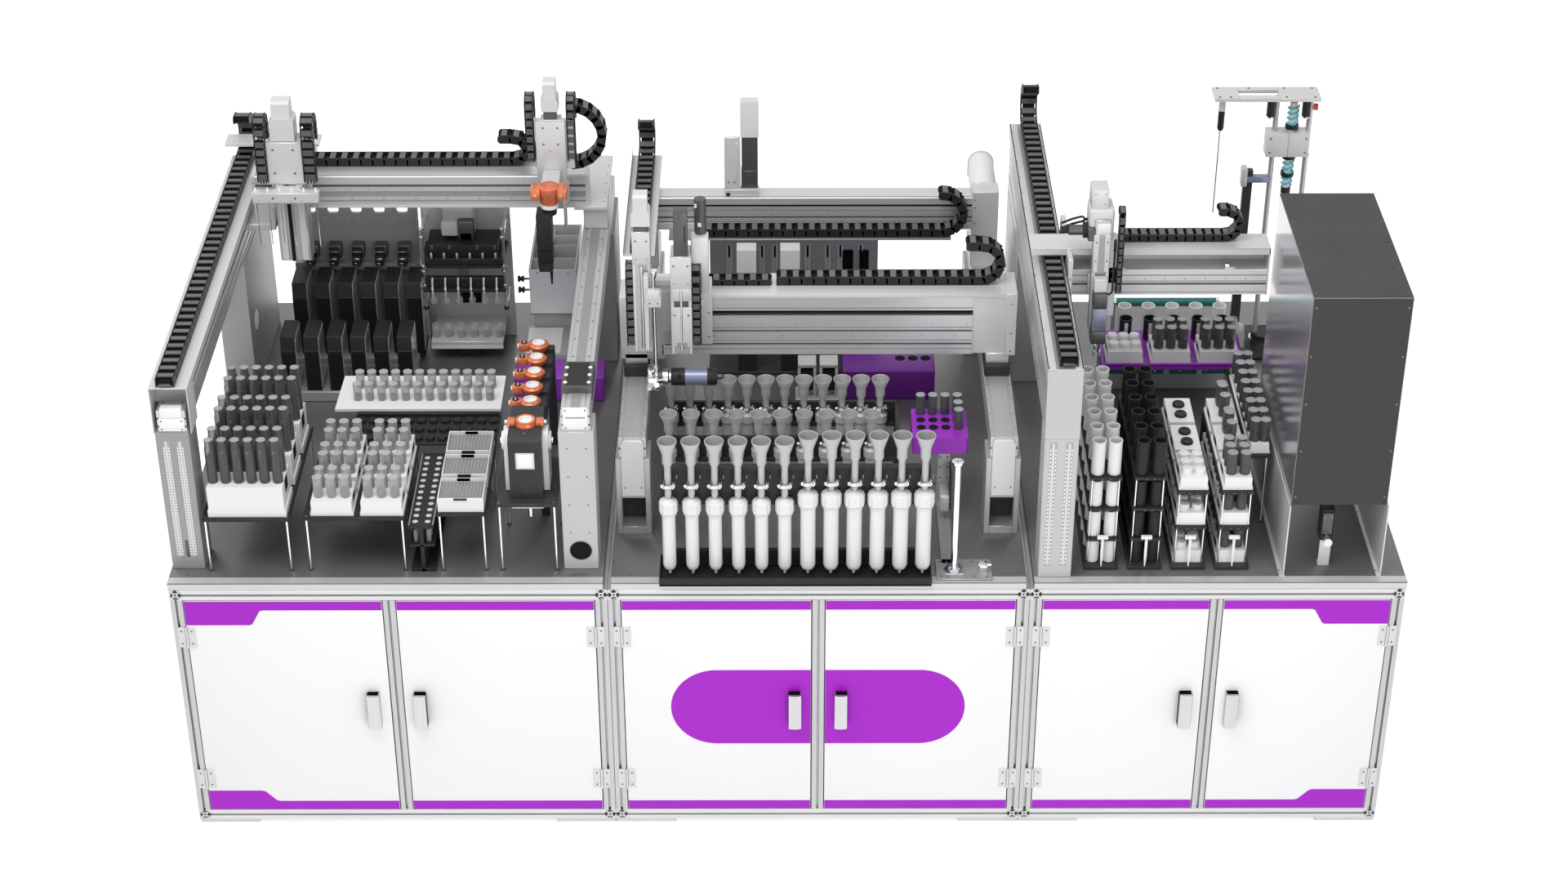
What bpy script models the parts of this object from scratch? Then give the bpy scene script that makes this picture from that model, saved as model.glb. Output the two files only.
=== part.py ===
# Synthesis workstation: three cabinets side by side, each with a table top, gantry axes above it
# and the labware, stations and pull-out racks that the gantries serve.
# Metres, +Z up, +X to the right and +Y to the back. In this file y = 0 is the cabinets' front
# face; the empty that carries every piece puts the origin at the middle of the floor outline.
import math

import bmesh
import bpy
from mathutils import Matrix, Vector

for leftover in list(bpy.data.objects):
    bpy.data.objects.remove(leftover)

# Driving sizes of the cabinets
module_widths = (1.400, 1.350, 1.200)
profile = 0.040            # side of the slotted aluminium profile
slot_width = 0.008
slot_depth = 0.006
frame_height = 0.9356
frame_depth = 1.830
foot_thickness = 0.022
foot_length = 0.200
foot_width = 0.080
top_thickness = 0.026
top_overhang = 0.002       # at the two outer ends
top_joint_inset = 0.012    # between neighbouring tops
top_back = 0.007           # overhang of a top behind its frame
lining_wall = 0.004
door_thickness = 0.018
door_gap = 0.003
hinge_leaf = 0.028
hinge_height = 0.085
hinge_plate = 0.003
hinge_pin_radius = 0.004
hinge_clearance = 0.001
hinge_centres = (0.195, 0.775)
handle_height = 0.134
handle_width = 0.042
handle_plate = 0.004
handle_reach = 0.034
handle_bow = 0.006         # how far the front bulges beyond its edges
handle_steps = 8
handle_inset = 0.052       # from the door's free edge to the handle's middle
seat = 0.0003              # clearance left between pieces that touch

# Driving sizes of the gantries
leg_width = 0.112
leg_depth = 0.120
rail_width = 0.090
rail_height = 0.077
rail_front = 0.090
rail_back = 1.710
rail_clearance = 0.5131     # from the table to the underside of the left module's rails
cover_sheet = 0.003
cover_height = 0.159
chain_width = 0.058
chain_height = 0.030
chain_link = 0.090
chain_groove = 0.008

# Driving sizes of the labware
plate_thickness = 0.012
rod_radius = 0.004
vial_sides = 5
vial_rim = 0.0015

total_width = sum(module_widths)
edge_a = -total_width / 2
edge_b = edge_a + module_widths[0]
edge_c = edge_b + module_widths[1]
edge_d = edge_c + module_widths[2]
frame_top = foot_thickness + frame_height
table = frame_top + seat + top_thickness
bench = table + seat       # height at which a piece stands on a top
rail_base = table + rail_clearance
origin_shift = (frame_depth + top_back - handle_reach) / 2
table_back = frame_depth + top_back

station = bpy.data.objects.new("station_origin", None)
station.location = (0, -origin_shift, 0)
bpy.context.scene.collection.objects.link(station)

# Finishes: colour, roughness, metallic
aluminium = ((0.62, 0.62, 0.63), 0.38, 1.0)
pale_sheet = ((0.72, 0.72, 0.72), 0.45, 0.3)
grey_top = ((0.30, 0.30, 0.31), 0.45, 0.7)
white_paint = ((0.90, 0.90, 0.91), 0.45, 0.0)
white_plastic = ((0.86, 0.86, 0.87), 0.40, 0.0)
black_plastic = ((0.03, 0.03, 0.03), 0.50, 0.0)
dark_paint = ((0.06, 0.06, 0.06), 0.50, 0.2)
grey_glass = ((0.45, 0.46, 0.47), 0.15, 0.0)
frosted = ((0.80, 0.80, 0.81), 0.35, 0.0)
purple = ((0.28, 0.05, 0.42), 0.40, 0.1)
orange = ((0.75, 0.22, 0.10), 0.35, 0.6)
cover_paint = ((0.055, 0.055, 0.055), 0.50, 0.2)


def above(low, high):
    # A span of heights measured from the table.
    return table + low, table + high


def object_from(bm, name="piece"):
    mesh = bpy.data.meshes.new(name)
    bm.to_mesh(mesh)
    bm.free()
    piece = bpy.data.objects.new(name, mesh)
    bpy.context.scene.collection.objects.link(piece)
    return piece


def block(x, y, z):
    # A box from three (low, high) spans.
    bm = bmesh.new()
    size = Vector((x[1] - x[0], y[1] - y[0], z[1] - z[0]))
    middle = Vector(((x[0] + x[1]) / 2, (y[0] + y[1]) / 2, (z[0] + z[1]) / 2))
    place = Matrix.Translation(middle) @ Matrix.Diagonal((*size, 1.0))
    bmesh.ops.create_cube(bm, size=1.0, matrix=place)
    return object_from(bm)


def turn_to(axis):
    return {"X": Matrix.Rotation(math.pi / 2, 4, "Y"),
            "Y": Matrix.Rotation(-math.pi / 2, 4, "X"),
            "Z": Matrix.Identity(4)}[axis]


def rod(start, length, radius, axis="Z", sides=8, end_radius=None):
    # A straight or tapered round bar from its start along an axis.
    bm = bmesh.new()
    place = Matrix.Translation(start) @ turn_to(axis) @ Matrix.Translation((0, 0, length / 2))
    place = place @ Matrix.Rotation(math.pi / sides, 4, "Z")
    bmesh.ops.create_cone(bm, cap_ends=True, segments=sides, radius1=radius,
                          radius2=radius if end_radius is None else end_radius,
                          depth=length, matrix=place)
    return object_from(bm)


def turned(profile_points, foot, sides=8):
    # A closed turned piece from (radius, height) points that start and end on the axis.
    bm = bmesh.new()
    points = [bm.verts.new((radius, 0, height)) for radius, height in profile_points]
    edges = [bm.edges.new(pair) for pair in zip(points, points[1:])]
    bmesh.ops.spin(bm, geom=points + edges, cent=(0, 0, 0), axis=(0, 0, 1),
                   angle=2 * math.pi, steps=sides, use_merge=True)
    bmesh.ops.remove_doubles(bm, verts=bm.verts, dist=1e-6)
    bmesh.ops.recalc_face_normals(bm, faces=bm.faces)
    bmesh.ops.translate(bm, verts=bm.verts, vec=foot)
    return object_from(bm)


def extruded(outline, span, axis="X"):
    # A prism from an outline: (y, z) points along X, (x, z) points along Y, (x, y) along Z.
    bm = bmesh.new()
    low, high = span
    corner = {"X": lambda p: (low, p[0], p[1]), "Y": lambda p: (p[0], low, p[1]),
              "Z": lambda p: (p[0], p[1], low)}[axis]
    face = bm.faces.new([bm.verts.new(corner(p)) for p in outline])
    way = {"X": (high - low, 0, 0), "Y": (0, high - low, 0), "Z": (0, 0, high - low)}[axis]
    grown = bmesh.ops.extrude_face_region(bm, geom=[face])
    moved = [part for part in grown["geom"] if isinstance(part, bmesh.types.BMVert)]
    bmesh.ops.translate(bm, verts=moved, vec=way)
    bmesh.ops.recalc_face_normals(bm, faces=bm.faces)
    return object_from(bm)


def arc(centre, radius, start, end, steps):
    # Points on an arc, angles in degrees.
    angles = [math.radians(start + (end - start) * i / steps) for i in range(steps + 1)]
    return [(centre[0] + radius * math.cos(a), centre[1] + radius * math.sin(a)) for a in angles]


def combine(target, operation, others):
    # One exact Boolean with all the other pieces, applied to the target's mesh.
    if not others:
        return target
    group = bpy.data.collections.new("operands")
    for other in others:
        group.objects.link(other)
    step = target.modifiers.new(operation.title(), "BOOLEAN")
    step.operation = operation
    step.operand_type = "COLLECTION"
    step.collection = group
    step.solver = "EXACT"
    graph = bpy.context.evaluated_depsgraph_get()
    result = bpy.data.meshes.new_from_object(target.evaluated_get(graph))
    target.modifiers.clear()
    target.data = result
    for other in others:
        bpy.data.objects.remove(other)
    bpy.data.collections.remove(group)
    return target


def node(name, finish, parts, cuts=(), origin=None, added=()):
    # Joins the parts of one piece, cuts its openings, joins what is added after the cuts, and gives
    # it its name, finish and origin.
    piece = combine(parts[0], "UNION", parts[1:])
    piece = combine(piece, "DIFFERENCE", list(cuts))
    piece = combine(piece, "UNION", list(added))
    bm = bmesh.new()
    bm.from_mesh(piece.data)
    bmesh.ops.remove_doubles(bm, verts=bm.verts, dist=1e-6)
    bmesh.ops.dissolve_limit(bm, angle_limit=math.radians(0.5), verts=bm.verts, edges=bm.edges)
    bm.to_mesh(piece.data)
    bm.free()
    if origin:
        piece.data.transform(Matrix.Translation(-Vector(origin)))
        piece.location = origin
    piece.name = name
    piece.data.name = name
    piece.parent = station
    piece.data.set_sharp_from_angle(angle=math.radians(40))
    colour, roughness, metallic = finish
    material = bpy.data.materials.new(name)
    material.use_nodes = True
    shader = material.node_tree.nodes["Principled BSDF"]
    shader.inputs["Base Color"].default_value = (*colour, 1.0)
    shader.inputs["Roughness"].default_value = roughness
    shader.inputs["Metallic"].default_value = metallic
    piece.data.materials.clear()
    piece.data.materials.append(material)
    return piece


def rods(x_places, y_places, low, high, radius=rod_radius):
    return [rod((x, y, low), high - low, radius, sides=4) for x in x_places for y in y_places]


def tubes(x_places, y_places, low, high, radius, sides=vial_sides, rim=vial_rim):
    # Vials or bottles that stand in a holder, with a slightly narrower mouth.
    return [rod((x, y, low), high - low, radius, sides=sides, end_radius=radius - rim)
            for x in x_places for y in y_places]


def spread(first, pitch, count):
    return [first + pitch * i for i in range(count)]


# Cabinets: frames, linings, table tops and doors
def module_span(index):
    low = edge_a + sum(module_widths[:index])
    return low + seat, low + module_widths[index] - seat


def make_frame(index, name):
    low, high = module_span(index)
    inner_x = (low + profile, high - profile)
    middle = (low + high) / 2
    post = (middle - profile / 2, middle + profile / 2)
    base, crown = foot_thickness, frame_top
    inner_z = (base + profile, crown - profile)
    inner_y = (profile, frame_depth - profile)
    through_y = (-profile, frame_depth + profile)
    cuts = [block((inner_x[0], post[0]), through_y, inner_z),
            block((post[1], inner_x[1]), through_y, inner_z),
            block((low - profile, high + profile), inner_y, inner_z),
            block(inner_x, inner_y, (base, crown + profile))]
    slot = (-slot_depth, slot_depth)
    for height in (base + profile / 2, crown - profile / 2):
        slot_z = (height - slot_width / 2, height + slot_width / 2)
        cuts.append(block((low - profile, high + profile), slot, slot_z))
    parts = [block((low, high), (0, frame_depth), (base, crown))]
    for x in ((low, low + foot_length), (high - foot_length, high)):
        for y in ((0.010, 0.010 + foot_width), (frame_depth - foot_width - 0.010, frame_depth - 0.010)):
            parts.append(block(x, y, (0, base + 0.002)))
    leaves = []
    for side, x in ((1, low + profile), (-1, high - profile)):
        leaves += hinge_side(x + side * door_gap / 2, -side, outer=True)
    node(name, aluminium, parts, cuts, added=leaves)


def hinge_side(seam, side, outer):
    # One half of each hinge of a door: a leaf and its knuckle. The frame has the lower knuckles.
    pieces = []
    half = hinge_height / 2
    for centre in hinge_centres:
        start = seam + side * (hinge_pin_radius + hinge_clearance)
        leaf_x = sorted((start, seam + side * hinge_leaf))
        pieces.append(block(leaf_x, (-hinge_plate, 0.001), (centre - half, centre + half)))
        low, high = (centre - half, centre - seat) if outer else (centre, centre + half)
        pieces.append(rod((seam, -hinge_pin_radius, low), high - low, hinge_pin_radius, sides=6))
        tab_x = sorted((seam, start + side * hinge_clearance))
        pieces.append(block(tab_x, (-hinge_plate, -0.0010), (low + 0.0005, high - 0.0005)))
    return pieces


def pull_handle(middle, centre_z, side):
    # A hood with a bowed front that meets the door along one edge; fingers go in behind its other edge.
    outer_x, inner_x = handle_width / 2, handle_width / 2 - handle_plate
    shoulder = handle_reach - handle_bow
    back_face = handle_plate - shoulder
    angles = [math.pi * i / handle_steps for i in range(handle_steps + 1)]
    front = [(middle + side * outer_x * math.cos(a), -shoulder - handle_bow * math.sin(a)) for a in angles]
    root = [(middle - side * outer_x, back_face), (middle + side * inner_x, back_face),
            (middle + side * inner_x, handle_plate), (middle + side * outer_x, handle_plate)]
    half = handle_height / 2
    return extruded(front + root, (centre_z - half, centre_z + half), "Z")


def make_door(index, name, hinge_on_left):
    low, high = module_span(index)
    middle = (low + high) / 2
    if hinge_on_left:
        x = (low + profile + door_gap, middle - profile / 2 - door_gap)
        seam, side, handle_x = low + profile + door_gap / 2, 1, middle - profile / 2 - door_gap - handle_inset
    else:
        x = (middle + profile / 2 + door_gap, high - profile - door_gap)
        seam, side, handle_x = high - profile - door_gap / 2, -1, middle + profile / 2 + door_gap + handle_inset
    z = (foot_thickness + profile + door_gap, frame_top - profile - door_gap)
    panel = block(x, (0, door_thickness), z)
    handle = pull_handle(handle_x, (z[0] + z[1]) / 2, side)
    parts = [panel, handle, *hinge_side(seam, side, outer=False)]
    node(name, white_paint, parts, origin=(seam, -hinge_pin_radius, 0))


def make_lining(index, name):
    low, high = module_span(index)
    x = (low + profile + seat, high - profile - seat)
    y = (profile + seat, frame_depth - profile - seat)
    z = (foot_thickness + profile / 2, frame_top - profile / 2)
    hollow = block((x[0] + lining_wall, x[1] - lining_wall), (y[0] - profile, y[1] - lining_wall),
                   (z[0] + lining_wall, z[1] + profile))
    node(name, white_paint, [block(x, y, z)], [hollow])


def make_top(index, name):
    low, high = edge_a + sum(module_widths[:index]), edge_a + sum(module_widths[:index + 1])
    left = -top_overhang if index == 0 else top_joint_inset
    right = -top_overhang if index == len(module_widths) - 1 else top_joint_inset
    top = block((low + left, high - right), (0, table_back), (frame_top + seat, table))
    bm = bmesh.new()
    bm.from_mesh(top.data)
    front = [edge for edge in bm.edges
             if all(v.co.y < 0.001 and v.co.z > table - 0.001 for v in edge.verts)]
    bmesh.ops.bevel(bm, geom=front, offset=0.005, segments=2, profile=0.5, affect="EDGES")
    bm.to_mesh(top.data)
    bm.free()
    node(name, grey_top, [top])


for number, word in enumerate(("left", "middle", "right")):
    make_frame(number, "frame_" + word)
    make_lining(number, "lining_" + word)
    make_top(number, "top_" + word)
    make_door(number, "door_" + word + "_a", True)
    make_door(number, "door_" + word + "_b", False)


# Gantry rails and cable chains
def chain_outline(front, back, base, loop, tail):
    # Side view of a cable chain: a run along Y, a half turn upwards and a short run back, with a
    # groove between links on its outer face.
    links = max(4, round((back - front) / chain_link))
    pitch = (back - front) / links
    outline = [(front, base)]
    turn = arc((back, base + loop), loop, -90, 90, 10)
    outline += turn
    outline += [(back - tail, base + 2 * loop), (back - tail, base + 2 * loop - chain_height)]
    outline += arc((back, base + loop), loop - chain_height, 90, -90, 8)
    for i in range(links - 1, 0, -1):
        y = front + pitch * i
        crown = base + chain_height
        outline += [(y + chain_groove / 2, crown), (y + chain_groove / 2, crown - chain_groove),
                    (y - chain_groove / 2, crown - chain_groove), (y - chain_groove / 2, crown)]
    outline.append((front, base + chain_height))
    return outline


def y_chain(name, x, front, back, base, loop, tail):
    node(name, black_plastic, [extruded(chain_outline(front, back, base, loop, tail), x, "X")])


def strips_cut(x, front, low, high):
    # Two shallow vertical channels in a leg's front face.
    width = (x[1] - x[0]) / 5
    return [block((x[0] + width * k, x[0] + width * (k + 1)), (front - 0.01, front + 0.004), (low, high))
            for k in (1, 3)]


cover_x = (edge_a + 0.001, edge_a + 0.121)
cover_top = rail_base + cover_height
rail_top = rail_base + rail_height


def covered_rail(name, x, base, front, back, crown, legs, open_side):
    # A rail on two legs with a folded sheet cover over it; the cover's inner side is open behind
    # its first stretch, where the carriage plate comes out.
    middle = (x[0] + x[1]) / 2
    rail_x = (middle - rail_width / 2, middle + rail_width / 2)
    leg_x = (x[0] + cover_sheet, x[0] + cover_sheet + leg_width * 0.94)
    parts = [block(leg_x, (front, front + leg_depth), (bench, base + 0.002)),
             block(leg_x, legs, (bench, base + 0.002)),
             block(rail_x, (front + 0.003, back), (base, base + rail_height)),
             block(x, (front, back), (crown - cover_sheet, crown)),
             block((x[0], x[0] + cover_sheet), (front, back), (base - 0.004, crown)),
             block((x[1] - cover_sheet, x[1]), (front, front + 0.100), (base - 0.004, crown)),
             block((x[1] - cover_sheet, x[1]), (front, back), (crown - 0.028, crown)),
             block((x[0], x[1]), (front, front + 0.100), (base - 0.004, base + 0.004)),
             block((x[0], rail_x[0] + 0.002), (front, back), (base, base + 0.010))]
    cuts = strips_cut(leg_x, front, bench + 0.040, base - 0.028)
    hole = (legs[0] + 0.110, (bench + base) / 2 - 0.020)
    cuts.append(rod((x[0] - 0.010, hole[0], hole[1]), open_side, 0.035, "X", 12))
    groove_z = base + rail_height * 0.45
    cuts.append(block((rail_x[1] - 0.006, rail_x[1] + 0.01), (front + 0.110, back + 0.01),
                      (groove_z, groove_z + 0.012)))
    node(name, aluminium, parts, cuts)


rear_leg_a = (1.180, 1.700)
covered_rail("rail_left_outer", cover_x, rail_base, rail_front - 0.005, rail_back, cover_top,
             rear_leg_a, 0.140)
chain_x = (cover_x[0] + 0.024, cover_x[0] + 0.024 + chain_width)
y_chain("chain_left_y", chain_x, rail_front, 1.690, cover_top + seat, 0.085, 0.030)

leg_a = (edge_b - 0.028 - leg_width, edge_b - 0.028)
rail_a = ((leg_a[0] + leg_a[1]) / 2 - rail_width / 2, (leg_a[0] + leg_a[1]) / 2 + rail_width / 2)


def open_rail(name, leg_x, rail_x, base, height, front, back, rear_leg, extras=(), cuts=()):
    # A bare rail on two legs, grooved along both of its upper edges.
    crown = base + height
    parts = [block(rail_x, (front, back), (base, crown)),
             block(leg_x, (front - 0.010, front - 0.010 + leg_depth), (bench, base + 0.002)),
             block(leg_x, rear_leg, (bench, base + 0.002)), *extras]
    slots = [block((x, x + 0.004), (front - 0.01, back + 0.01), (crown - 0.003, crown + 0.01))
             for x in (rail_x[0] + 0.012, rail_x[1] - 0.016)]
    node(name, aluminium, parts, slots + list(cuts))


leg_hole = rod(((leg_a[0] + leg_a[1]) / 2, rail_front - 0.03, table + 0.072), 0.2, 0.035, "Y", 12)
clamp = [block((rail_a[0] - 0.004, rail_a[1] + 0.004), (0.190, 0.350), (rail_top - 0.030, rail_top + 0.024)),
         block((rail_a[0] + 0.006, rail_a[1] - 0.006), (rail_front, rail_front + 0.006),
               (rail_base + 0.004, rail_top + 0.008))]
open_rail("rail_left_inner", leg_a, rail_a, rail_base, rail_height, rail_front, rail_back,
          (1.400, 1.690), clamp, [leg_hole])

# Middle module: two low rails with tall front covers, a fixed rear beam and a chain tray
low_rail_top = table + 0.3661
low_rail_base = low_rail_top - rail_height
low_front = 0.290
leg_b = (edge_b + 0.022, edge_b + 0.022 + leg_width)
leg_c = (edge_c - 0.022 - leg_width, edge_c - 0.022)


def low_rail(name, leg_x, extras):
    inset = 0.012
    rail_x = (leg_x[0] + inset, leg_x[1] - inset)
    front_cap = block((leg_x[0] + 0.020, leg_x[1] - 0.020), (low_front - 0.012, low_front + 0.014),
                      (low_rail_top - 0.215, low_rail_top - 0.010))
    window = block((leg_x[0] + 0.018, leg_x[1] - 0.018), (low_front - 0.030, low_front + 0.060),
                   (bench + 0.030, low_rail_top - 0.225))
    open_rail(name, leg_x, rail_x, low_rail_base, rail_height, low_front, rail_back,
              (1.440, 1.700), [front_cap, *extras], [window])


rear_beam_y = (1.440, 1.520)
rear_beam_z = above(0.5161, 0.6361)
tray_y = (0.980, 1.740)
tray_z = table + 0.6561
tray_x = (leg_b[0] + 0.004, leg_b[1] - 0.002)
left_riser = [block((leg_b[0] + 0.010, leg_b[1] - 0.010), rear_beam_y, (low_rail_top - 0.002, tray_z)),
              block(tray_x, tray_y, (tray_z - 0.004, tray_z)),
              block((tray_x[0], tray_x[0] + 0.004), tray_y, (tray_z - 0.004, tray_z + 0.022))]
right_riser = [block((leg_c[0] + 0.010, leg_c[1] - 0.010), rear_beam_y, (low_rail_top - 0.002, table + 0.6561)),
               extruded(arc((((leg_c[0] + leg_c[1]) / 2), table + 0.6261), 0.044, 0, 180, 8)
                        + [((leg_c[0] + leg_c[1]) / 2 - 0.044, table + 0.5761),
                           ((leg_c[0] + leg_c[1]) / 2 + 0.044, table + 0.5761)], (1.500, 1.740), "Y")]
low_rail("rail_middle_left", leg_b, left_riser)
low_rail("rail_middle_right", leg_c, right_riser)
chain_b = (tray_x[0] + 0.024, tray_x[0] + 0.024 + chain_width)
y_chain("chain_middle_y", chain_b, tray_y[0] + 0.010, tray_y[1] - 0.030, tray_z + seat, 0.075, 0.030)

# Right module: one tall covered rail that carries the bridge by itself
tall_x = (edge_c + 0.022, edge_c + 0.132)
tall_top = table + 0.7681
tall_base = table + 0.5161


def tall_rail():
    leg_x = (tall_x[0] + 0.002, tall_x[1] - 0.002)
    front = 0.030
    parts = [block(tall_x, (front, rail_back + 0.050), (tall_base, tall_top)),
             block(leg_x, (front, front + leg_depth), (bench, tall_base + 0.002)),
             block(leg_x, (1.250, 1.740), (bench, tall_base + 0.002))]
    cuts = strips_cut(leg_x, front, bench + 0.050, tall_base - 0.012)
    for low in (tall_base + 0.060, tall_top - 0.075):
        cuts.append(block((tall_x[1] - 0.005, tall_x[1] + 0.01), (front + 0.120, rail_back + 0.1),
                          (low, low + 0.014)))
    node("rail_right", aluminium, parts, cuts)


tall_rail()
chain_c = (tall_x[0] + 0.036, tall_x[0] + 0.036 + chain_width)
y_chain("chain_right_y", chain_c, 0.045, rail_back, tall_top + seat, 0.085, 0.030)


# Bridges and carriages
def x_chain(x0, x1, y, base, loop, tail):
    # A cable chain that runs along X and turns back over itself at x1.
    outline = [(x0, base)] + arc((x1, base + loop), loop, -90, 90, 10)
    outline += [(x1 - tail, base + 2 * loop), (x1 - tail, base + 2 * loop - chain_height)]
    outline += arc((x1, base + loop), loop - chain_height, 90, -90, 8)
    outline.append((x0, base + chain_height))
    return extruded(outline, y, "Y")


def beam(x, y, z):
    # A linear axis: a long profile with a belt slot on top and one T-slot in its front face.
    middle = (z[0] + z[1]) / 2
    body = block(x, y, z)
    slots = [block((x[0] + 0.02, x[1] - 0.02), (y[0] + 0.004, y[0] + 0.012), (z[1] - 0.006, z[1] + 0.01)),
             block((x[0] - 0.01, x[1] + 0.01), (y[0] - 0.01, y[0] + 0.006), (middle - 0.005, middle + 0.005))]
    return body, slots


bridge_y = (1.300, 1.380)
bridge_z = above(0.6831, 0.7911)
bridge_plate = 0.012
saddle_x = (rail_a[0] + 0.004, rail_a[1] - 0.002)


def make_bridge_left():
    x = (cover_x[1] + 0.020, rail_a[0] + 0.026)
    body, slots = beam(x, bridge_y, bridge_z)
    low = bridge_z[0] - bridge_plate
    arm_z = (rail_top + seat, rail_top + seat + 0.022)
    rail_x0 = (cover_x[0] + cover_x[1]) / 2 - rail_width / 2
    parts = [body,
             block((x[0], saddle_x[1]), (bridge_y[0], bridge_y[1] + 0.040), (low, bridge_z[0] + 0.001)),
             block((saddle_x[0] - 0.030, saddle_x[1]), (bridge_y[0] - 0.020, bridge_y[1] + 0.300),
                   (low, bridge_z[0] + 0.001)),
             block(saddle_x, (bridge_y[0], bridge_y[1] + 0.160), (rail_top + seat, low + 0.001)),
             block((rail_x0 + 0.006, x[0] + 0.070), (bridge_y[0] - 0.010, bridge_y[1] + 0.200), arm_z),
             block((x[0], x[0] + 0.070), (bridge_y[0], bridge_y[1] + 0.040), (arm_z[0], low + 0.001)),
             block((x[0] + 0.200, rail_a[0] - 0.120), (bridge_y[1] - 0.002, bridge_y[1] + 0.075),
                   (bridge_z[1] - 0.006, bridge_z[1])),
             x_chain(x[0] + 0.210, rail_a[0] - 0.230, (bridge_y[1] - 0.004, bridge_y[1] + 0.062),
                     bridge_z[1] - 0.001, 0.058, 0.075),
             block((cover_x[0] - 0.001, x[0] + 0.190), (1.600, 1.680), above(0.7581, 0.7701)),
             block((x[0] + 0.110, x[0] + 0.170), (bridge_y[1] - 0.010, 1.680), (bridge_z[0], table + 0.7701)),
             block((x[0] - 0.001, x[0] + 0.006), (bridge_y[0] - 0.001, bridge_y[1] + 0.001),
                   (bridge_z[0], bridge_z[1] + 0.002))]
    node("bridge_left", aluminium, parts, slots, origin=(x[0], bridge_y[0], rail_top + seat))


make_bridge_left()


def z_chain(x, y, z):
    # The short chain beside a vertical axis: a tall loop with a round top.
    middle, half = (y[0] + y[1]) / 2, (y[1] - y[0]) / 2
    outline = arc((middle, z[1] - half), half, 0, 180, 6) + [(y[0], z[0]), (y[1], z[0])]
    return extruded(outline, x, "X")


def motor(x, y, z, narrow=0.010):
    # A motor stood on end: a square body with a narrower stepped cap.
    step = z[0] + (z[1] - z[0]) * 0.62
    return [block((x[0], x[1]), y, (z[0], step)),
            block((x[0] + narrow, x[1] - narrow), (y[0] + narrow, y[1] - narrow), (step - 0.001, z[1]))]


dosing_x = (-1.770 - edge_a, -1.622 - edge_a)
dosing_front = 1.200


def make_dosing():
    x0, x1 = edge_a + dosing_x[0], edge_a + dosing_x[1]
    axis_x = (x0 + 0.030, x1 - 0.012)
    beam_face = bridge_y[0] - seat
    parts = [block(axis_x, (dosing_front, beam_face - 0.020), above(0.5171, 0.9611)),
             block((x0 + 0.010, x1 - 0.002), (beam_face - 0.022, beam_face), above(0.6961, 0.7811)),
             block((x0, x1), (dosing_front, dosing_front + 0.012), above(0.8161, 0.9681)),
             block((x0 + 0.020, x1 - 0.010), (dosing_front, beam_face - 0.010), above(0.8761, 0.9641)),
             z_chain((x0 - 0.020, x0 + 0.024), (dosing_front - 0.010, dosing_front + 0.090), above(0.8161, 1.0561)),
             z_chain((x1 - 0.016, x1 + 0.034), (dosing_front - 0.010, dosing_front + 0.090), above(0.8161, 1.0561)),
             block((x0 - 0.010, x1 + 0.020), (dosing_front + 0.030, dosing_front + 0.060), above(0.8461, 0.8861))]
    parts += motor((x0 + 0.036, x1 - 0.034), (dosing_front + 0.010, dosing_front + 0.080), above(0.9561, 1.1101), 0.008)
    slot = block((axis_x[0] + 0.040, axis_x[1] - 0.040), (dosing_front - 0.01, dosing_front + 0.004),
                 above(0.5261, 0.8061))
    node("dosing_carriage", pale_sheet, parts, [slot], origin=(x0, bridge_y[0], table + 0.6961))
    bar_y = (dosing_front - 0.060, dosing_front - 0.025)
    bar_x = (x0 - 0.034, x1 + 0.042)
    bar = [block(bar_x, bar_y, above(0.7711, 0.8081)),
           block((axis_x[0] + 0.010, axis_x[1] - 0.010), (bar_y[1] - 0.001, dosing_front - seat), above(0.7511, 0.8081))]
    pitch = (bar_x[1] - bar_x[0] - 0.020) / 5
    bar += [rod((bar_x[0] + 0.010 + pitch * i, (bar_y[0] + bar_y[1]) / 2, table + 0.5961), 0.225, 0.003, sides=4)
            for i in range(6)]
    node("needle_bar", aluminium, bar, origin=(x0, dosing_front, table + 0.7711))


make_dosing()

capper_x = (-0.847 - edge_b, -0.738 - edge_b)


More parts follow.
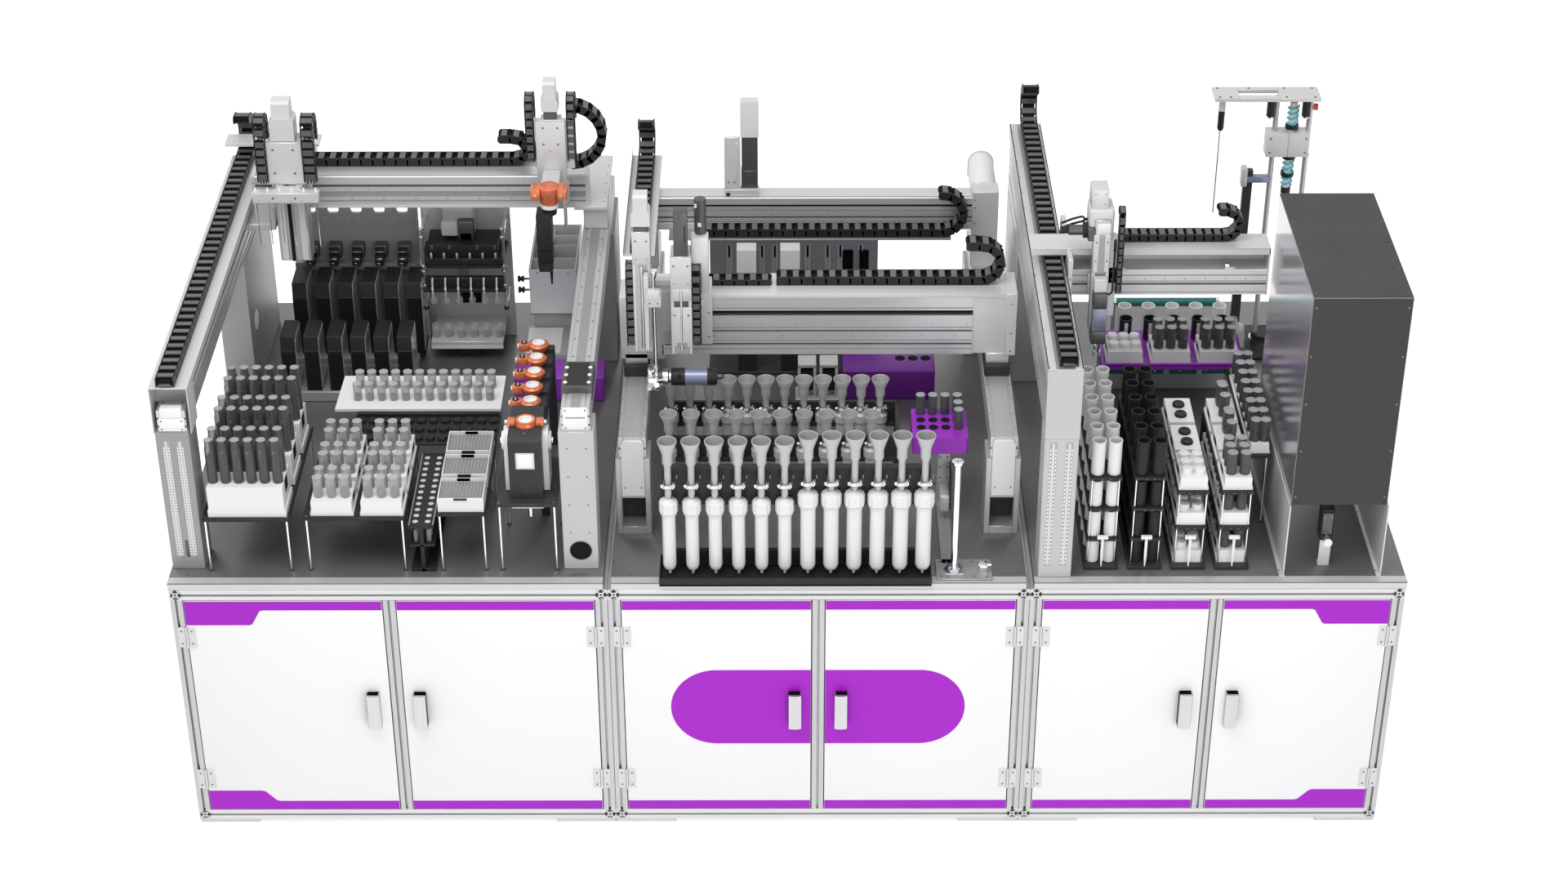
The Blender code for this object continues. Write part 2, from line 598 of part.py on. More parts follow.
def make_capper():
    x0, x1 = edge_b + capper_x[0], edge_b + capper_x[1]
    front = dosing_front
    beam_face = bridge_y[0] - seat
    middle = (x0 + x1) / 2
    loop = 0.122
    ring_centre = (x1 + 0.010, table + 0.9781)
    outer = arc(ring_centre, loop, 90, -90, 8)
    inner = arc(ring_centre, loop - chain_height, -90, 90, 8)
    parts = [block((x0 + 0.020, x1 - 0.020), (front, beam_face - 0.020), above(0.7161, 1.0361)),
             block((x0 + 0.006, x1 - 0.006), (beam_face - 0.022, beam_face), above(0.6961, 0.7811)),
             block((x0, x1), (front, front + 0.012), above(0.8221, 1.0451)),
             block((x0 - 0.004, x1 + 0.030), (front + 0.010, front + 0.030), above(0.8661, 1.0461)),
             z_chain((x0 - 0.030, x0 + 0.002), (front + 0.004, front + 0.094), above(0.8881, 1.1291)),
             z_chain((x1 - 0.002, x1 + 0.030), (front + 0.004, front + 0.094), above(0.8881, 1.1291)),
             block((x0 - 0.010, x1 + 0.010), (front + 0.030, front + 0.060), above(0.8961, 0.9461)),
             extruded(outer + inner, (front + 0.020, front + 0.080), "Y"),
             block((x1 - 0.024, x1 - 0.010), (front + 0.002, front + 0.040), above(0.6361, 0.8461))]
    parts += motor((middle - 0.028, middle + 0.028), (front + 0.012, front + 0.076), above(1.0261, 1.1801), 0.006)
    node("capper_carriage", pale_sheet, parts, origin=(x0, bridge_y[0], table + 0.6961))
    tool_y = (1.010, 1.120)
    valve = [block((x0 - 0.012, x1 + 0.006), (tool_y[0] + 0.010, tool_y[1] - 0.020), above(0.8441, 0.8821)),
             rod((middle, tool_y[0] + 0.045, table + 0.8161), 0.066, 0.042, sides=12),
             block((middle - 0.030, middle + 0.030), (tool_y[0] + 0.060, front - seat), above(0.8311, 0.8661)),
             rod((middle, tool_y[0] + 0.045, table + 0.7761), 0.045, 0.026, sides=10),
             block((middle - 0.046, middle + 0.006), (tool_y[0], tool_y[0] + 0.070), above(0.5761, 0.7911)),
             rod((middle - 0.004, tool_y[0] + 0.030, table + 0.5131), 0.065, 0.004, sides=6, end_radius=0.012)]
    node("capper_tool", black_plastic, valve, origin=(middle, front, table + 0.8161))


make_capper()

# Middle gantry: a moving front bridge and a fixed rear beam
front_beam_y = (0.690, 0.780)
front_beam_z = above(0.4411, 0.6561)


def make_bridge_middle():
    x = (leg_b[0] + 0.004, leg_c[1] + 0.002)
    body = block((leg_b[1] + 0.030, leg_c[1] - 0.030), front_beam_y, front_beam_z)
    foot = low_rail_top + seat
    slots = []
    for low, high in ((0.150, 0.165), (0.085, 0.093), (0.035, 0.043)):
        slots.append(block((x[0] - 0.01, x[1] + 0.01), (front_beam_y[0] - 0.01, front_beam_y[0] + 0.008),
                           (front_beam_z[0] + low, front_beam_z[0] + high)))
    parts = [body,
             block((x[0], leg_b[1] + 0.040), (front_beam_y[0], front_beam_y[1] + 0.040),
                   (front_beam_z[0] - 0.020, front_beam_z[1])),
             block((leg_b[0] + 0.014, leg_b[1] - 0.014), (front_beam_y[0] - 0.020, front_beam_y[1] + 0.060),
                   (foot, front_beam_z[0] - 0.018)),
             block((leg_c[0] + 0.014, leg_c[1] - 0.014), (front_beam_y[0] - 0.020, front_beam_y[1] + 0.060),
                   (foot, front_beam_z[0] + 0.002)),
             block((leg_c[1] - 0.034, x[1]), (front_beam_y[0] - 0.004, front_beam_y[1] + 0.060),
                   (front_beam_z[0] - 0.004, front_beam_z[1] + 0.012)),
             block((x[0] + 0.100, x[1]), (front_beam_y[0], front_beam_y[1] + 0.060),
                   (front_beam_z[1] - 0.002, front_beam_z[1] + 0.010)),
             x_chain(-0.030, 0.640, (front_beam_y[1] - 0.030, front_beam_y[1] + 0.030),
                     front_beam_z[1] + 0.009, 0.078, 0.060),
             block((leg_b[1] + 0.060, -0.020), (front_beam_y[1] - 0.030, front_beam_y[1] + 0.030),
                   (front_beam_z[1] + 0.009, front_beam_z[1] + 0.030))]
    node("bridge_middle", aluminium, parts, slots, origin=(x[0], front_beam_y[0], foot))


make_bridge_middle()


def make_tube_carriage():
    face = front_beam_y[0] - seat
    front = 0.570
    left = edge_b + 0.062
    parts = [block((left, left + 0.270), (face - 0.030, face), above(0.4961, 0.7361)),
             block((left + 0.020, left + 0.075), (front, face - 0.028), above(0.5161, 0.9561)),
             block((left + 0.140, left + 0.205), (front, face - 0.028), above(0.5061, 0.8661)),
             block((left + 0.080, left + 0.142), (front + 0.050, face - 0.028), above(0.5661, 0.7161)),
             z_chain((left - 0.006, left + 0.026), (front + 0.006, front + 0.086), above(0.5361, 0.8311)),
             z_chain((left + 0.200, left + 0.236), (front + 0.006, front + 0.086), above(0.5361, 0.8261))]
    parts += motor((left + 0.018, left + 0.078), (front + 0.006, front + 0.070), above(0.9461, 1.0811), 0.006)
    parts += motor((left + 0.150, left + 0.196), (front + 0.010, front + 0.060), above(0.8561, 1.0211), 0.004)
    parts += [block((left + 0.205, left + 0.262), (front + 0.040, face - 0.028), above(0.7161, 0.9161)),
              rod((left + 0.236, front + 0.080, table + 0.9141), 0.130, 0.020)]
    node("tube_carriage", pale_sheet, parts, origin=(left, front_beam_y[0], table + 0.4961))
    tube_x = left + 0.088
    grip_z = above(0.4141, 0.4861)
    grip = [rod((tube_x, front - 0.045, table + 0.4161), 0.430, 0.014, sides=10),
            block((tube_x - 0.030, tube_x + 0.026), (front - 0.060, front - seat), above(0.7161, 0.7561)),
            block((tube_x - 0.030, tube_x + 0.050), (front - 0.070, front - 0.010), grip_z),
            rod((tube_x + 0.048, front - 0.040, table + 0.4501), 0.150, 0.030, "X", 12),
            rod((tube_x + 0.196, front - 0.040, table + 0.4501), 0.030, 0.016, "X", 8),
            block((tube_x - 0.034, tube_x - 0.016), (front - 0.036, front - seat), above(0.5461, 0.8161))]
    node("tube_gripper", frosted, grip, origin=(tube_x, front, table + 0.7161))


make_tube_carriage()


def make_rear_beam():
    x = (leg_b[1] - 0.010 + seat, leg_c[0] + 0.010 - seat)
    body, slots = beam(x, (rear_beam_y[0], rear_beam_y[1]), (rear_beam_z[0] + 0.010, rear_beam_z[1]))
    parts = [body,
             block((x[0], x[1]), (rear_beam_y[0] - 0.010, rear_beam_y[0] + 0.004), (rear_beam_z[0], rear_beam_z[0] + 0.030)),
             block((x[0] + 0.040, 0.575), (rear_beam_y[0] - 0.090, rear_beam_y[0] - 0.008), (rear_beam_z[0], rear_beam_z[0] + 0.006)),
             x_chain(x[0] + 0.160, 0.545, (rear_beam_y[0] - 0.080, rear_beam_y[0] - 0.020),
                     rear_beam_z[0] + 0.005, 0.088, 0.050)]
    node("rear_beam", aluminium, parts, slots)
    lift_x = (-0.215, -0.095)
    top = rear_beam_z[1] + seat
    lift = [block(lift_x, (rear_beam_y[0] + 0.004, rear_beam_y[1] - 0.004), (top, top + 0.020)),
            block((lift_x[0], lift_x[1] - 0.064), (rear_beam_y[0] + 0.004, rear_beam_y[0] + 0.018), (top, table + 0.8661)),
            block((lift_x[0] + 0.052, lift_x[1]), (rear_beam_y[0] + 0.014, rear_beam_y[0] + 0.070), (top + 0.018, table + 0.7161))]
    lift += motor((lift_x[0] + 0.056, lift_x[1] - 0.002), (rear_beam_y[0] + 0.016, rear_beam_y[0] + 0.066),
                  above(0.7141, 0.9911), 0.001)
    node("rear_carriage", pale_sheet, lift, origin=(lift_x[0], rear_beam_y[0], top))


make_rear_beam()

# Right gantry: a cantilever bridge on the tall rail
arm_y = (0.705, 0.785)
arm_z = above(0.6561, 0.7481)
arm_lid = table + 0.8281


def make_bridge_right():
    x = (tall_x[1] + seat, edge_d - 0.405)
    body, slots = beam((x[0], x[1]), arm_y, arm_z)
    parts = [body,
             block((x[0], x[0] + 0.016), (arm_y[0] - 0.080, arm_y[1] + 0.160), (arm_z[0] - 0.020, arm_lid)),
             block((tall_x[0] - 0.004, x[1]), (arm_y[0] - 0.004, arm_y[1] + 0.020), (arm_lid - 0.004, arm_lid)),
             block((tall_x[0] - 0.004, x[1]), (arm_y[0] - 0.004, arm_y[0]), (arm_lid - 0.024, arm_lid)),
             block((x[1] - 0.005, x[1]), (arm_y[0] - 0.004, arm_y[1] + 0.020), (arm_z[0], arm_lid)),
             x_chain(x[0] + 0.180, 1.425, (arm_y[1] - 0.045, arm_y[1] + 0.015), arm_lid - 0.001, 0.060, 0.035)]
    node("bridge_right", aluminium, parts, slots, origin=(x[0], arm_y[0], arm_z[0]))


make_bridge_right()


def make_vial_carriage():
    face = arm_y[0] - seat
    left = edge_c + 0.205
    front = 0.615
    low_z = table + 0.6661
    parts = [block((left, left + 0.112), (face - 0.020, face), (low_z, table + 0.7411)),
             block((left + 0.004, left + 0.058), (front, face - 0.018), above(0.5561, 0.9761)),
             block((left + 0.056, left + 0.084), (front + 0.020, face - 0.018), above(0.6161, 0.8961)),
             z_chain((left + 0.082, left + 0.102), (front + 0.004, front + 0.064), above(0.7061, 1.0011)),
             block((left + 0.052, left + 0.090), (front + 0.020, front + 0.050), above(0.7361, 0.7961)),
             block((left - 0.030, left + 0.070), (front + 0.006, front + 0.120), above(0.8961, 1.0011)),
             block((left - 0.010, left + 0.050), (front + 0.030, front + 0.110), above(0.9961, 1.0661)),
             rod((left - 0.100, front + 0.050, table + 0.9161), 0.080, 0.026, "X", 10)]
    node("vial_carriage", pale_sheet, parts, origin=(left, arm_y[0], low_z))
    grip_y = (front - 0.050, front - seat)
    grip = [block((left + 0.010, left + 0.052), (front - 0.030, front - seat), above(0.7161, 0.7761)),
            block((left + 0.006, left + 0.056), grip_y, above(0.5361, 0.7311)),
            rod((left + 0.031, front - 0.026, table + 0.4941), 0.044, 0.018, sides=8),
            rod((left + 0.070, front - 0.020, table + 0.7161), 0.200, 0.005, sides=6),
            block((left + 0.040, left + 0.078), (front - 0.028, front - 0.012), above(0.7061, 0.7211))]
    node("vial_gripper", black_plastic, grip, origin=(left + 0.031, front, table + 0.5361))


make_vial_carriage()


# Left module: stands, racks and stations
def stand(x, y, crown, thickness=plate_thickness):
    # A plate on four thin rods.
    inset = 0.010
    return [block(x, y, (crown - thickness, crown))] + rods((x[0] + inset, x[1] - inset),
                                                            (y[0] + inset, y[1] - inset), bench, crown - 0.002)


def make_tall_vials():
    x = (edge_a + 0.119, edge_a + 0.397)
    crown = table + 0.2021
    parts = stand(x, (0.066, 0.625), crown)
    rack = (edge_a + 0.140, edge_a + 0.388)
    for k in range(3):
        y = 0.078 + 0.190 * k
        parts.append(block(rack, (y, y + 0.140), (crown - 0.002, crown + 0.112)))
        parts += tubes(spread(rack[0] + 0.021, 0.0412, 6), (y + 0.036, y + 0.104), crown + 0.104,
                       crown + 0.268, 0.0165)
    node("tall_vial_stand", grey_glass, parts)


def make_small_vials():
    x = (edge_a + 0.440, edge_a + 0.763)
    crown = table + 0.2061
    parts = stand(x, (0.066, 0.500), crown)
    for first in (edge_a + 0.464, edge_a + 0.622):
        for k in range(3):
            y = 0.078 + 0.142 * k
            parts.append(block((first, first + 0.137), (y, y + 0.118), (crown - 0.002, crown + 0.055)))
            parts += tubes(spread(first + 0.026, 0.0425, 3), (y + 0.032, y + 0.086), crown + 0.050,
                           crown + 0.128, 0.0155)
    node("small_vial_stand", grey_glass, parts)


def make_narrow_rack():
    x = (edge_a + 0.772, edge_a + 0.852)
    y = (0.066, 0.500)
    crown = table + 0.1761
    parts = [block(x, y, (bench, bench + 0.012)), block(x, y, above(0.0961, 0.1041)),
             block(x, y, (crown - 0.012, crown)),
             block(((x[0] + x[1]) / 2 - 0.006, (x[0] + x[1]) / 2 + 0.006), y, (bench, crown - 0.002))]
    node("narrow_cap_rack", black_plastic, parts)


def make_tip_boxes():
    x = (edge_a + 0.863, edge_a + 1.021)
    crown = table + 0.2211
    parts = stand(x, (0.066, 0.500), crown)
    cuts = []
    for k in range(3):
        y = 0.076 + 0.142 * k
        box_x = (x[0] + 0.006, x[1] - 0.006)
        parts.append(block(box_x, (y, y + 0.122), (crown - 0.002, crown + 0.052)))
        cuts.append(block((box_x[0] + 0.008, box_x[1] - 0.008), (y + 0.008, y + 0.114),
                          (crown + 0.030, crown + 0.060)))
    node("tip_box_stand", white_plastic, parts, cuts)


def make_capping_station():
    x = (edge_b - 0.346, edge_b - 0.152)
    crown = table + 0.2561
    y = (0.066, 0.350)
    middle = (x[0] + x[1]) / 2
    parts = stand(x, y, crown)
    body = [(middle - 0.084, crown - 0.002), (middle + 0.084, crown - 0.002)]
    body += arc((middle, crown + 0.130), 0.084, 0, 180, 10)
    parts += [extruded(body, (0.150, 0.240), "Y"),
              block((middle - 0.052, middle + 0.052), (0.100, 0.300), (crown - 0.002, crown + 0.224)),
              rod((middle, 0.190, crown + 0.222), 0.018, 0.034, sides=12),
              block((middle - 0.070, middle + 0.070), (0.150, 0.250), (crown - 0.050, crown - 0.010)),
              rod((middle, 0.200, crown - 0.130), 0.090, 0.010, sides=8)]
    node("capping_station", black_plastic, parts)


def make_shelf():
    x = (edge_a + 0.460, edge_a + 1.016)
    crown = table + 0.2211
    parts = [block(x, (0.706, 0.925), (crown - 0.010, crown)),
             block((x[0] + 0.070, x[1]), (0.520, 0.702), (crown - 0.030, crown - 0.012)),
             block((x[0] + 0.075, x[1] - 0.005), (0.690, 0.760), (crown - 0.026, crown - 0.008))]
    for leg in ((x[0] + 0.080, x[0] + 0.092), (x[1] - 0.030, x[1] - 0.018)):
        parts.append(block(leg, (0.540, 0.900), (bench, crown - 0.006)))
    parts += tubes(spread(x[0] + 0.070, 0.0405, 12), (0.770, 0.850), crown - 0.002, crown + 0.062, 0.0145)
    node("vial_shelf", white_plastic, parts)


def make_valve_bank():
    bar_x = (edge_b - 0.236, edge_b - 0.205)
    y = (0.390, 0.850)
    crown = table + 0.4081
    parts = [block(bar_x, y, (crown - 0.070, crown - 0.010))]
    parts += [block(bar_x, (spot, spot + 0.020), (bench, crown - 0.060)) for spot in (y[0], y[1] - 0.020)]
    for spot in spread(y[0] + 0.045, 0.092, 5):
        parts += [rod((bar_x[0] - 0.020, spot, crown - 0.014), 0.030, 0.034, sides=8),
                  block((bar_x[0] - 0.090, bar_x[0] - 0.030), (spot - 0.016, spot + 0.016),
                        (crown - 0.010, crown + 0.012)),
                  block((bar_x[0] - 0.040, bar_x[1]), (spot - 0.012, spot + 0.012), (crown - 0.030, crown - 0.006))]
    node("valve_bank", orange, parts)


def make_bath():
    bath_x = (edge_b - 0.340, edge_b - 0.171)
    parts = [block(bath_x, (1.450, 1.800), above(0.1661, 0.3461)),
             block((bath_x[0] + 0.010, bath_x[1] - 0.010), (1.460, 1.790), (bench, table + 0.1681)),
             block((edge_b - 0.355, edge_b - 0.155), (1.120, 1.462), (bench, table + 0.1161))]
    parts += [rod((bath_x[0] - 0.052, 1.560, z), 0.060, 0.012, "X", 8) for z in above(0.2061, 0.2511)]
    hollow = block((bath_x[0] + 0.004, bath_x[1] - 0.004), (1.454, 1.796), above(0.1741, 0.3561))
    node("bath_station", pale_sheet, parts, [hollow])


def make_cartridges():
    # A pump panel at the back with two rows of upright cartridges in front of it.
    x = (edge_a + 0.235, edge_a + 0.660)
    parts = [block(x, (1.600, 1.612), (bench, table + 0.6161)),
             block(x, (1.120, 1.602), (bench, bench + 0.040)),
             block((x[0] - 0.025, x[1]), (1.575, 1.602), above(0.2781, 0.3081))]
    pitch = 0.0812
    for i in range(6):
        for y, crown, shift in (((1.390, 1.520), table + 0.3211, 0.0), ((1.130, 1.260), table + 0.2511, -0.040)):
            left = x[0] - 0.012 + pitch * i + shift + (0.030 if shift else 0)
            parts.append(block((left, left + 0.052), y, (bench + 0.030, crown)))
    parts += [block((x[0] + 0.020 + 0.082 * i, x[0] + 0.066 + 0.082 * i), (1.530, 1.602), above(0.3161, 0.3861))
              for i in range(5)]
    slots = []
    for i in range(5):
        left = x[0] + 0.022 + 0.082 * i
        slots.append(block((left, left + 0.040), (1.590, 1.620), above(0.4961, 0.5961)))
    node("cartridge_panel", dark_paint, parts, slots)


def make_dispensing():
    x = (edge_a + 0.672, edge_a + 0.990)
    parts = [block(x, (1.590, 1.602), (bench, table + 0.6161)),
             block((x[0] + 0.010, x[1] - 0.010), (1.450, 1.592), above(0.3461, 0.4361)),
             block((x[0] + 0.080, x[1] - 0.120), (1.500, 1.592), above(0.4341, 0.5561)),
             block((x[0] + 0.012, x[1] - 0.012), (1.430, 1.470), above(0.2661, 0.3161)),
             block((x[0] + 0.030, x[1] - 0.030), (1.400, 1.592), above(0.0661, 0.0821)),
             block((x[0] + 0.120, x[0] + 0.200), (1.440, 1.592), (bench, table + 0.0681))]
    parts += rods((x[0] + 0.016, x[1] - 0.016), (1.452,), table + 0.1961, table + 0.5161, 0.006)
    pitch = (x[1] - x[0] - 0.090) / 5
    for i in range(6):
        place = (x[0] + 0.045 + pitch * i, 1.450)
        parts.append(rod((*place, table + 0.2161), 0.052, 0.005, sides=4))
        parts.append(rod((place[0], 1.440, table + 0.0781), 0.050, 0.014, sides=5))
    node("dispensing_head", pale_sheet, parts)


make_tall_vials()
make_small_vials()
make_narrow_rack()
make_tip_boxes()
make_capping_station()
make_shelf()
make_valve_bank()
make_bath()
make_cartridges()
make_dispensing()


# Middle module: filter columns, rack post and vented panel
filter_y = 0.040
filter_pitch = 0.0732
filter_first = edge_b + 0.201
bar_y = (0.063, 0.100)


def filter_column(x, y, foot, wide, crown, sides):
    # Column body with a tapered tip, a screw cap, a stem with its tap and a flared funnel.
    body = 0.0245 if wide else 0.0215
    cap = 0.033 if wide else 0.030
    cap_z = foot + (0.290 if wide else 0.262)
    points = [(0, foot), (0.006, foot), (body, foot + 0.030), (body, cap_z - 0.030),
              (cap, cap_z - 0.026), (cap, cap_z + 0.014), (0.011, cap_z + 0.024), (0.011, crown - 0.080),
              (0.030, crown), (0, crown - 0.016)]
    return turned(points, (x, y, 0), sides)


def make_filter_front():
    tray_x = (edge_b + 0.168, edge_b + 1.034)
    tray_z = bench + 0.030
    hollow = block((tray_x[0] + 0.006, tray_x[1] - 0.006), (-0.014, 0.114), (bench + 0.008, tray_z + 0.01))
    node("filter_tray", black_plastic, [block(tray_x, (-0.020, 0.120), (bench, tray_z))], [hollow])
    foot = bench + 0.008 + seat
    bar_x = (tray_x[0] + 0.012, tray_x[1] - 0.008)
    bar = [block(bar_x, bar_y, above(0.2521, 0.3161)), block(bar_x, (0.084, bar_y[1]), (foot, foot + 0.060))]
    bar += [block((x, x + 0.010), (bar_y[0] + 0.010, bar_y[1] - 0.002), (foot + 0.001, table + 0.3151))
            for x in (bar_x[0] + 0.001, bar_x[1] - 0.011)]
    columns = [filter_column(filter_first + filter_pitch * i, filter_y, foot + 0.004, i > 5, table + 0.5281, 6)
               for i in range(12)]
    node("filter_row_front", white_plastic, bar + columns)


def make_filter_rear():
    # Two rows of shorter funnels on a common stand.
    x = (edge_b + 0.180, edge_b + 0.945)
    parts = [block(x, (0.420, 0.434), above(0.1961, 0.2861)), block(x, (0.640, 0.654), above(0.1961, 0.2861)),
             block((x[0], x[0] + 0.012), (0.420, 0.654), above(0.2161, 0.2661)),
             block((x[1] - 0.012, x[1]), (0.420, 0.654), above(0.2161, 0.2661))]
    for leg in (x[0], x[1] - 0.012):
        parts += [block((leg, leg + 0.012), span, (bench, table + 0.2181)) for span in ((0.420, 0.440), (0.634, 0.654))]
    tip, neck, rim = table + 0.1361, table + 0.3261, table + 0.3801
    points = [(0, tip), (0.011, tip), (0.011, neck), (0.029, rim), (0, rim - 0.014)]
    for i in range(10):
        spot = filter_first - 0.010 + filter_pitch * i
        parts.append(turned(points, (spot, 0.414, 0), 5))
    for i in range(12):
        spot = filter_first - 0.010 + filter_pitch * 0.86 * i
        parts.append(turned(points, (spot, 0.634, 0), 5))
    node("filter_rows_rear", frosted, parts)


def make_rack_post():
    x = (edge_b + 0.982, edge_b + 1.162)
    y = (0.362, 0.548)
    crown = table + 0.3161
    base = [block((edge_b + 1.050, edge_b + 1.230), (0.010, 0.125), (bench, bench + 0.006)),
            block((edge_b + 1.085, edge_b + 1.150), (0.035, 0.100), (bench, bench + 0.020)),
            block((edge_b + 1.070, edge_b + 1.110), (0.100, 0.470), (bench, bench + 0.006)),
            block((edge_b + 1.070, edge_b + 1.110), (0.440, 0.470), (bench, crown - 0.058)),
            block(x, y, (crown - 0.060, crown)),
            rod((edge_b + 1.109, 0.062, bench + 0.004), 0.420, 0.012, sides=8),
            rod((edge_b + 1.109, 0.062, bench + 0.412), 0.006, 0.019, sides=8),
            block((edge_b + 1.190, edge_b + 1.215), (0.050, 0.080), (bench, bench + 0.030)),
            rod((edge_b + 1.188, 0.065, bench + 0.024), 0.040, 0.007, "X", 8)]
    columns = spread(x[0] + 0.030, 0.040, 4)
    base += tubes(columns, (y[1] - 0.026,), crown - 0.004, crown + 0.070, 0.0150)
    base += tubes(columns[3:], (y[1] - 0.072, y[1] - 0.118), crown - 0.004, crown + 0.070, 0.0150)
    holes = [rod((cx, cy, crown - 0.030), 0.05, 0.0155, sides=6)
             for cx in columns[:3] for cy in (y[1] - 0.072, y[1] - 0.118)]
    node("rack_post", purple, base, holes)


def make_vented_panel():
    x = (edge_b + 0.300, edge_b + 0.905)
    parts = [block(x, (1.600, 1.612), (bench, table + 0.4011)),
             block(x, (1.300, 1.602), (bench, bench + 0.012)),
             block((edge_b + 0.770, edge_b + 1.095), (1.130, 1.330), (bench, table + 0.1161))]
    for left in (edge_b + 0.404, edge_b + 0.556):
        parts += [block((left, left + 0.064), (1.310, 1.345), (bench + 0.010, table + 0.4081)),
                  block((left - 0.002, left + 0.066), (1.276, 1.345), above(0.4041, 0.5101))]
    slots = [block((edge_b + 0.340 + 0.052 * i, edge_b + 0.352 + 0.052 * i), (1.590, 1.620), above(0.1961, 0.3461))
             for i in range(10)]
    node("vented_panel", pale_sheet, parts, slots)


make_filter_front()
make_filter_rear()
make_rack_post()
make_vented_panel()


# Right module: pull-out racks, stations, tower and cover
rack_y = (0.070, 0.600)


def tiered_rack(name, left, tiers, finish, load):
    x = (left, left + 0.110)
    middle = (x[0] + x[1]) / 2
    parts = [block(x, rack_y, (bench, bench + 0.012))]
    parts += [block((x[0] + 0.004, x[1] - 0.004), (rack_y[0] + 0.014, rack_y[1]), (crown - 0.012, crown))
              for crown in tiers]
    parts += rods((x[0] + 0.012, x[1] - 0.012), (rack_y[0] + 0.024,), bench + 0.006, tiers[-1] - 0.002, 0.003)
    parts.append(block((x[0] + 0.006, x[1] - 0.006), (rack_y[1] - 0.004, rack_y[1] - 0.001),
                       (bench + 0.006, tiers[-1] - 0.002)))
    parts += [block((middle - 0.004, middle + 0.004), (rack_y[0] + 0.002, rack_y[0] + 0.010), (bench + 0.010, bench + 0.118)),
              block((middle - 0.017, middle + 0.017), (rack_y[0], rack_y[0] + 0.012), (bench + 0.116, bench + 0.128))]
    top = tiers[-1]
    if load == "cups":
        places = [(cx, cy) for cx in (x[0] + 0.029, x[1] - 0.029) for cy in spread(rack_y[0] + 0.044, 0.088, 6)]
        for cx, cy in places:
            parts.append(rod((cx, cy, top - 0.004), 0.126, 0.0215, sides=6))
    else:
        for k in range(3):
            y = rack_y[0] + 0.026 + 0.168 * k
            parts.append(block((x[0] + 0.008, x[1] - 0.008), (y, y + 0.150), (top - 0.002, top + 0.046)))
            tall = 0.124 if load == "vials" else 0.066
            rows = 3 if (k == 0 or load == "vials") else 2
            columns = (x[0] + 0.036, x[1] - 0.036) if (k == 0 or load == "vials") else (middle,)
            parts += tubes(columns, spread(y + 0.030, 0.045, rows), top + 0.042, top + tall, 0.0180)
    node(name, finish, parts, origin=(middle, rack_y[0], bench))


rack_left = edge_c + 0.175
rack_pitch = 0.1397
tiers_cup = (table + 0.1121, table + 0.2261, table + 0.3421)
tiers_vial = above(0.1561, 0.2881)
tiered_rack("pull_rack_a", rack_left, tiers_cup, white_plastic, "cups")
tiered_rack("pull_rack_b", rack_left + rack_pitch, tiers_cup, black_plastic, "cups")
tiered_rack("pull_rack_c", rack_left + 2 * rack_pitch, tiers_vial, white_plastic, "caps")
tiered_rack("pull_rack_d", rack_left + 3 * rack_pitch, tiers_vial, grey_glass, "vials")


def make_tray_station():
    x = (edge_c + 0.295, edge_c + 0.787)
    y = (0.912, 1.150)
    crown = table + 0.2681
    parts = stand(x, y, crown, 0.020)
    racks = ((x[0] + 0.020, x[0] + 0.146), (x[0] + 0.170, x[0] + 0.308), (x[0] + 0.332, x[0] + 0.470))
    for k, span in enumerate(racks):
        parts.append(block(span, (y[0] + 0.012, y[0] + 0.132), (crown - 0.002, crown + 0.044)))
        columns = spread(span[0] + 0.024, (span[1] - span[0] - 0.048) / 2, 3)
        tall = 0.066 if k == 0 else 0.125
        parts += tubes(columns, (y[0] + 0.044, y[0] + 0.100), crown + 0.040, crown + tall, 0.0170)
    parts += tubes(spread(x[0] + 0.100, 0.083, 5), (y[0] + 0.185,), crown - 0.004, crown + 0.080, 0.0220, 6)
    parts.append(block((x[0] + 0.060, x[1] - 0.020), (1.200, 1.330), (bench, table + 0.1361)))
    parts.append(block((x[0] + 0.060, x[1] - 0.020), (1.140, 1.205), above(0.0961, 0.1261)))
    parts += [block((spot, spot + 0.030), (1.120, 1.150), (table + 0.0981, crown - 0.010)) for spot in (x[0] + 0.10, x[1] - 0.13)]
    parts += tubes(spread(x[0] + 0.115, 0.083, 5), (1.260,), table + 0.1261, table + 0.3061, 0.0240, 6)
    parts.append(rod((x[0] + 0.078, 1.310, table + 0.2911), 0.375, 0.017, "X", 10))
    parts += [block((spot, spot + 0.012), (1.302, 1.318), above(0.1261, 0.2861)) for spot in (x[0] + 0.10, x[0] + 0.42)]
    node("tray_station", purple, parts)


def make_side_rack():
    x = (edge_d - 0.487, edge_d - 0.408)
    crown = table + 0.2681
    parts = stand(x, (0.330, 0.890), crown)
    parts.append(block((x[0] + 0.008, x[1] - 0.004), (0.345, 0.830), (crown - 0.002, crown + 0.034)))
    parts += tubes((x[0] + 0.026, x[1] - 0.022), spread(0.375, 0.061, 8), crown + 0.030, crown + 0.112, 0.0160)
    node("side_rack", grey_glass, parts)


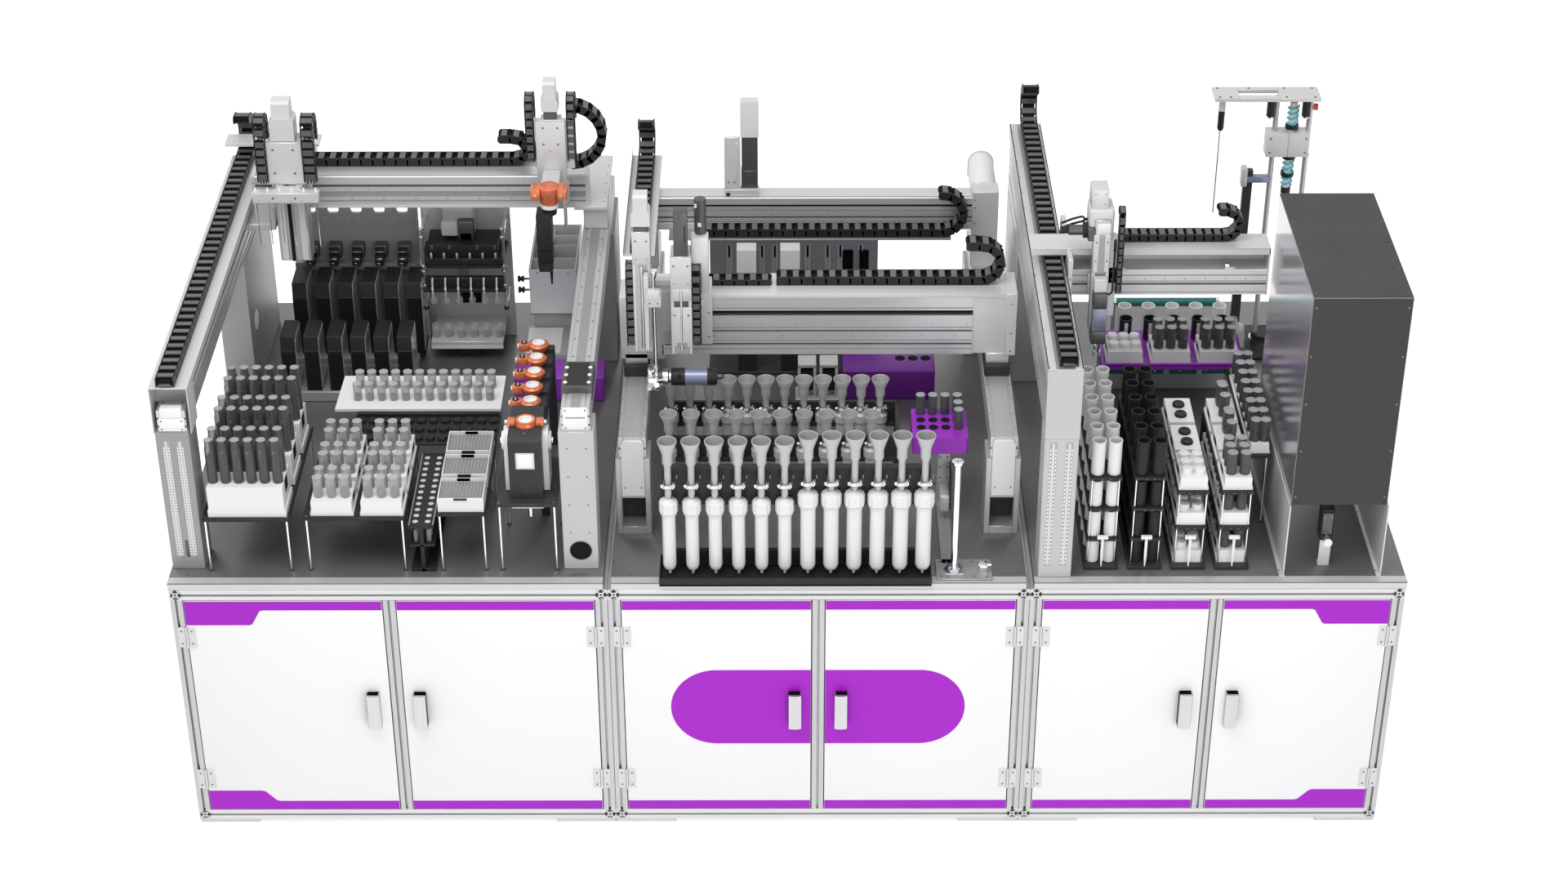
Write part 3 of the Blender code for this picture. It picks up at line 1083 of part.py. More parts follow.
def make_tower():
    y = 1.520
    post_x = (edge_d - 0.277, edge_d - 0.160)
    top = table + 1.0011
    parts = [block((edge_d - 0.420, edge_d - 0.100), (y - 0.120, y + 0.120), (bench, bench + 0.030)),
             block((edge_d - 0.500, edge_d - 0.135), (y - 0.050, y + 0.045), (top - 0.014, top)),
             block((post_x[0] - 0.028, post_x[1] + 0.004), (y - 0.030, y + 0.030), above(0.7661, 0.8561)),
             rod((edge_d - 0.466, y, table + 0.8561), top - table - 0.8661, 0.012, sides=8),
             rod((edge_d - 0.466, y, table + 0.5361), 0.330, 0.004, sides=6),
             block((edge_d - 0.370, edge_d - 0.338), (y - 0.016, y + 0.016), (bench, table + 0.7061)),
             block((edge_d - 0.372, post_x[0]), (y - 0.010, y + 0.010), above(0.6561, 0.6881)),
             rod((edge_d - 0.370, y - 0.065, bench + 0.026), 0.120, 0.048, sides=10, end_radius=0.042)]
    parts += [rod((px, y, bench + 0.010), top - bench - 0.012, 0.010, sides=6) for px in post_x]
    coil_x = edge_d - 0.218
    coil = [(0, bench + 0.020), (0.014, bench + 0.020)]
    for k in range(6):
        low = table + 0.6161 + 0.060 * k
        coil += [(0.014, low), (0.024, low + 0.030)]
    coil += [(0.014, top - 0.010), (0, top - 0.010)]
    parts.append(turned(coil, (coil_x, y, 0), 6))
    parts += [rod((spot, y - 0.034, top - 0.075), 0.062, 0.016, sides=6) for spot in post_x]
    node("condenser_tower", aluminium, parts)


def make_cover_box():
    x = (edge_d - 0.388, edge_d - 0.084)
    y = (0.050, 0.745)
    z = above(0.2611, 1.0061)
    sheet = 0.004
    foot_x = ((x[0] - 0.016, x[0] + 0.002), (x[1] - 0.010, x[1] + 0.004))
    parts = [block(x, y, z)]
    parts += [block(span, (0.032, 0.760), (bench, z[0] + 0.004)) for span in foot_x]
    hollow = [block((x[0] + sheet, x[1] - sheet), (y[0] + sheet, y[1] + 0.02), (z[0] - 0.1, z[1] - sheet))]
    node("cover_box", cover_paint, parts, hollow)


def make_small_valve():
    middle = edge_d - 0.253
    parts = [block((middle - 0.018, middle + 0.018), (0.096, 0.120), (bench, table + 0.0961)),
             block((middle - 0.022, middle + 0.020), (0.090, 0.150), above(0.0941, 0.2121)),
             rod((middle + 0.004, 0.060, table + 0.1081), 0.034, 0.014, "Y", 10)]
    node("small_valve", black_plastic, parts)


make_tray_station()
make_side_rack()
make_tower()
make_cover_box()
make_small_valve()
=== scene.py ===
import math

import bmesh
import bpy
from mathutils import Matrix, Vector


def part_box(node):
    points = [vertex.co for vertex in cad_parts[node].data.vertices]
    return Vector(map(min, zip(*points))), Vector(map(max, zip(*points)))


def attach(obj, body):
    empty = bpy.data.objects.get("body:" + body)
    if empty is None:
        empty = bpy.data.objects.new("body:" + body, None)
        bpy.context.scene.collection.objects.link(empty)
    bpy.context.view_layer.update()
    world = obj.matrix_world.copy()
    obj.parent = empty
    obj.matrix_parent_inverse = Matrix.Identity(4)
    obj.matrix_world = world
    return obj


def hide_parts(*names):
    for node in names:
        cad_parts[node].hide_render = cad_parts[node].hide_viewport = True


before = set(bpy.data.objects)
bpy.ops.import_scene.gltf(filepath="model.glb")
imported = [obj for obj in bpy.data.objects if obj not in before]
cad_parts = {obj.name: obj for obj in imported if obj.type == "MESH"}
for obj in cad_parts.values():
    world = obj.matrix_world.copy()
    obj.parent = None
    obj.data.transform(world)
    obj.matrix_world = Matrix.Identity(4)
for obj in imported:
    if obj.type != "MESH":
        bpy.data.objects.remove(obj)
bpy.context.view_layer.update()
print("Frame loaded with", len(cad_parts), "nodes")

# Camera, background and lamps
studio = {
    "eye": (-0.0175, -8.392, 6.1793), "pitch": 31.904, "yaw": 0.057, "roll": -0.047, "lens": 65.643,
    "ambient": 0.68, "key": 195, "fill": 84,
}

lens = bpy.data.cameras.new("studioCamera")
lens.lens = studio["lens"]
lens.sensor_width = 36
eye = bpy.data.objects.new("studioCamera", lens)
turn = Matrix.Rotation(math.radians(-studio["yaw"]), 4, "Z")
turn = turn @ Matrix.Rotation(math.radians(90 - studio["pitch"]), 4, "X")
turn = turn @ Matrix.Rotation(math.radians(studio["roll"]), 4, "Z")
eye.matrix_world = Matrix.Translation(studio["eye"]) @ turn
bpy.context.scene.collection.objects.link(eye)
bpy.context.scene.camera = eye
bpy.context.scene.view_settings.view_transform = "Standard"


def feed(tree, socket, value):
    # A socket gets a constant, or a link from another socket.
    if isinstance(value, bpy.types.NodeSocket):
        tree.links.new(value, socket)
    else:
        socket.default_value = value


def addNode(tree, kind, values=None, **settings):
    made = tree.nodes.new("ShaderNode" + kind)
    for setting, value in settings.items():
        setattr(made, setting, value)
    for socket, value in (values or {}).items():
        feed(tree, made.inputs[socket], value)
    return made


def mathNode(tree, operation, first, second):
    return addNode(tree, "Math", {0: first, 1: second}, operation=operation).outputs[0]


def whiteForView(tree):
    # The background shows plain white to the camera, to mirrors and through glass.
    path = addNode(tree, "LightPath").outputs
    seen = mathNode(tree, "MAXIMUM", path["Is Camera Ray"], path["Is Glossy Ray"])
    return mathNode(tree, "MAXIMUM", seen, path["Is Transmission Ray"])


world = bpy.data.worlds.new("studioWorld")
bpy.context.scene.world = world
world.use_nodes = True
skyTree = world.node_tree
sky = skyTree.nodes["Background"]
sky.inputs["Color"].default_value = (1, 1, 1, 1)
strength = addNode(skyTree, "MapRange",
                   {"Value": whiteForView(skyTree), "To Min": studio["ambient"], "To Max": 1.0})
feed(skyTree, sky.inputs["Strength"], strength.outputs["Result"])


def makeLamp(name, place, aim, size, power):
    light = bpy.data.lights.new(name, "AREA")
    light.shape = "RECTANGLE"
    light.size, light.size_y = size
    light.energy = power
    lamp = bpy.data.objects.new(name, light)
    way = Vector(aim) - Vector(place)
    lamp.matrix_world = Matrix.Translation(place) @ way.to_track_quat("-Z", "Y").to_matrix().to_4x4()
    bpy.context.scene.collection.objects.link(lamp)


makeLamp("keyLamp", (-1.5, -2.5, 6.5), (0, 0, 1.0), (4.0, 3.0), studio["key"])
makeLamp("fillLamp", (2.5, -6.5, 2.5), (0, 0, 0.9), (4.0, 2.0), studio["fill"])


# Shader groups: what more than one finish uses
def makeGroup(name, inputs, outputs):
    group = bpy.data.node_groups.new(name, "ShaderNodeTree")
    for label, kind, value in inputs:
        socket = group.interface.new_socket(label, in_out="INPUT", socket_type="NodeSocket" + kind)
        socket.default_value = value
    for label, kind in outputs:
        group.interface.new_socket(label, in_out="OUTPUT", socket_type="NodeSocket" + kind)
    return group, group.nodes.new("NodeGroupInput").outputs, group.nodes.new("NodeGroupOutput").inputs


def centred(tree, noise, amount):
    # Noise taken from its middle value, times an amount
    return mathNode(tree, "MULTIPLY", mathNode(tree, "SUBTRACT", noise, 0.5), amount)


def blendOver(tree, given, result, mask, second):
    # The colour gives way to a second one where the mask is high.
    blend = addNode(tree, "Mix", {"Factor": mask, "A": given["Colour"], "B": given[second]},
                    data_type="RGBA")
    feed(tree, result["Colour"], blend.outputs["Result"])
    feed(tree, result["Mask"], mask)


# Directional grain: fine streaks along a part plus slow drift of tone
grain, given, result = makeGroup(
    "surfaceGrain",
    [("Colour", "Color", (0.5, 0.5, 0.5, 1)), ("Stretch", "Vector", (40, 40, 40)), ("Streak", "Float", 0.1),
     ("Drift", "Float", 0.08), ("Roughness", "Float", 0.4), ("Roughness Spread", "Float", 0.1)],
    [("Colour", "Color"), ("Roughness", "Float"), ("Height", "Float")])
spot = addNode(grain, "TexCoord").outputs["Object"]
stretched = addNode(grain, "VectorMath", {0: spot, 1: given["Stretch"]}, operation="MULTIPLY").outputs[0]
streaks = addNode(grain, "TexNoise", {"Scale": 1.0, "Detail": 4.0, "Vector": stretched}).outputs["Fac"]
slow = addNode(grain, "TexNoise", {"Scale": 2.3, "Detail": 2.0, "Vector": spot}).outputs["Fac"]
tone = mathNode(grain, "ADD", centred(grain, streaks, given["Streak"]), centred(grain, slow, given["Drift"]))
tone = mathNode(grain, "ADD", tone, 1.0)
tinted = addNode(grain, "VectorMath", {0: given["Colour"], "Scale": tone}, operation="SCALE").outputs[0]
roughness = mathNode(grain, "ADD", given["Roughness"], centred(grain, streaks, given["Roughness Spread"]))
for label, value in (("Colour", tinted), ("Roughness", roughness), ("Height", streaks)):
    feed(grain, result[label], value)

# Worn and highlit edges: sharp corners a little lighter, partly wear where they are handled and partly a painted
# highlight along the edges
wearAndHighlight, given, result = makeGroup(
    "edgeWearAndHighlight",
    [("Colour", "Color", (0.5, 0.5, 0.5, 1)), ("Edge Colour", "Color", (0.8, 0.8, 0.8, 1)),
     ("Amount", "Float", 0.3), ("Breakup", "Float", 30.0)],
    [("Colour", "Color"), ("Mask", "Float")])
corner = addNode(wearAndHighlight, "NewGeometry").outputs["Pointiness"]
corner = addNode(wearAndHighlight, "MapRange", {"Value": corner, "From Min": 0.52, "From Max": 0.62}).outputs["Result"]
spot = addNode(wearAndHighlight, "TexCoord").outputs["Object"]
patches = addNode(wearAndHighlight, "TexNoise", {"Vector": spot, "Scale": given["Breakup"]}).outputs["Fac"]
wornAndLitEdge = mathNode(wearAndHighlight, "MULTIPLY", mathNode(wearAndHighlight, "MULTIPLY", corner, patches), given["Amount"])
blendOver(wearAndHighlight, given, result, wornAndLitEdge, "Edge Colour")

# Fine dust that settles on what faces up
dust, given, result = makeGroup(
    "topDust",
    [("Colour", "Color", (0.5, 0.5, 0.5, 1)), ("Dust Colour", "Color", (0.6, 0.6, 0.6, 1)),
     ("Amount", "Float", 0.1)],
    [("Colour", "Color"), ("Mask", "Float")])
split = addNode(dust, "SeparateXYZ", {0: addNode(dust, "NewGeometry").outputs["Normal"]})
upward = mathNode(dust, "MAXIMUM", split.outputs["Z"], 0.0)
spot = addNode(dust, "TexCoord").outputs["Object"]
clouds = addNode(dust, "TexNoise", {"Scale": 9.0, "Detail": 5.0, "Vector": spot}).outputs["Fac"]
settled = mathNode(dust, "MULTIPLY", mathNode(dust, "MULTIPLY", upward, clouds), given["Amount"])
blendOver(dust, given, result, settled, "Dust Colour")

alongX, alongY, alongZ, allWays = (2.5, 180, 180), (180, 2.5, 180), (180, 180, 2.5), (260, 260, 260)
# Where a finish gives wear and an edge colour, its sharp corners are lighter: partly wear, partly painted edge
# highlight
finishValues = {
    "aluminiumX": {"colour": (0.60, 0.60, 0.605), "rough": 0.36, "metal": 0.55, "stretch": alongX,
                   "streak": 0.22},
    "aluminiumY": {"colour": (0.55, 0.55, 0.555), "rough": 0.38, "metal": 0.55, "stretch": alongY,
                   "streak": 0.22},
    "aluminiumZ": {"colour": (0.47, 0.47, 0.475), "rough": 0.38, "metal": 0.6, "stretch": alongZ,
                   "streak": 0.22},
    "paleSheet": {"colour": (0.62, 0.62, 0.625), "rough": 0.42, "metal": 0.25, "stretch": alongZ,
                  "streak": 0.05},
    # Two copies of the leg sheet: a darker one as painted shade for the leg under the cover, a lighter one as
    # painted light for the lit legs
    "legShaded": {"colour": (0.30, 0.30, 0.303), "rough": 0.45, "metal": 0.15, "stretch": alongZ,
                "streak": 0.06, "drift": 0.15},
    "legLit": {"colour": (0.48, 0.48, 0.485), "rough": 0.42, "metal": 0.15, "stretch": alongZ,
                "streak": 0.06, "drift": 0.12},
    "greySheet": {"colour": (0.34, 0.34, 0.345), "rough": 0.45, "metal": 0.45, "stretch": alongZ,
                  "streak": 0.10},
    "tableSteel": {"colour": (0.165, 0.165, 0.168), "rough": 0.36, "metal": 0.55, "stretch": alongX,
                   "streak": 0.30,
                   "drift": 0.35, "dust": 0.10},
    # paler copy of the table steel for the front: painted light
    "tableEdgeLit": {"colour": (0.56, 0.56, 0.565), "rough": 0.40, "metal": 0.3, "stretch": alongX,
                  "streak": 0.10},
    "whitePaint": {"colour": (0.86, 0.86, 0.865), "rough": 0.42, "streak": 0.012, "drift": 0.02,
                   "bump": 0.02},
    "whitePlastic": {"colour": (0.80, 0.80, 0.80), "rough": 0.40, "streak": 0.03, "bump": 0.04},
    "offWhite": {"colour": (0.62, 0.62, 0.61), "rough": 0.45, "streak": 0.04, "bump": 0.04},
    "blackPlastic": {"shine": 0.18, "colour": (0.018, 0.018, 0.018), "rough": 0.40, "streak": 0.20,
                     "bump": 0.06, "wearAndHighlight": 0.12, "edge": (0.10, 0.10, 0.10)},
    "chainFrame": {"shine": 0.2, "colour": (0.075, 0.075, 0.076), "rough": 0.50, "streak": 0.20, "bump": 0.06,
                   "wearAndHighlight": 0.3, "edge": (0.2, 0.2, 0.2), "dust": 0.15},
    "darkPlate": {"shine": 0.2, "colour": (0.022, 0.022, 0.023), "rough": 0.42, "stretch": alongX,
                  "streak": 0.25, "wearAndHighlight": 0.2,
                  "edge": (0.12, 0.12, 0.12), "dust": 0.02},
    "darkMetal": {"colour": (0.10, 0.10, 0.10), "rough": 0.40, "metal": 0.6, "stretch": alongZ,
                  "streak": 0.2},
    "coverPaint": {"shine": 0.3, "colour": (0.034, 0.034, 0.035), "rough": 0.50, "streak": 0.10,
                   "drift": 0.10,
                   "bump": 0.06, "dust": 0.04},
    # pale mirror finish on the cover box's seen wall: painted reflection
    "coverSideReflection": {"colour": (0.62, 0.60, 0.64), "rough": 0.20, "metal": 0.85, "stretch": alongZ,
                  "streak": 0.10},
    "chrome": {"colour": (0.78, 0.78, 0.79), "rough": 0.14, "metal": 1.0, "stretch": alongZ, "streak": 0.08},
    "handleSteel": {"colour": (0.50, 0.50, 0.51), "rough": 0.24, "metal": 0.9, "stretch": alongZ,
                    "streak": 0.20},
    "screwSteel": {"colour": (0.20, 0.20, 0.20), "rough": 0.35, "metal": 0.8, "streak": 0.2},
    "slotShade": {"shine": 0.05, "colour": (0.012, 0.012, 0.012), "rough": 0.7, "streak": 0.2},
    "purpleDoor": {"shine": 0.25, "colour": (0.375, 0.014, 0.55), "rough": 0.42, "streak": 0.02,
                   "drift": 0.03},
    "purplePaint": {"colour": (0.25, 0.030, 0.42), "rough": 0.36, "streak": 0.08, "bump": 0.05,
                    "wearAndHighlight": 0.2, "edge": (0.5, 0.2, 0.7)},
    "orange": {"colour": (0.72, 0.18, 0.075), "rough": 0.32, "metal": 0.35, "streak": 0.10,
               "wearAndHighlight": 0.3, "edge": (0.9, 0.5, 0.35)},
    "blueGrey": {"colour": (0.22, 0.24, 0.34), "rough": 0.28, "metal": 0.4, "stretch": alongX,
                 "streak": 0.10},
    "teal": {"colour": (0.02, 0.17, 0.14), "rough": 0.30, "metal": 0.2, "stretch": alongX, "streak": 0.15},
    "cyanGlass": {"colour": (0.04, 0.45, 0.55), "rough": 0.10, "streak": 0.15, "coat": 0.5},
    "redPlastic": {"colour": (0.75, 0.02, 0.02), "rough": 0.35, "streak": 0.06},
    "liquid": {"shine": 0.35, "colour": (0.040, 0.040, 0.042), "rough": 0.20, "streak": 0.15, "coat": 0.4},
    "frosted": {"colour": (0.50, 0.50, 0.50), "rough": 0.38, "streak": 0.05, "drift": 0.06,
                "coat": 0.15},
    "columnWhite": {"colour": (0.76, 0.76, 0.755), "rough": 0.34, "streak": 0.03, "drift": 0.05,
                    "bump": 0.03, "coat": 0.15},
    # darker lining inside the funnels: painted shade
    "funnelInsideShade": {"colour": (0.30, 0.30, 0.30), "rough": 0.45, "streak": 0.05, "drift": 0.1},
    "brass": {"colour": (0.70, 0.58, 0.32), "rough": 0.30, "metal": 0.7, "streak": 0.10},
    "purpleRack": {"shine": 0.35, "colour": (0.29, 0.028, 0.46), "rough": 0.34, "streak": 0.06, "bump": 0.04},
    # deep purple: the purple block's own colour, and painted shade on the walls of the rack's holes
    "purpleDeepAndHoleShade": {"shine": 0.35, "colour": (0.14, 0.014, 0.25), "rough": 0.34, "streak": 0.10, "bump": 0.04},
    "panelGrey": {"colour": (0.30, 0.30, 0.304), "rough": 0.45, "metal": 0.3, "stretch": alongX,
                  "streak": 0.15,
                  "drift": 0.2},
    "plateGrey": {"colour": (0.50, 0.50, 0.505), "rough": 0.40, "metal": 0.25, "stretch": alongZ,
                  "streak": 0.10,
                  "drift": 0.15},
    "cassette": {"shine": 0.2, "colour": (0.010, 0.010, 0.0105), "rough": 0.40, "streak": 0.20, "bump": 0.03},
    # near white sheet on the cassettes' seen side: painted highlight
    "cassetteSideHighlight": {"colour": (0.92, 0.92, 0.925), "rough": 0.14, "metal": 0.6, "stretch": alongZ,
                     "streak": 0.35,
                     "drift": 0.3},
}


def makeFinish(name, values):
    material = bpy.data.materials.new(name)
    material.use_nodes = True
    tree = material.node_tree
    field = addNode(tree, "Group", {
        "Colour": (*values["colour"], 1), "Stretch": values.get("stretch", allWays),
        "Streak": values["streak"], "Drift": values.get("drift", 0.08), "Roughness": values["rough"],
    }, node_tree=grain).outputs
    colour = field["Colour"]
    # Lighter sharp corners: partly wear, partly painted edge highlight
    if "wearAndHighlight" in values:
        colour = addNode(tree, "Group", {"Colour": colour, "Edge Colour": (*values["edge"], 1),
                                         "Amount": values["wearAndHighlight"]}, node_tree=wearAndHighlight).outputs["Colour"]
    if "dust" in values:
        colour = addNode(tree, "Group", {"Colour": colour, "Amount": values["dust"]},
                         node_tree=dust).outputs["Colour"]
    bump = addNode(tree, "Bump", {"Strength": values.get("bump", 0.03), "Distance": 0.001,
                                  "Height": field["Height"]})
    for label, value in (("Base Color", colour), ("Roughness", field["Roughness"]),
                         ("Normal", bump.outputs["Normal"]), ("Metallic", values.get("metal", 0.0)),
                         ("Coat Weight", values.get("coat", 0.0)),
                         ("Specular IOR Level", values.get("shine", 0.5))):
        feed(tree, tree.nodes["Principled BSDF"].inputs[label], value)
    return material


finishes = {name: makeFinish(name, values) for name, values in finishValues.items()}


def makeClear(name, colour, thin, rim):
    # Clear ware: see-through where it is looked at squarely, closer to solid at its rims.
    material = makeFinish(name, {"colour": colour, "rough": 0.12, "streak": 0.10, "bump": 0.01})
    tree = material.node_tree
    edge = addNode(tree, "LayerWeight", {"Blend": 0.35}).outputs["Facing"]
    opacity = addNode(tree, "MapRange", {"Value": edge, "To Min": thin, "To Max": rim}).outputs["Result"]
    feed(tree, tree.nodes["Principled BSDF"].inputs["Alpha"], opacity)
    return material


finishes["clearGrey"] = makeClear("clearGrey", (0.12, 0.12, 0.125), 0.28, 0.92)
finishes["clearPale"] = makeClear("clearPale", (0.55, 0.56, 0.57), 0.25, 0.80)
print("Finishes made:", len(finishes))


def arc(centre, radius, start, end, steps):
    # Points on an arc, angles in degrees
    angles = [math.radians(start + (end - start) * i / steps) for i in range(steps + 1)]
    return [(centre[0] + radius * math.cos(a), centre[1] + radius * math.sin(a)) for a in angles]


swept = 0.0002        # how proud a screw head is where a moving plate passes close by


def spread(first, pitch, count):
    # Evenly spaced places along a line
    return [first + pitch * i for i in range(count)]


class Shape:
    # A piece while it is being built: one bmesh and the finishes on its faces.
    def __init__(self, name):
        self.name = name
        self.bm = bmesh.new()
        self.used = []

    def number(self, finish):
        if finish not in self.used:
            self.used.append(finish)
        return self.used.index(finish)

    def paint(self, faces, finish):
        number = self.number(finish)
        for face in faces:
            face.material_index = number

    def box(self, low, high, finish, bevel=0.0, segments=1):
        low, high = Vector(low), Vector(high)
        place = Matrix.Translation((low + high) / 2) @ Matrix.Diagonal((*(high - low), 1))
        corners = bmesh.ops.create_cube(self.bm, size=1, matrix=place)["verts"]
        self.paint([face for corner in corners for face in corner.link_faces], finish)
        if bevel:
            edges = list(dict.fromkeys(edge for corner in corners for edge in corner.link_edges))
            bmesh.ops.bevel(self.bm, geom=edges, offset=bevel, segments=segments, profile=0.5,
                            affect="EDGES", material=-1)

    def walls(self, x, y, z, thick, finish, bevel, lap=0.0005):
        # Four upright walls round a rectangle; the side walls lap the front and rear ones.
        sides = (y[0] + thick - lap, y[1] - thick + lap)
        for across, along in ((x, (y[0], y[0] + thick)), (x, (y[1] - thick, y[1])),
                              ((x[0], x[0] + thick), sides), ((x[1] - thick, x[1]), sides)):
            self.box((across[0], along[0], z[0]), (across[1], along[1], z[1]), finish, bevel)

    def rod(self, start, end, radius, finish, sides=16, endRadius=None):
        start, end = Vector(start), Vector(end)
        way = end - start
        place = Matrix.Translation((start + end) / 2) @ way.to_track_quat("Z", "Y").to_matrix().to_4x4()
        made = bmesh.ops.create_cone(self.bm, cap_ends=True, segments=sides, radius1=radius,
                                     radius2=radius if endRadius is None else endRadius,
                                     depth=way.length, matrix=place)["verts"]
        self.paint([face for corner in made for face in corner.link_faces], finish)

    def take(self, part, finish=None):
        # Takes a small finished bmesh into the piece.
        if finish is not None:
            bmesh.ops.recalc_face_normals(part, faces=part.faces)
            number = self.number(finish)
            for face in part.faces:
                face.material_index = number
        holder = bpy.data.meshes.new("holder")
        part.to_mesh(holder)
        part.free()
        self.bm.from_mesh(holder)
        bpy.data.meshes.remove(holder)

    def turned(self, profile, foot, finish, sides=24, axis="Z"):
        # A closed piece turned from (radius, height) points that begin and end on the axis.
        part = bmesh.new()
        points = [part.verts.new((radius, 0, height)) for radius, height in profile]
        edges = [part.edges.new(pair) for pair in zip(points, points[1:])]
        bmesh.ops.spin(part, geom=points + edges, cent=(0, 0, 0), axis=(0, 0, 1), angle=2 * math.pi,
                       steps=sides, use_merge=True)
        bmesh.ops.remove_doubles(part, verts=part.verts, dist=1e-6)
        side = {"X": Matrix.Rotation(math.pi / 2, 4, "Y"), "Y": Matrix.Rotation(-math.pi / 2, 4, "X"),
                "Z": Matrix.Identity(4)}[axis]
        bmesh.ops.transform(part, matrix=Matrix.Translation(foot) @ side, verts=part.verts)
        self.take(part, finish)

    def prism(self, outline, span, axis, finish):
        # An outline pushed along an axis: (y, z) along X, (x, z) along Y, (x, y) along Z.
        part = bmesh.new()
        start = span[0]
        corner = {"X": lambda p: (start, *p), "Y": lambda p: (p[0], start, p[1]),
                  "Z": lambda p: (*p, start)}[axis]
        face = part.faces.new([part.verts.new(corner(point)) for point in outline])
        grown = bmesh.ops.extrude_face_region(part, geom=[face])["geom"]
        moved = [item for item in grown if isinstance(item, bmesh.types.BMVert)]
        way = {"X": (1, 0, 0), "Y": (0, 1, 0), "Z": (0, 0, 1)}[axis]
        bmesh.ops.translate(part, verts=moved, vec=Vector(way) * (span[1] - start))
        self.take(part, finish)

    def tube(self, points, radius, finish, sides=10):
        # A bent bar or hose through a few points: rings joined from one point to the next.
        points = [Vector(point) for point in points]
        part = bmesh.new()
        loops = []
        for i, point in enumerate(points):
            before, after = points[max(i - 1, 0)], points[min(i + 1, len(points) - 1)]
            place = Matrix.Translation(point) @ (after - before).to_track_quat("Z", "Y").to_matrix().to_4x4()
            ring = bmesh.ops.create_circle(part, segments=sides, radius=radius, matrix=place,
                                           cap_ends=i in (0, len(points) - 1))["verts"]
            loops.append(list(dict.fromkeys(edge for corner in ring for edge in corner.link_edges)))
        for first, second in zip(loops, loops[1:]):
            bmesh.ops.bridge_loops(part, edges=first + second)
        self.take(part, finish)

    def stamp(self, pattern, place, turnZ=0.0):
        self.stampAt(pattern, Matrix.Translation(place) @ Matrix.Rotation(turnZ, 4, "Z"))

    def stampAt(self, pattern, matrix):
        # Another copy of a pattern piece, set down at a place.
        part = bmesh.new()
        part.from_mesh(pattern.mesh)
        bmesh.ops.transform(part, matrix=matrix, verts=part.verts)
        numbers = [self.number(finish) for finish in pattern.used]
        for face in part.faces:
            face.material_index = numbers[face.material_index]
        self.take(part)

    def screws(self, places, radius, axis="Y", finish="screwSteel", proud=0.0008):
        # Socket screw heads, just proud of their face, and less so (swept) where a moving plate passes.
        for x, y, z in places:
            end = {"X": (x + proud, y, z), "-X": (x - proud, y, z), "Y": (x, y - proud, z),
                   "Z": (x, y, z + proud)}[axis]
            self.rod((x, y, z), end, radius, finish, 10)

    def pattern(self):
        # Kept aside to be stamped into other pieces.
        self.mesh = bpy.data.meshes.new(self.name)
        self.bm.to_mesh(self.mesh)
        self.bm.free()
        return self

    def done(self, body, slotName, *nodes, sharp=38):
        mesh = bpy.data.meshes.new(self.name)
        self.bm.to_mesh(mesh)
        self.bm.free()
        mesh.shade_smooth()
        mesh.set_sharp_from_angle(angle=math.radians(sharp))
        for finish in self.used:
            mesh.materials.append(finishes[finish])
        piece = bpy.data.objects.new(self.name, mesh)
        bpy.context.scene.collection.objects.link(piece)
        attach(piece, body)
        if nodes:
            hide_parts(*nodes)
        return piece


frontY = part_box("top_left")[0].y          # cabinet fronts
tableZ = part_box("top_left")[1].z          # table tops
benchZ = tableZ + 0.0003                  # where a piece stands: a hair above the table
edges = [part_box("frame_" + word)[0].x for word in ("left", "middle", "right")] + [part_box("frame_right")[1].x]


def back(depth):
    # The place of something that lies a given depth behind the cabinet fronts.
    return frontY + depth


# Base finish for every node of the frame; most are then replaced by a detailed piece
nodeFinish = {"top": "tableSteel", "lining": "whitePaint", "door": "whitePaint", "frame": "aluminiumX",
              "chain": "chainFrame", "rail": "aluminiumY", "bridge": "aluminiumX"}
for name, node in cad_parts.items():
    finish = nodeFinish.get(name.split("_")[0], "paleSheet")
    if node.material_slots:
        node.material_slots[0].material = finishes[finish]
    else:
        node.data.materials.append(finishes[finish])

# Floor: pale and plain, white to the camera away from the object's own shadow
stageValues = {"half": 40.0, "glow": 0.55}
floorMesh = bmesh.new()
bmesh.ops.create_grid(floorMesh, x_segments=8, y_segments=8, size=stageValues["half"])
floorData = bpy.data.meshes.new("studioFloor")
floorMesh.to_mesh(floorData)
floorMesh.free()
floor = bpy.data.objects.new("studioFloor", floorData)
bpy.context.scene.collection.objects.link(floor)
floorFinish = makeFinish("floorWhite", {"colour": (0.9, 0.9, 0.9), "rough": 0.9, "streak": 0.01})
floorTree = floorFinish.node_tree
floorShader = floorTree.nodes["Principled BSDF"]
floorShader.inputs["Emission Color"].default_value = (1, 1, 1, 1)
glow = mathNode(floorTree, "MULTIPLY", whiteForView(floorTree), stageValues["glow"])
feed(floorTree, floorShader.inputs["Emission Strength"], glow)
floorData.materials.append(floorFinish)

# Cabinets: slotted profiles with their ends to the front
cabinet = {"profile": 0.040, "opening": 0.0041, "undercut": 0.009, "depth": 0.0125, "lip": 0.004,
           "corner": 0.0015,
           "bore": 0.0034, "foot": (0.200, 0.080, 0.022), "hinge": (0.028, 0.078, 0.003),
           "hingeZ": (0.195, 0.775),
           "leafGap": 0.005, "knuckle": (0.0042, 0.0038), "leafScrews": (0.017, 0.024, 0.0036)}


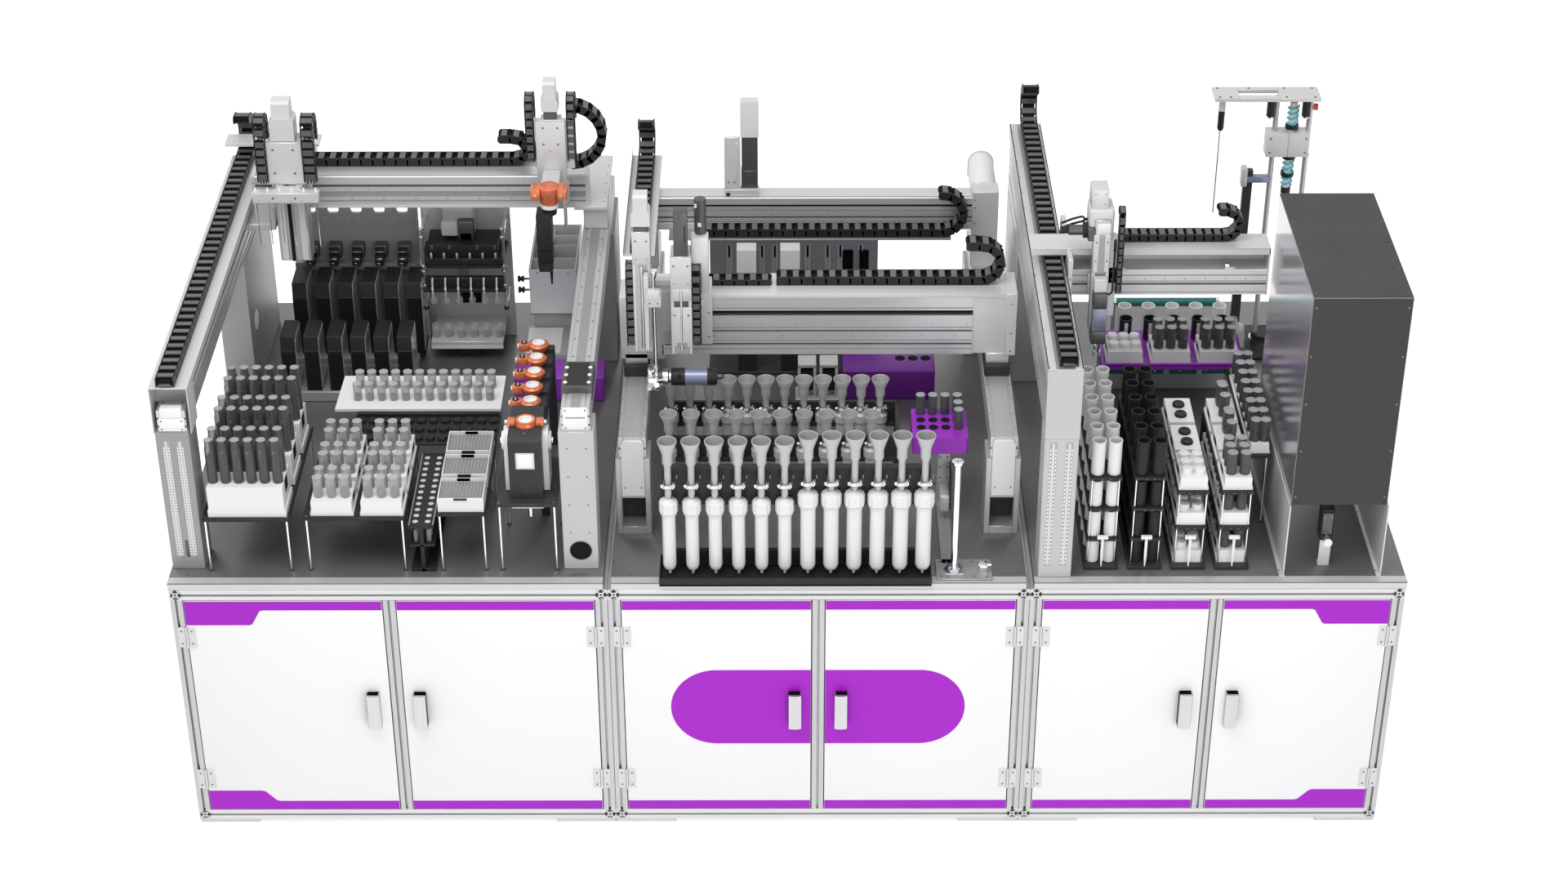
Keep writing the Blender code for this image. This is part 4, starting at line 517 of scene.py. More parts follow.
def profileOutline(centre):
    # Section of a 40 mm T-slotted profile, one side repeated four times round the middle.
    half, slot = cabinet["profile"] / 2, cabinet["opening"]
    side = [(-half + cabinet["corner"], -half), (-slot, -half), (-slot, -half + cabinet["lip"]),
            (-cabinet["undercut"], -half + cabinet["lip"]), (-cabinet["undercut"], -half + 0.0075),
            (-slot, -half + cabinet["depth"]), (slot, -half + cabinet["depth"]),
            (cabinet["undercut"], -half + 0.0075), (cabinet["undercut"], -half + cabinet["lip"]),
            (slot, -half + cabinet["lip"]), (slot, -half), (half - cabinet["corner"], -half)]
    outline = []
    for quarter in range(4):
        c, s = math.cos(quarter * math.pi / 2), math.sin(quarter * math.pi / 2)
        outline += [(centre[0] + x * c - y * s, centre[1] + x * s + y * c) for x, y in side]
    return outline


def profileBar(shape, centre, span, axis, finish):
    shape.prism(profileOutline(centre), span, axis, finish)


def hingeLeaf(shape, seam, way, centre, turnSpan):
    # One leaf of a hinge beside its seam, with its part of the knuckle
    leaf, tall, thick = cabinet["hinge"]
    ahead, radius = cabinet["knuckle"]
    aside, rise, head = cabinet["leafScrews"]
    x = sorted((seam + way * cabinet["leafGap"], seam + way * leaf))
    shape.box((x[0], frontY - thick, centre - tall / 2), (x[1], frontY + 0.0005, centre + tall / 2),
              "paleSheet", 0.0008)
    shape.rod((seam, frontY - ahead, centre + turnSpan[0]), (seam, frontY - ahead, centre + turnSpan[1]),
              radius, "paleSheet", 12)
    shape.screws([(seam + way * aside, frontY - thick, centre + lift) for lift in (-rise, rise)], head)


for number, word in enumerate(("left", "middle", "right")):
    low, high = edges[number] + 0.0003, edges[number + 1] - 0.0003
    base, crown = cabinet["foot"][2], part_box("frame_left")[1].z
    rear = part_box("frame_left")[1].y
    half = cabinet["profile"] / 2
    middle = (low + high) / 2
    shape = Shape("cabinetFrame" + word.title())
    for x in (low + half, high - half):
        for z in (base + half, crown - half):
            profileBar(shape, (x, z), (frontY, rear), "Y", "aluminiumY")
            shape.rod((x, frontY + 0.001, z), (x, frontY - 0.0002, z), cabinet["bore"], "slotShade", 12)
    for y in (frontY + half, rear - half):
        for x in (low + half, middle, high - half):
            profileBar(shape, (x, y), (base + 2 * half, crown - 2 * half), "Z", "aluminiumZ")
        for z in (base + half, crown - half):
            profileBar(shape, (y, z), (low + 2 * half, high - 2 * half), "X", "aluminiumX")
    footLong, footDeep, footHigh = cabinet["foot"]
    for x in (low, high - footLong):
        for y in (frontY + 0.010, rear - 0.010 - footDeep):
            shape.box((x, y, 0), (x + footLong, y + footDeep, footHigh), "paleSheet", 0.003)
    for seam, way in ((low + 2 * half + 0.0015, -1), (high - 2 * half - 0.0015, 1)):
        for centre in cabinet["hingeZ"]:
            hingeLeaf(shape, seam, way, centre, (-cabinet["hinge"][1] / 2, 0))
    shape.done("cabinets", "aluminium", "frame_" + word)

# Doors: white panels with purple bands, a bowed handle and two hinges each
door = {"band": 0.034, "stepTop": (0.203, 0.092, 0.045), "stepBottom": (0.178, 0.078, 0.056), "skin": 0.0005,
        "pill": (0.481, 0.150, 0.490), "handle": (0.042, 0.134, 0.034), "handleBow": 0.006,
        "handlePlate": 0.004, "hingeGap": 0.0055,
        "handleAt": {"left": (-1.350, -1.200), "middle": (0.025, 0.175), "right": (1.300, 1.450)}}


def bandOutline(x, edge, way, step, grow):
    # A band along a door's top or bottom edge, with a deeper end where the photo shows one.
    band = door["band"]
    if not step:
        return [(x[0], edge), (x[1], edge), (x[1], edge + way * band), (x[0], edge + way * band)]
    run, deep, slope = step
    start, end = (x[0], x[1]) if grow > 0 else (x[1], x[0])
    return [(start, edge), (end, edge), (end, edge + way * band),
            (start + grow * (run + slope), edge + way * band),
            (start + grow * (run + slope * 0.8), edge + way * (band + 0.004)),
            (start + grow * (run + slope * 0.2), edge + way * (deep - 0.004)),
            (start + grow * run, edge + way * deep), (start, edge + way * deep)]


for word in ("left", "middle", "right"):
    for letter in ("a", "b"):
        node = "door_{}_{}".format(word, letter)
        lowest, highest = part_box(node)
        way = 1 if letter == "a" else -1
        gap = door["hingeGap"]
        x = (lowest.x + gap, highest.x) if letter == "a" else (lowest.x, highest.x - gap)
        z = (lowest.z, highest.z)
        skin = frontY - door["skin"]
        shape = Shape("door" + word.title() + letter.upper())
        shape.box((x[0], frontY, z[0]), (x[1], frontY + 0.018, z[1]), "whitePaint", 0.0012, 2)
        stepped = (word, letter) in (("left", "a"), ("right", "b"))
        inner = (x[0] + 0.001, x[1] - 0.001)
        shape.prism(bandOutline(inner, z[1] - 0.001, -1, door["stepTop"] if stepped else None, way),
                    (skin, frontY + 0.001), "Y", "purpleDoor")
        shape.prism(bandOutline(inner, z[0] + 0.001, 1, door["stepBottom"] if stepped else None, way),
                    (skin, frontY + 0.001), "Y", "purpleDoor")
        if word == "middle":
            reach, radius, height = door["pill"]
            centre = (edges[1] + edges[2]) / 2 - way * (reach - radius)
            free = x[1] if letter == "a" else x[0]
            turnStart = (270, 90) if letter == "a" else (-90, 90)
            curve = arc((centre, height), radius, *turnStart, 32)
            shape.prism(curve
                        + [(free - way * 0.0006, height + radius), (free - way * 0.0006, height - radius)],
                        (skin, frontY + 0.001), "Y", "purpleDoor")
        handleX = door["handleAt"][word][0 if letter == "a" else 1]
        wide, tall, deep = door["handle"]
        middleZ = (z[0] + z[1]) / 2
        sweep = [math.radians(180 * i / 16) for i in range(17)]
        shoulder = frontY - deep + door["handleBow"]
        front = [(handleX + wide / 2 * math.cos(a), shoulder - door["handleBow"] * math.sin(a))
                 for a in sweep]
        behind = shoulder + door["handlePlate"]
        wallX = sorted((handleX + way * wide / 2, handleX + way * (wide / 2 - door["handlePlate"])))
        shape.prism(front + [(handleX - wide / 2, behind), (handleX + wide / 2, behind)],
                    (middleZ - tall / 2, middleZ + tall / 2), "Z", "handleSteel")
        shape.box((wallX[0], behind - 0.001, middleZ - tall / 2),
                  (wallX[1], frontY + 0.001, middleZ + tall / 2), "handleSteel")
        shape.box((handleX - wide / 2 + 0.002, skin - 0.0004, middleZ - tall / 2 + 0.002),
                  (handleX + wide / 2 - 0.002, frontY + 0.001, middleZ + tall / 2 - 0.002), "slotShade")
        slit = sorted((handleX - way * wide / 2, handleX - way * (wide / 2 - 0.0008)))
        shape.box((slit[0], behind - 0.0008, middleZ - tall / 2 + 0.002),
                  (slit[1], skin, middleZ + tall / 2 - 0.002), "slotShade")
        seam = x[0] - 0.0015 if letter == "a" else x[1] + 0.0015
        for centre in cabinet["hingeZ"]:
            hingeLeaf(shape, seam, way, centre, (0.0003, cabinet["hinge"][1] / 2))
        shape.done(node + "_body", "white_paint", node)

# Table tops: brushed sheet with small fixing screws; its folded front and a strip along the front edge are a
# paler copy of the same steel, painted light on the front
for word in ("left", "middle", "right"):
    lowest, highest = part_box("top_" + word)
    shape = Shape("tableTop" + word.title())
    shape.box(lowest, highest, "tableSteel", 0.003, 2)
    # Front face and a strip along the front edge painted paler: painted light and highlight along the front
    shape.box((lowest.x + 0.001, lowest.y - 0.0002, lowest.z + 0.001),
              (highest.x - 0.001, lowest.y + 0.001, highest.z - 0.004),
              "tableEdgeLit")
    shape.box((lowest.x + 0.001, lowest.y + 0.002, highest.z - 0.002),
              (highest.x - 0.001, lowest.y + 0.034, highest.z + 0.0001),
              "tableEdgeLit")
    shape.screws([(x, lowest.y + 0.050, highest.z) for x in (lowest.x + 0.06, highest.x - 0.06)], 0.004, "Z")
    shape.done("cabinets", "grey_top", "top_" + word)
print("Cabinets dressed")

# Cable chains: links of side plates and cross bars along a path
chain = {"pitch": 0.046, "height": 0.030, "wall": 0.004, "bar": 0.019, "barDeep": 0.004}


def linkPattern(name, pitch, wide, high):
    shape = Shape(name)
    half = pitch * 0.5
    for way in (-1, 1):
        y = sorted((way * wide / 2, way * (wide / 2 - chain["wall"])))
        shape.prism([(-half - 0.004, -high / 2), (half - 0.006, -high / 2), (half + 0.002, -high / 4),
                     (half + 0.002, high / 4),
                     (half - 0.006, high / 2), (-half - 0.004, high / 2)], y, "Y", "blackPlastic")
    for z in (-high / 2, high / 2 - chain["barDeep"]):
        shape.box((-chain["bar"] / 2, -wide / 2 + 0.001, z),
                  (chain["bar"] / 2, wide / 2 - 0.001, z + chain["barDeep"]),
                  "chainFrame")
    shape.box((-half, -wide / 2 + 0.008, -high / 4), (half, wide / 2 - 0.008, high / 5), "slotShade")
    return shape.pattern()


def chainPoints(start, end, base, loop, tail, pitch, high):
    # (distance, height) points a pitch apart: a run, a half turn upwards and a short run back.
    way = 1 if end > start else -1
    radius = loop - high / 2
    lengths = (abs(end - start), math.pi * radius, tail)
    points = []
    travelled = 0.0
    while travelled <= sum(lengths) + 1e-6:
        if travelled <= lengths[0]:
            points.append((start + way * travelled, base + high / 2))
        elif travelled <= lengths[0] + lengths[1]:
            angle = (travelled - lengths[0]) / radius
            points.append((end + way * radius * math.sin(angle), base + loop - radius * math.cos(angle)))
        else:
            points.append((end - way * (travelled - lengths[0] - lengths[1]), base + 2 * loop - high / 2))
        travelled += pitch
    return points


def layLinks(shape, link, points, side):
    # One link between each pair of neighbouring points.
    side = Vector(side)
    for first, second in zip(points, points[1:]):
        first, second = Vector(first), Vector(second)
        along = (second - first).normalized()
        up = along.cross(side)
        turn = Matrix((along, side, up)).transposed().to_4x4()
        shape.stampAt(link, Matrix.Translation((first + second) / 2) @ turn)


wideLink = linkPattern("wideLink", chain["pitch"], 0.058, chain["height"])
for node, loop in (("chain_left_y", 0.085), ("chain_middle_y", 0.075), ("chain_right_y", 0.085)):
    low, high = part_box(node)
    shape = Shape(node.title().replace("_", ""))
    x = (low.x + high.x) / 2
    turnY = high.y - loop
    route = chainPoints(low.y + 0.006, turnY, low.z, loop, 0.030, chain["pitch"], chain["height"])
    layLinks(shape, wideLink, [(x, y, z) for y, z in route], (-1, 0, 0))
    shape.box((low.x + 0.010, low.y, low.z), (high.x - 0.010, low.y + 0.020, low.z + 0.012), "darkMetal",
              0.001)
    shape.screws([(low.x + 0.016 + 0.0065 * k, low.y + 0.008, low.z + 0.012) for k in range(5)], 0.002, "Z")
    shape.done("cabinets", "black_plastic", node)
print("Cable chains laid")


# Rails of the left module
def ridgedBar(shape, x, y, z, finish, grooves):
    # A long profile along Y with shallow grooves in its top and sides: an outline pushed along Y.
    outline = [(x[0], z[0]), (x[1], z[0])]
    for height in grooves:
        level = z[0] + (z[1] - z[0]) * height
        outline += [(x[1], level - 0.004), (x[1] - 0.006, level - 0.004), (x[1] - 0.006, level + 0.004),
                    (x[1], level + 0.004)]
    outline += [(x[1], z[1] - 0.002), (x[1] - 0.002, z[1])]
    outline += [(x[1] - 0.012, z[1]), (x[1] - 0.012, z[1] - 0.003), (x[1] - 0.016, z[1] - 0.003),
                (x[1] - 0.016, z[1])]
    outline += [(x[0] + 0.016, z[1]), (x[0] + 0.016, z[1] - 0.003), (x[0] + 0.012, z[1] - 0.003),
                (x[0] + 0.012, z[1])]
    outline += [(x[0] + 0.002, z[1]), (x[0], z[1] - 0.002)]
    for height in reversed(grooves):
        level = z[0] + (z[1] - z[0]) * height
        outline += [(x[0], level + 0.004), (x[0] + 0.006, level + 0.004), (x[0] + 0.006, level - 0.004),
                    (x[0], level - 0.004)]
    shape.prism(outline, y, "Y", finish)


def dottedStrips(shape, front, z, strips, pitch):
    # Recessed strips with rows of small bright studs, as on the legs' front faces.
    stud = Shape("legStud")
    stud.box((-0.0022, -0.0014, -0.0032), (0.0022, 0.0004, 0.0032), "whitePaint")
    stud.pattern()
    for middle in strips:
        shape.box((middle - 0.011, front - 0.0006, z[0]), (middle + 0.011, front + 0.002, z[1]), "greySheet",
                  0.0004)
        shape.box((middle - 0.0035, front - 0.0011, z[0] + 0.004),
                  (middle + 0.0035, front + 0.001, z[1] - 0.004), "paleSheet")
        for k in range(int((z[1] - z[0] - 0.02) / pitch)):
            for shift in (-0.0078, 0.0078):
                shape.stamp(stud, (middle + shift, front - 0.0004, z[0] + 0.012 + pitch * k))


outer = {"sheet": 0.003, "railWide": 0.090, "railHigh": 0.077, "coverHigh": 0.159, "legDeep": 0.120,
         "open": 0.100}
low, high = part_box("rail_left_outer")
base = high.z - outer["coverHigh"]
x = (low.x, high.x)
legX = (x[0] + 0.003, x[0] + 0.108)
shape = Shape("coveredRail")
# Front leg under the cover: painted shade
shape.box((legX[0], low.y, benchZ), (legX[1], low.y + outer["legDeep"], base + 0.001), "legShaded", 0.002)
dottedStrips(shape, low.y, (tableZ + 0.045, base - 0.030), (legX[0] + 0.031, legX[0] + 0.074), 0.0105)
shape.box((legX[0] + 0.050, low.y - 0.0012, tableZ + 0.046), (legX[0] + 0.060, low.y + 0.002, tableZ + 0.110),
          "darkMetal", 0.001)
rearLeg = (back(1.180), back(1.700))
shape.box((legX[0], rearLeg[0], benchZ), (legX[1], rearLeg[1], base + 0.001), "greySheet", 0.002)
hole = (rearLeg[0] + 0.110, (tableZ + base) / 2 - 0.020)
shape.rod((legX[1] - 0.001, hole[0], hole[1]), (legX[1] + 0.0006, hole[0], hole[1]), 0.035, "whitePaint", 32)
shape.screws([(legX[1], rearLeg[0] + 0.03 + 0.12 * k, tableZ + 0.05 + 0.11 * j) for k in range(4)
              for j in range(4)], 0.0035, "X")
middle = (x[0] + x[1]) / 2
railX = (middle - outer["railWide"] / 2, middle + outer["railWide"] / 2)
ridgedBar(shape, railX, (low.y + 0.004, high.y), (base, base + outer["railHigh"]), "aluminiumY", (0.25, 0.62))
shape.screws([(railX[0] + 0.024, low.y + 0.14 + 0.115 * k, base + outer["railHigh"]) for k in range(13)],
             0.0035, "Z")
shape.screws([(railX[1] - 0.024, low.y + 0.14 + 0.115 * k, base + outer["railHigh"]) for k in range(13)],
             0.0035, "Z")
sheet = outer["sheet"]
shape.box((x[0], low.y, high.z - sheet), (x[1], high.y, high.z), "paleSheet", 0.0008)
shape.box((x[0], low.y, base - 0.004), (x[0] + sheet, high.y, high.z - sheet), "paleSheet", 0.0008)
shape.box((x[1] - sheet, low.y, high.z - 0.028), (x[1], high.y, high.z - sheet), "paleSheet", 0.0008)
shape.box((x[1] - sheet, low.y, base - 0.004), (x[1], low.y + outer["open"], high.z - 0.028), "paleSheet",
          0.0008)
shape.box((x[0] + sheet, low.y + 0.060, base + outer["railHigh"]),
          (x[1] - sheet, low.y + outer["open"], high.z - sheet), "greySheet")
cap = (middle - 0.040, middle + 0.040)
shape.box((cap[0], low.y - 0.0015, base + 0.004), (cap[1], low.y + 0.012, base + 0.050), "whitePaint", 0.003,
          2)
shape.box((cap[0] + 0.006, low.y - 0.0005, base + 0.050), (cap[1] - 0.006, low.y + 0.030, base + 0.086),
          "whitePaint", 0.004, 2)
shape.screws([(cx, low.y - 0.0015, base + cz) for cx in (cap[0] + 0.008, cap[1] - 0.008)
              for cz in (0.012, 0.042)], 0.003)
shape.done("cabinets", "aluminium", "rail_left_outer")

# Bare rail between the left and middle modules, with its clamp block and clips
inner = {"railHigh": 0.077, "clamp": (0.190, 0.350), "hole": 0.035, "holeUp": 0.072}
low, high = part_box("rail_left_inner")
x = (low.x, high.x)
base = 1.497
middle = (x[0] + x[1]) / 2
railX = (middle - 0.045, middle + 0.045)
shape = Shape("bareRail")
# Front leg in light: lit copy of the leg sheet, painted light
shape.box((x[0], low.y, benchZ), (x[1], low.y + 0.120, base + 0.001), "legLit", 0.002)
shape.screws([(cx, low.y, tableZ + 0.14 + 0.105 * k) for cx in (x[0] + 0.026, x[1] - 0.026)
              for k in range(4)], 0.0032)
shape.rod((middle, low.y - 0.0008, tableZ + inner["holeUp"]),
          (middle, low.y + 0.001, tableZ + inner["holeUp"]),
          inner["hole"], "slotShade", 32)
shape.turned([(inner["hole"], 0), (inner["hole"] + 0.0025, 0), (inner["hole"] + 0.0025, 0.0014),
              (inner["hole"], 0.0014)],
             (middle, low.y - 0.0012, tableZ + inner["holeUp"]), "greySheet", 32, "Y")
shape.box((x[0], back(1.400), benchZ), (x[1], back(1.690), base + 0.001), "greySheet", 0.002)
ridgedBar(shape, railX, (back(0.090), high.y), (base, base + inner["railHigh"]), "aluminiumY", (0.3, 0.7))
shape.box((railX[0] + 0.030, back(0.100), base + inner["railHigh"] - 0.001),
          (railX[1] - 0.030, high.y - 0.010, base + inner["railHigh"] + 0.0012), "greySheet")
shape.screws([(cx, back(0.42) + 0.115 * k, base + inner["railHigh"])
              for cx in (railX[0] + 0.020, railX[1] - 0.020) for k in range(11)],
             0.0035, "Z")
block = [back(depth) for depth in inner["clamp"]]
shape.box((railX[0] - 0.004, block[0], base + 0.050), (railX[1] + 0.004, block[1], high.z), "darkMetal",
          0.003, 2)
shape.box((railX[0] + 0.010, block[0] + 0.010, high.z - 0.002),
          (railX[1] - 0.010, block[1] - 0.010, high.z + 0.0005), "blackPlastic")
for k in range(3):
    for cx in (railX[0] + 0.002, railX[1] - 0.014):
        clip = (cx, block[0] + 0.022 + 0.046 * k, high.z - 0.001)
        shape.box(clip, (clip[0] + 0.012, clip[1] + 0.014, clip[2] + 0.0022), "whitePlastic", 0.001)
shape.box((railX[0] + 0.006, back(0.0895), base + 0.004), (railX[1] - 0.006, back(0.0965), base + 0.084),
          "whitePaint", 0.003, 2)
shape.box((railX[0] + 0.014, back(0.089), base + 0.046), (railX[1] - 0.014, back(0.0975), base + 0.052),
          "greySheet")
shape.screws([(cx, back(0.0895), base + cz) for cx in (railX[0] + 0.014, railX[1] - 0.014)
              for cz in (0.012, 0.076)], 0.003)
shape.done("cabinets", "aluminium", "rail_left_inner")
print("Left rails dressed")


# Bridges and carriages
slimLink = linkPattern("slimLink", 0.040, 0.056, 0.030)


def beamAlongX(shape, x, y, z, bands, finish="aluminiumX"):
    # A linear axis seen from its front: an outline with grooves and ledges pushed along X, each groove with a
    # dark strip at its back as painted shade.
    outline = [(y[0], z[0])]
    for low, high, deep in bands:
        outline += [(y[0], z[0] + low), (y[0] + deep, z[0] + low), (y[0] + deep, z[0] + high),
                    (y[0], z[0] + high)]
    outline += [(y[0], z[1] - 0.002), (y[0] + 0.002, z[1]), (y[0] + 0.008, z[1]),
                (y[0] + 0.008, z[1] - 0.004),
                (y[0] + 0.014, z[1] - 0.004), (y[0] + 0.014, z[1]), (y[1] - 0.002, z[1]),
                (y[1], z[1] - 0.002), (y[1], z[0])]
    shape.prism(outline, x, "X", finish)
    # Dark strips at the back of the grooves: painted shade
    for low, high, deep in bands:
        grooveShadeY = y[0] + deep
        shape.box((x[0] + 0.001, grooveShadeY - 0.0004, z[0] + low + 0.0003),
                  (x[1] - 0.001, grooveShadeY + 0.0004, z[0] + high - 0.0003),
                  "darkMetal" if deep > 0.0045 else "greySheet")


def motorHead(shape, x, y, z, skirt=0.16):
    # A motor stood on end: dark skirt, pale hood with a sloped front and a narrower crown.
    tall = z[1] - z[0]
    lip = z[0] + tall * skirt
    step = z[0] + tall * 0.60
    inset = (x[1] - x[0]) * 0.12
    shape.box((x[0] + inset, y[0] + 0.004, z[0]), (x[1] - inset, y[1] - 0.002, lip), "darkMetal", 0.002)
    shape.prism([(x[0], lip - 0.002), (x[1], lip - 0.002), (x[1], step - 0.010), (x[1] - inset, step),
                 (x[0] + inset, step), (x[0], step - 0.010)], y, "Y", "paleSheet")
    shape.prism([(y[0] + inset * 0.6, step - 0.002), (y[1] - inset, step - 0.002),
                 (y[1] - inset, z[1] - 0.004),
                 (y[1] - inset - 0.004, z[1]), (y[0] + inset * 1.6, z[1]),
                 (y[0] + inset * 0.6, z[1] - 0.008)],
                (x[0] + inset, x[1] - inset), "X", "offWhite")


def sideChain(shape, x, y, z):
    # The tall narrow chain loop beside a vertical axis, with cable ends below it.
    wide, half = x[1] - x[0], (y[1] - y[0]) / 2
    middleX, middleY = (x[0] + x[1]) / 2, (y[0] + y[1]) / 2
    pitch, thick = 0.030, 0.022
    narrow = linkPattern("narrowLink", pitch, wide, thick)
    radius = half - thick / 2
    points = []
    height = z[0] + 0.012
    while height < z[1] - half:
        points.append((middleX, middleY - radius, height))
        height += pitch
    for k in range(1, 5):
        angle = math.pi * k / 5
        points.append((middleX, middleY - radius * math.cos(angle), z[1] - half + radius * math.sin(angle)))
    height = z[1] - half
    while height > z[0] + (z[1] - z[0]) * 0.45:
        points.append((middleX, middleY + radius, height))
        height -= pitch
    layLinks(shape, narrow, points, (-1, 0, 0))
    for shift in (-0.25, 0.0, 0.25):
        shape.rod((middleX + wide * shift, middleY - radius, z[0]),
                  (middleX + wide * shift, middleY - radius, z[0] + 0.016),
                  0.0025, "blackPlastic", 8)


bridge = {"beam": (1.300, 1.380), "z": (1.667, 1.775), "plate": 0.012}
beamY = [back(depth) for depth in bridge["beam"]]
beamZ = bridge["z"]
low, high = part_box("bridge_left")
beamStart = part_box("rail_left_outer")[1].x + 0.020
saddle = (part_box("rail_left_inner")[0].x + 0.015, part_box("rail_left_inner")[1].x - 0.013)
shape = Shape("leftBridge")
beamAlongX(shape, (beamStart, saddle[0] + 0.022), beamY, beamZ,
           [(0.012, 0.018, 0.004), (0.030, 0.052, 0.003), (0.068, 0.078, 0.007)])
shape.screws([(beamStart + 0.12 + 0.11 * k, beamY[0], beamZ[0] + 0.024) for k in range(8)], 0.0026,
             proud=swept)
shape.screws([(beamStart + 0.10 + 0.06 * k, beamY[0], beamZ[0] + 0.060) for k in range(16)], 0.0018,
             proud=swept)
under = beamZ[0] - bridge["plate"]
shape.box((beamStart, beamY[0] - 0.0005, under), (saddle[1], beamY[1] + 0.040, beamZ[0] + 0.001), "paleSheet",
          0.0015)
shape.box((saddle[0] - 0.030, beamY[0] - 0.020, under), (saddle[1], beamY[0] + 0.380, beamZ[0] + 0.0015),
          "paleSheet", 0.002)
shape.box((saddle[0], beamY[0], 1.5745), (saddle[1], beamY[1] + 0.160, under + 0.001), "paleSheet", 0.002)
shape.screws([(saddle[1] - 0.012, beamY[0] + 0.02 + 0.07 * k, beamZ[0] + 0.0015) for k in range(5)], 0.003,
             "Z")
shape.screws([(saddle[0] - 0.018, beamY[0] + 0.16 + 0.05 * k, beamZ[0] + 0.0015) for k in range(4)], 0.003,
             "Z")
railMiddle = (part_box("rail_left_outer")[0].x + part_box("rail_left_outer")[1].x) / 2
shape.box((railMiddle - 0.039, beamY[0] - 0.010, 1.5745), (beamStart + 0.070, beamY[1] + 0.120, 1.5960),
          "paleSheet", 0.002)
shape.box((beamStart, beamY[0], 1.5745), (beamStart + 0.070, beamY[1] + 0.040, under + 0.001), "paleSheet",
          0.002)
for x in ((beamStart - 0.0008, beamStart + 0.012), (saddle[0] + 0.010, saddle[0] + 0.0225)):
    shape.box((x[0], beamY[0] - 0.0008, beamZ[0]), (x[1], beamY[1], beamZ[1] + 0.0015), "paleSheet", 0.001)
shape.screws([(beamStart + 0.005, beamY[0] - 0.0008, beamZ[0] + rise) for rise in (0.018, 0.050, 0.085)],
             0.0025)
trayX = (beamStart + 0.200, saddle[0] - 0.120)
shape.box((trayX[0], beamY[1] - 0.002, beamZ[1] - 0.006), (trayX[1], beamY[1] + 0.075, beamZ[1] - 0.002),
          "greySheet", 0.0008)
route = chainPoints(beamStart + 0.210, saddle[0] - 0.234, beamZ[1] - 0.001, 0.058, 0.070, 0.040, 0.030)
layLinks(shape, slimLink, [(x, beamY[1] + 0.028, z) for x, z in route], (0, 1, 0))
shape.box((low.x, beamY[0] + 0.300, 1.742), (beamStart + 0.190, beamY[0] + 0.380, 1.754), "paleSheet", 0.0015)
shape.screws([(low.x + 0.03 + 0.05 * k, beamY[0] + 0.315, 1.754) for k in range(6)], 0.0025, "Z")
shape.box((beamStart + 0.110, beamY[1] - 0.010, beamZ[0]), (beamStart + 0.170, beamY[0] + 0.380, 1.7425),
          "paleSheet", 0.002)
shape.done("bridge_left_body", "aluminium", "bridge_left")

# Dosing axis on the left bridge
dosing = {"x": (-1.770, -1.622), "front": 1.200, "foot": 1.501, "crown": 1.945}
x = dosing["x"]
front = back(dosing["front"])
face = beamY[0] - 0.0003
axis = (x[0] + 0.030, x[1] - 0.012)
shape = Shape("dosingCarriage")
shape.box((axis[0], front + 0.004, dosing["foot"]), (axis[1], face - 0.020, dosing["crown"]), "aluminiumZ",
          0.002)
shape.box((axis[0] + 0.008, front, dosing["foot"] + 0.004), (axis[0] + 0.030, front + 0.006, 1.800),
          "paleSheet", 0.001)
shape.box((axis[1] - 0.030, front, dosing["foot"] + 0.004), (axis[1] - 0.008, front + 0.006, 1.800),
          "paleSheet", 0.001)
shape.box((axis[0] + 0.040, front + 0.001, dosing["foot"]), (axis[0] + 0.052, front + 0.006, 1.800),
          "slotShade")
shape.box((x[0] + 0.010, face - 0.022, 1.680), (x[1] - 0.002, face, 1.765), "paleSheet", 0.002)
shape.box((x[0] + 0.006, front, 1.795), (x[1] - 0.006, front + 0.012, 1.952), "paleSheet", 0.002)
shape.box((x[0] + 0.020, front + 0.004, 1.860), (x[1] - 0.010, face - 0.010, 1.948), "paleSheet", 0.002)
shape.screws([(cx, front, cz) for cx in (x[0] + 0.040, x[1] - 0.040) for cz in (1.838, 1.925)], 0.0042)
sideChain(shape, (x[0] - 0.020, x[0] + 0.018), (front - 0.010, front + 0.090), (1.800, 2.040))
sideChain(shape, (x[1] - 0.010, x[1] + 0.034), (front - 0.010, front + 0.090), (1.800, 2.040))
shape.box((x[0] - 0.010, front + 0.030, 1.830), (x[1] + 0.020, front + 0.060, 1.870), "greySheet", 0.002)
motorHead(shape, (x[0] + 0.034, x[1] - 0.032), (front + 0.008, front + 0.082), (1.944, 2.094), 0.08)
shape.done("dosing_carriage_body", "pale_sheet", "dosing_carriage")

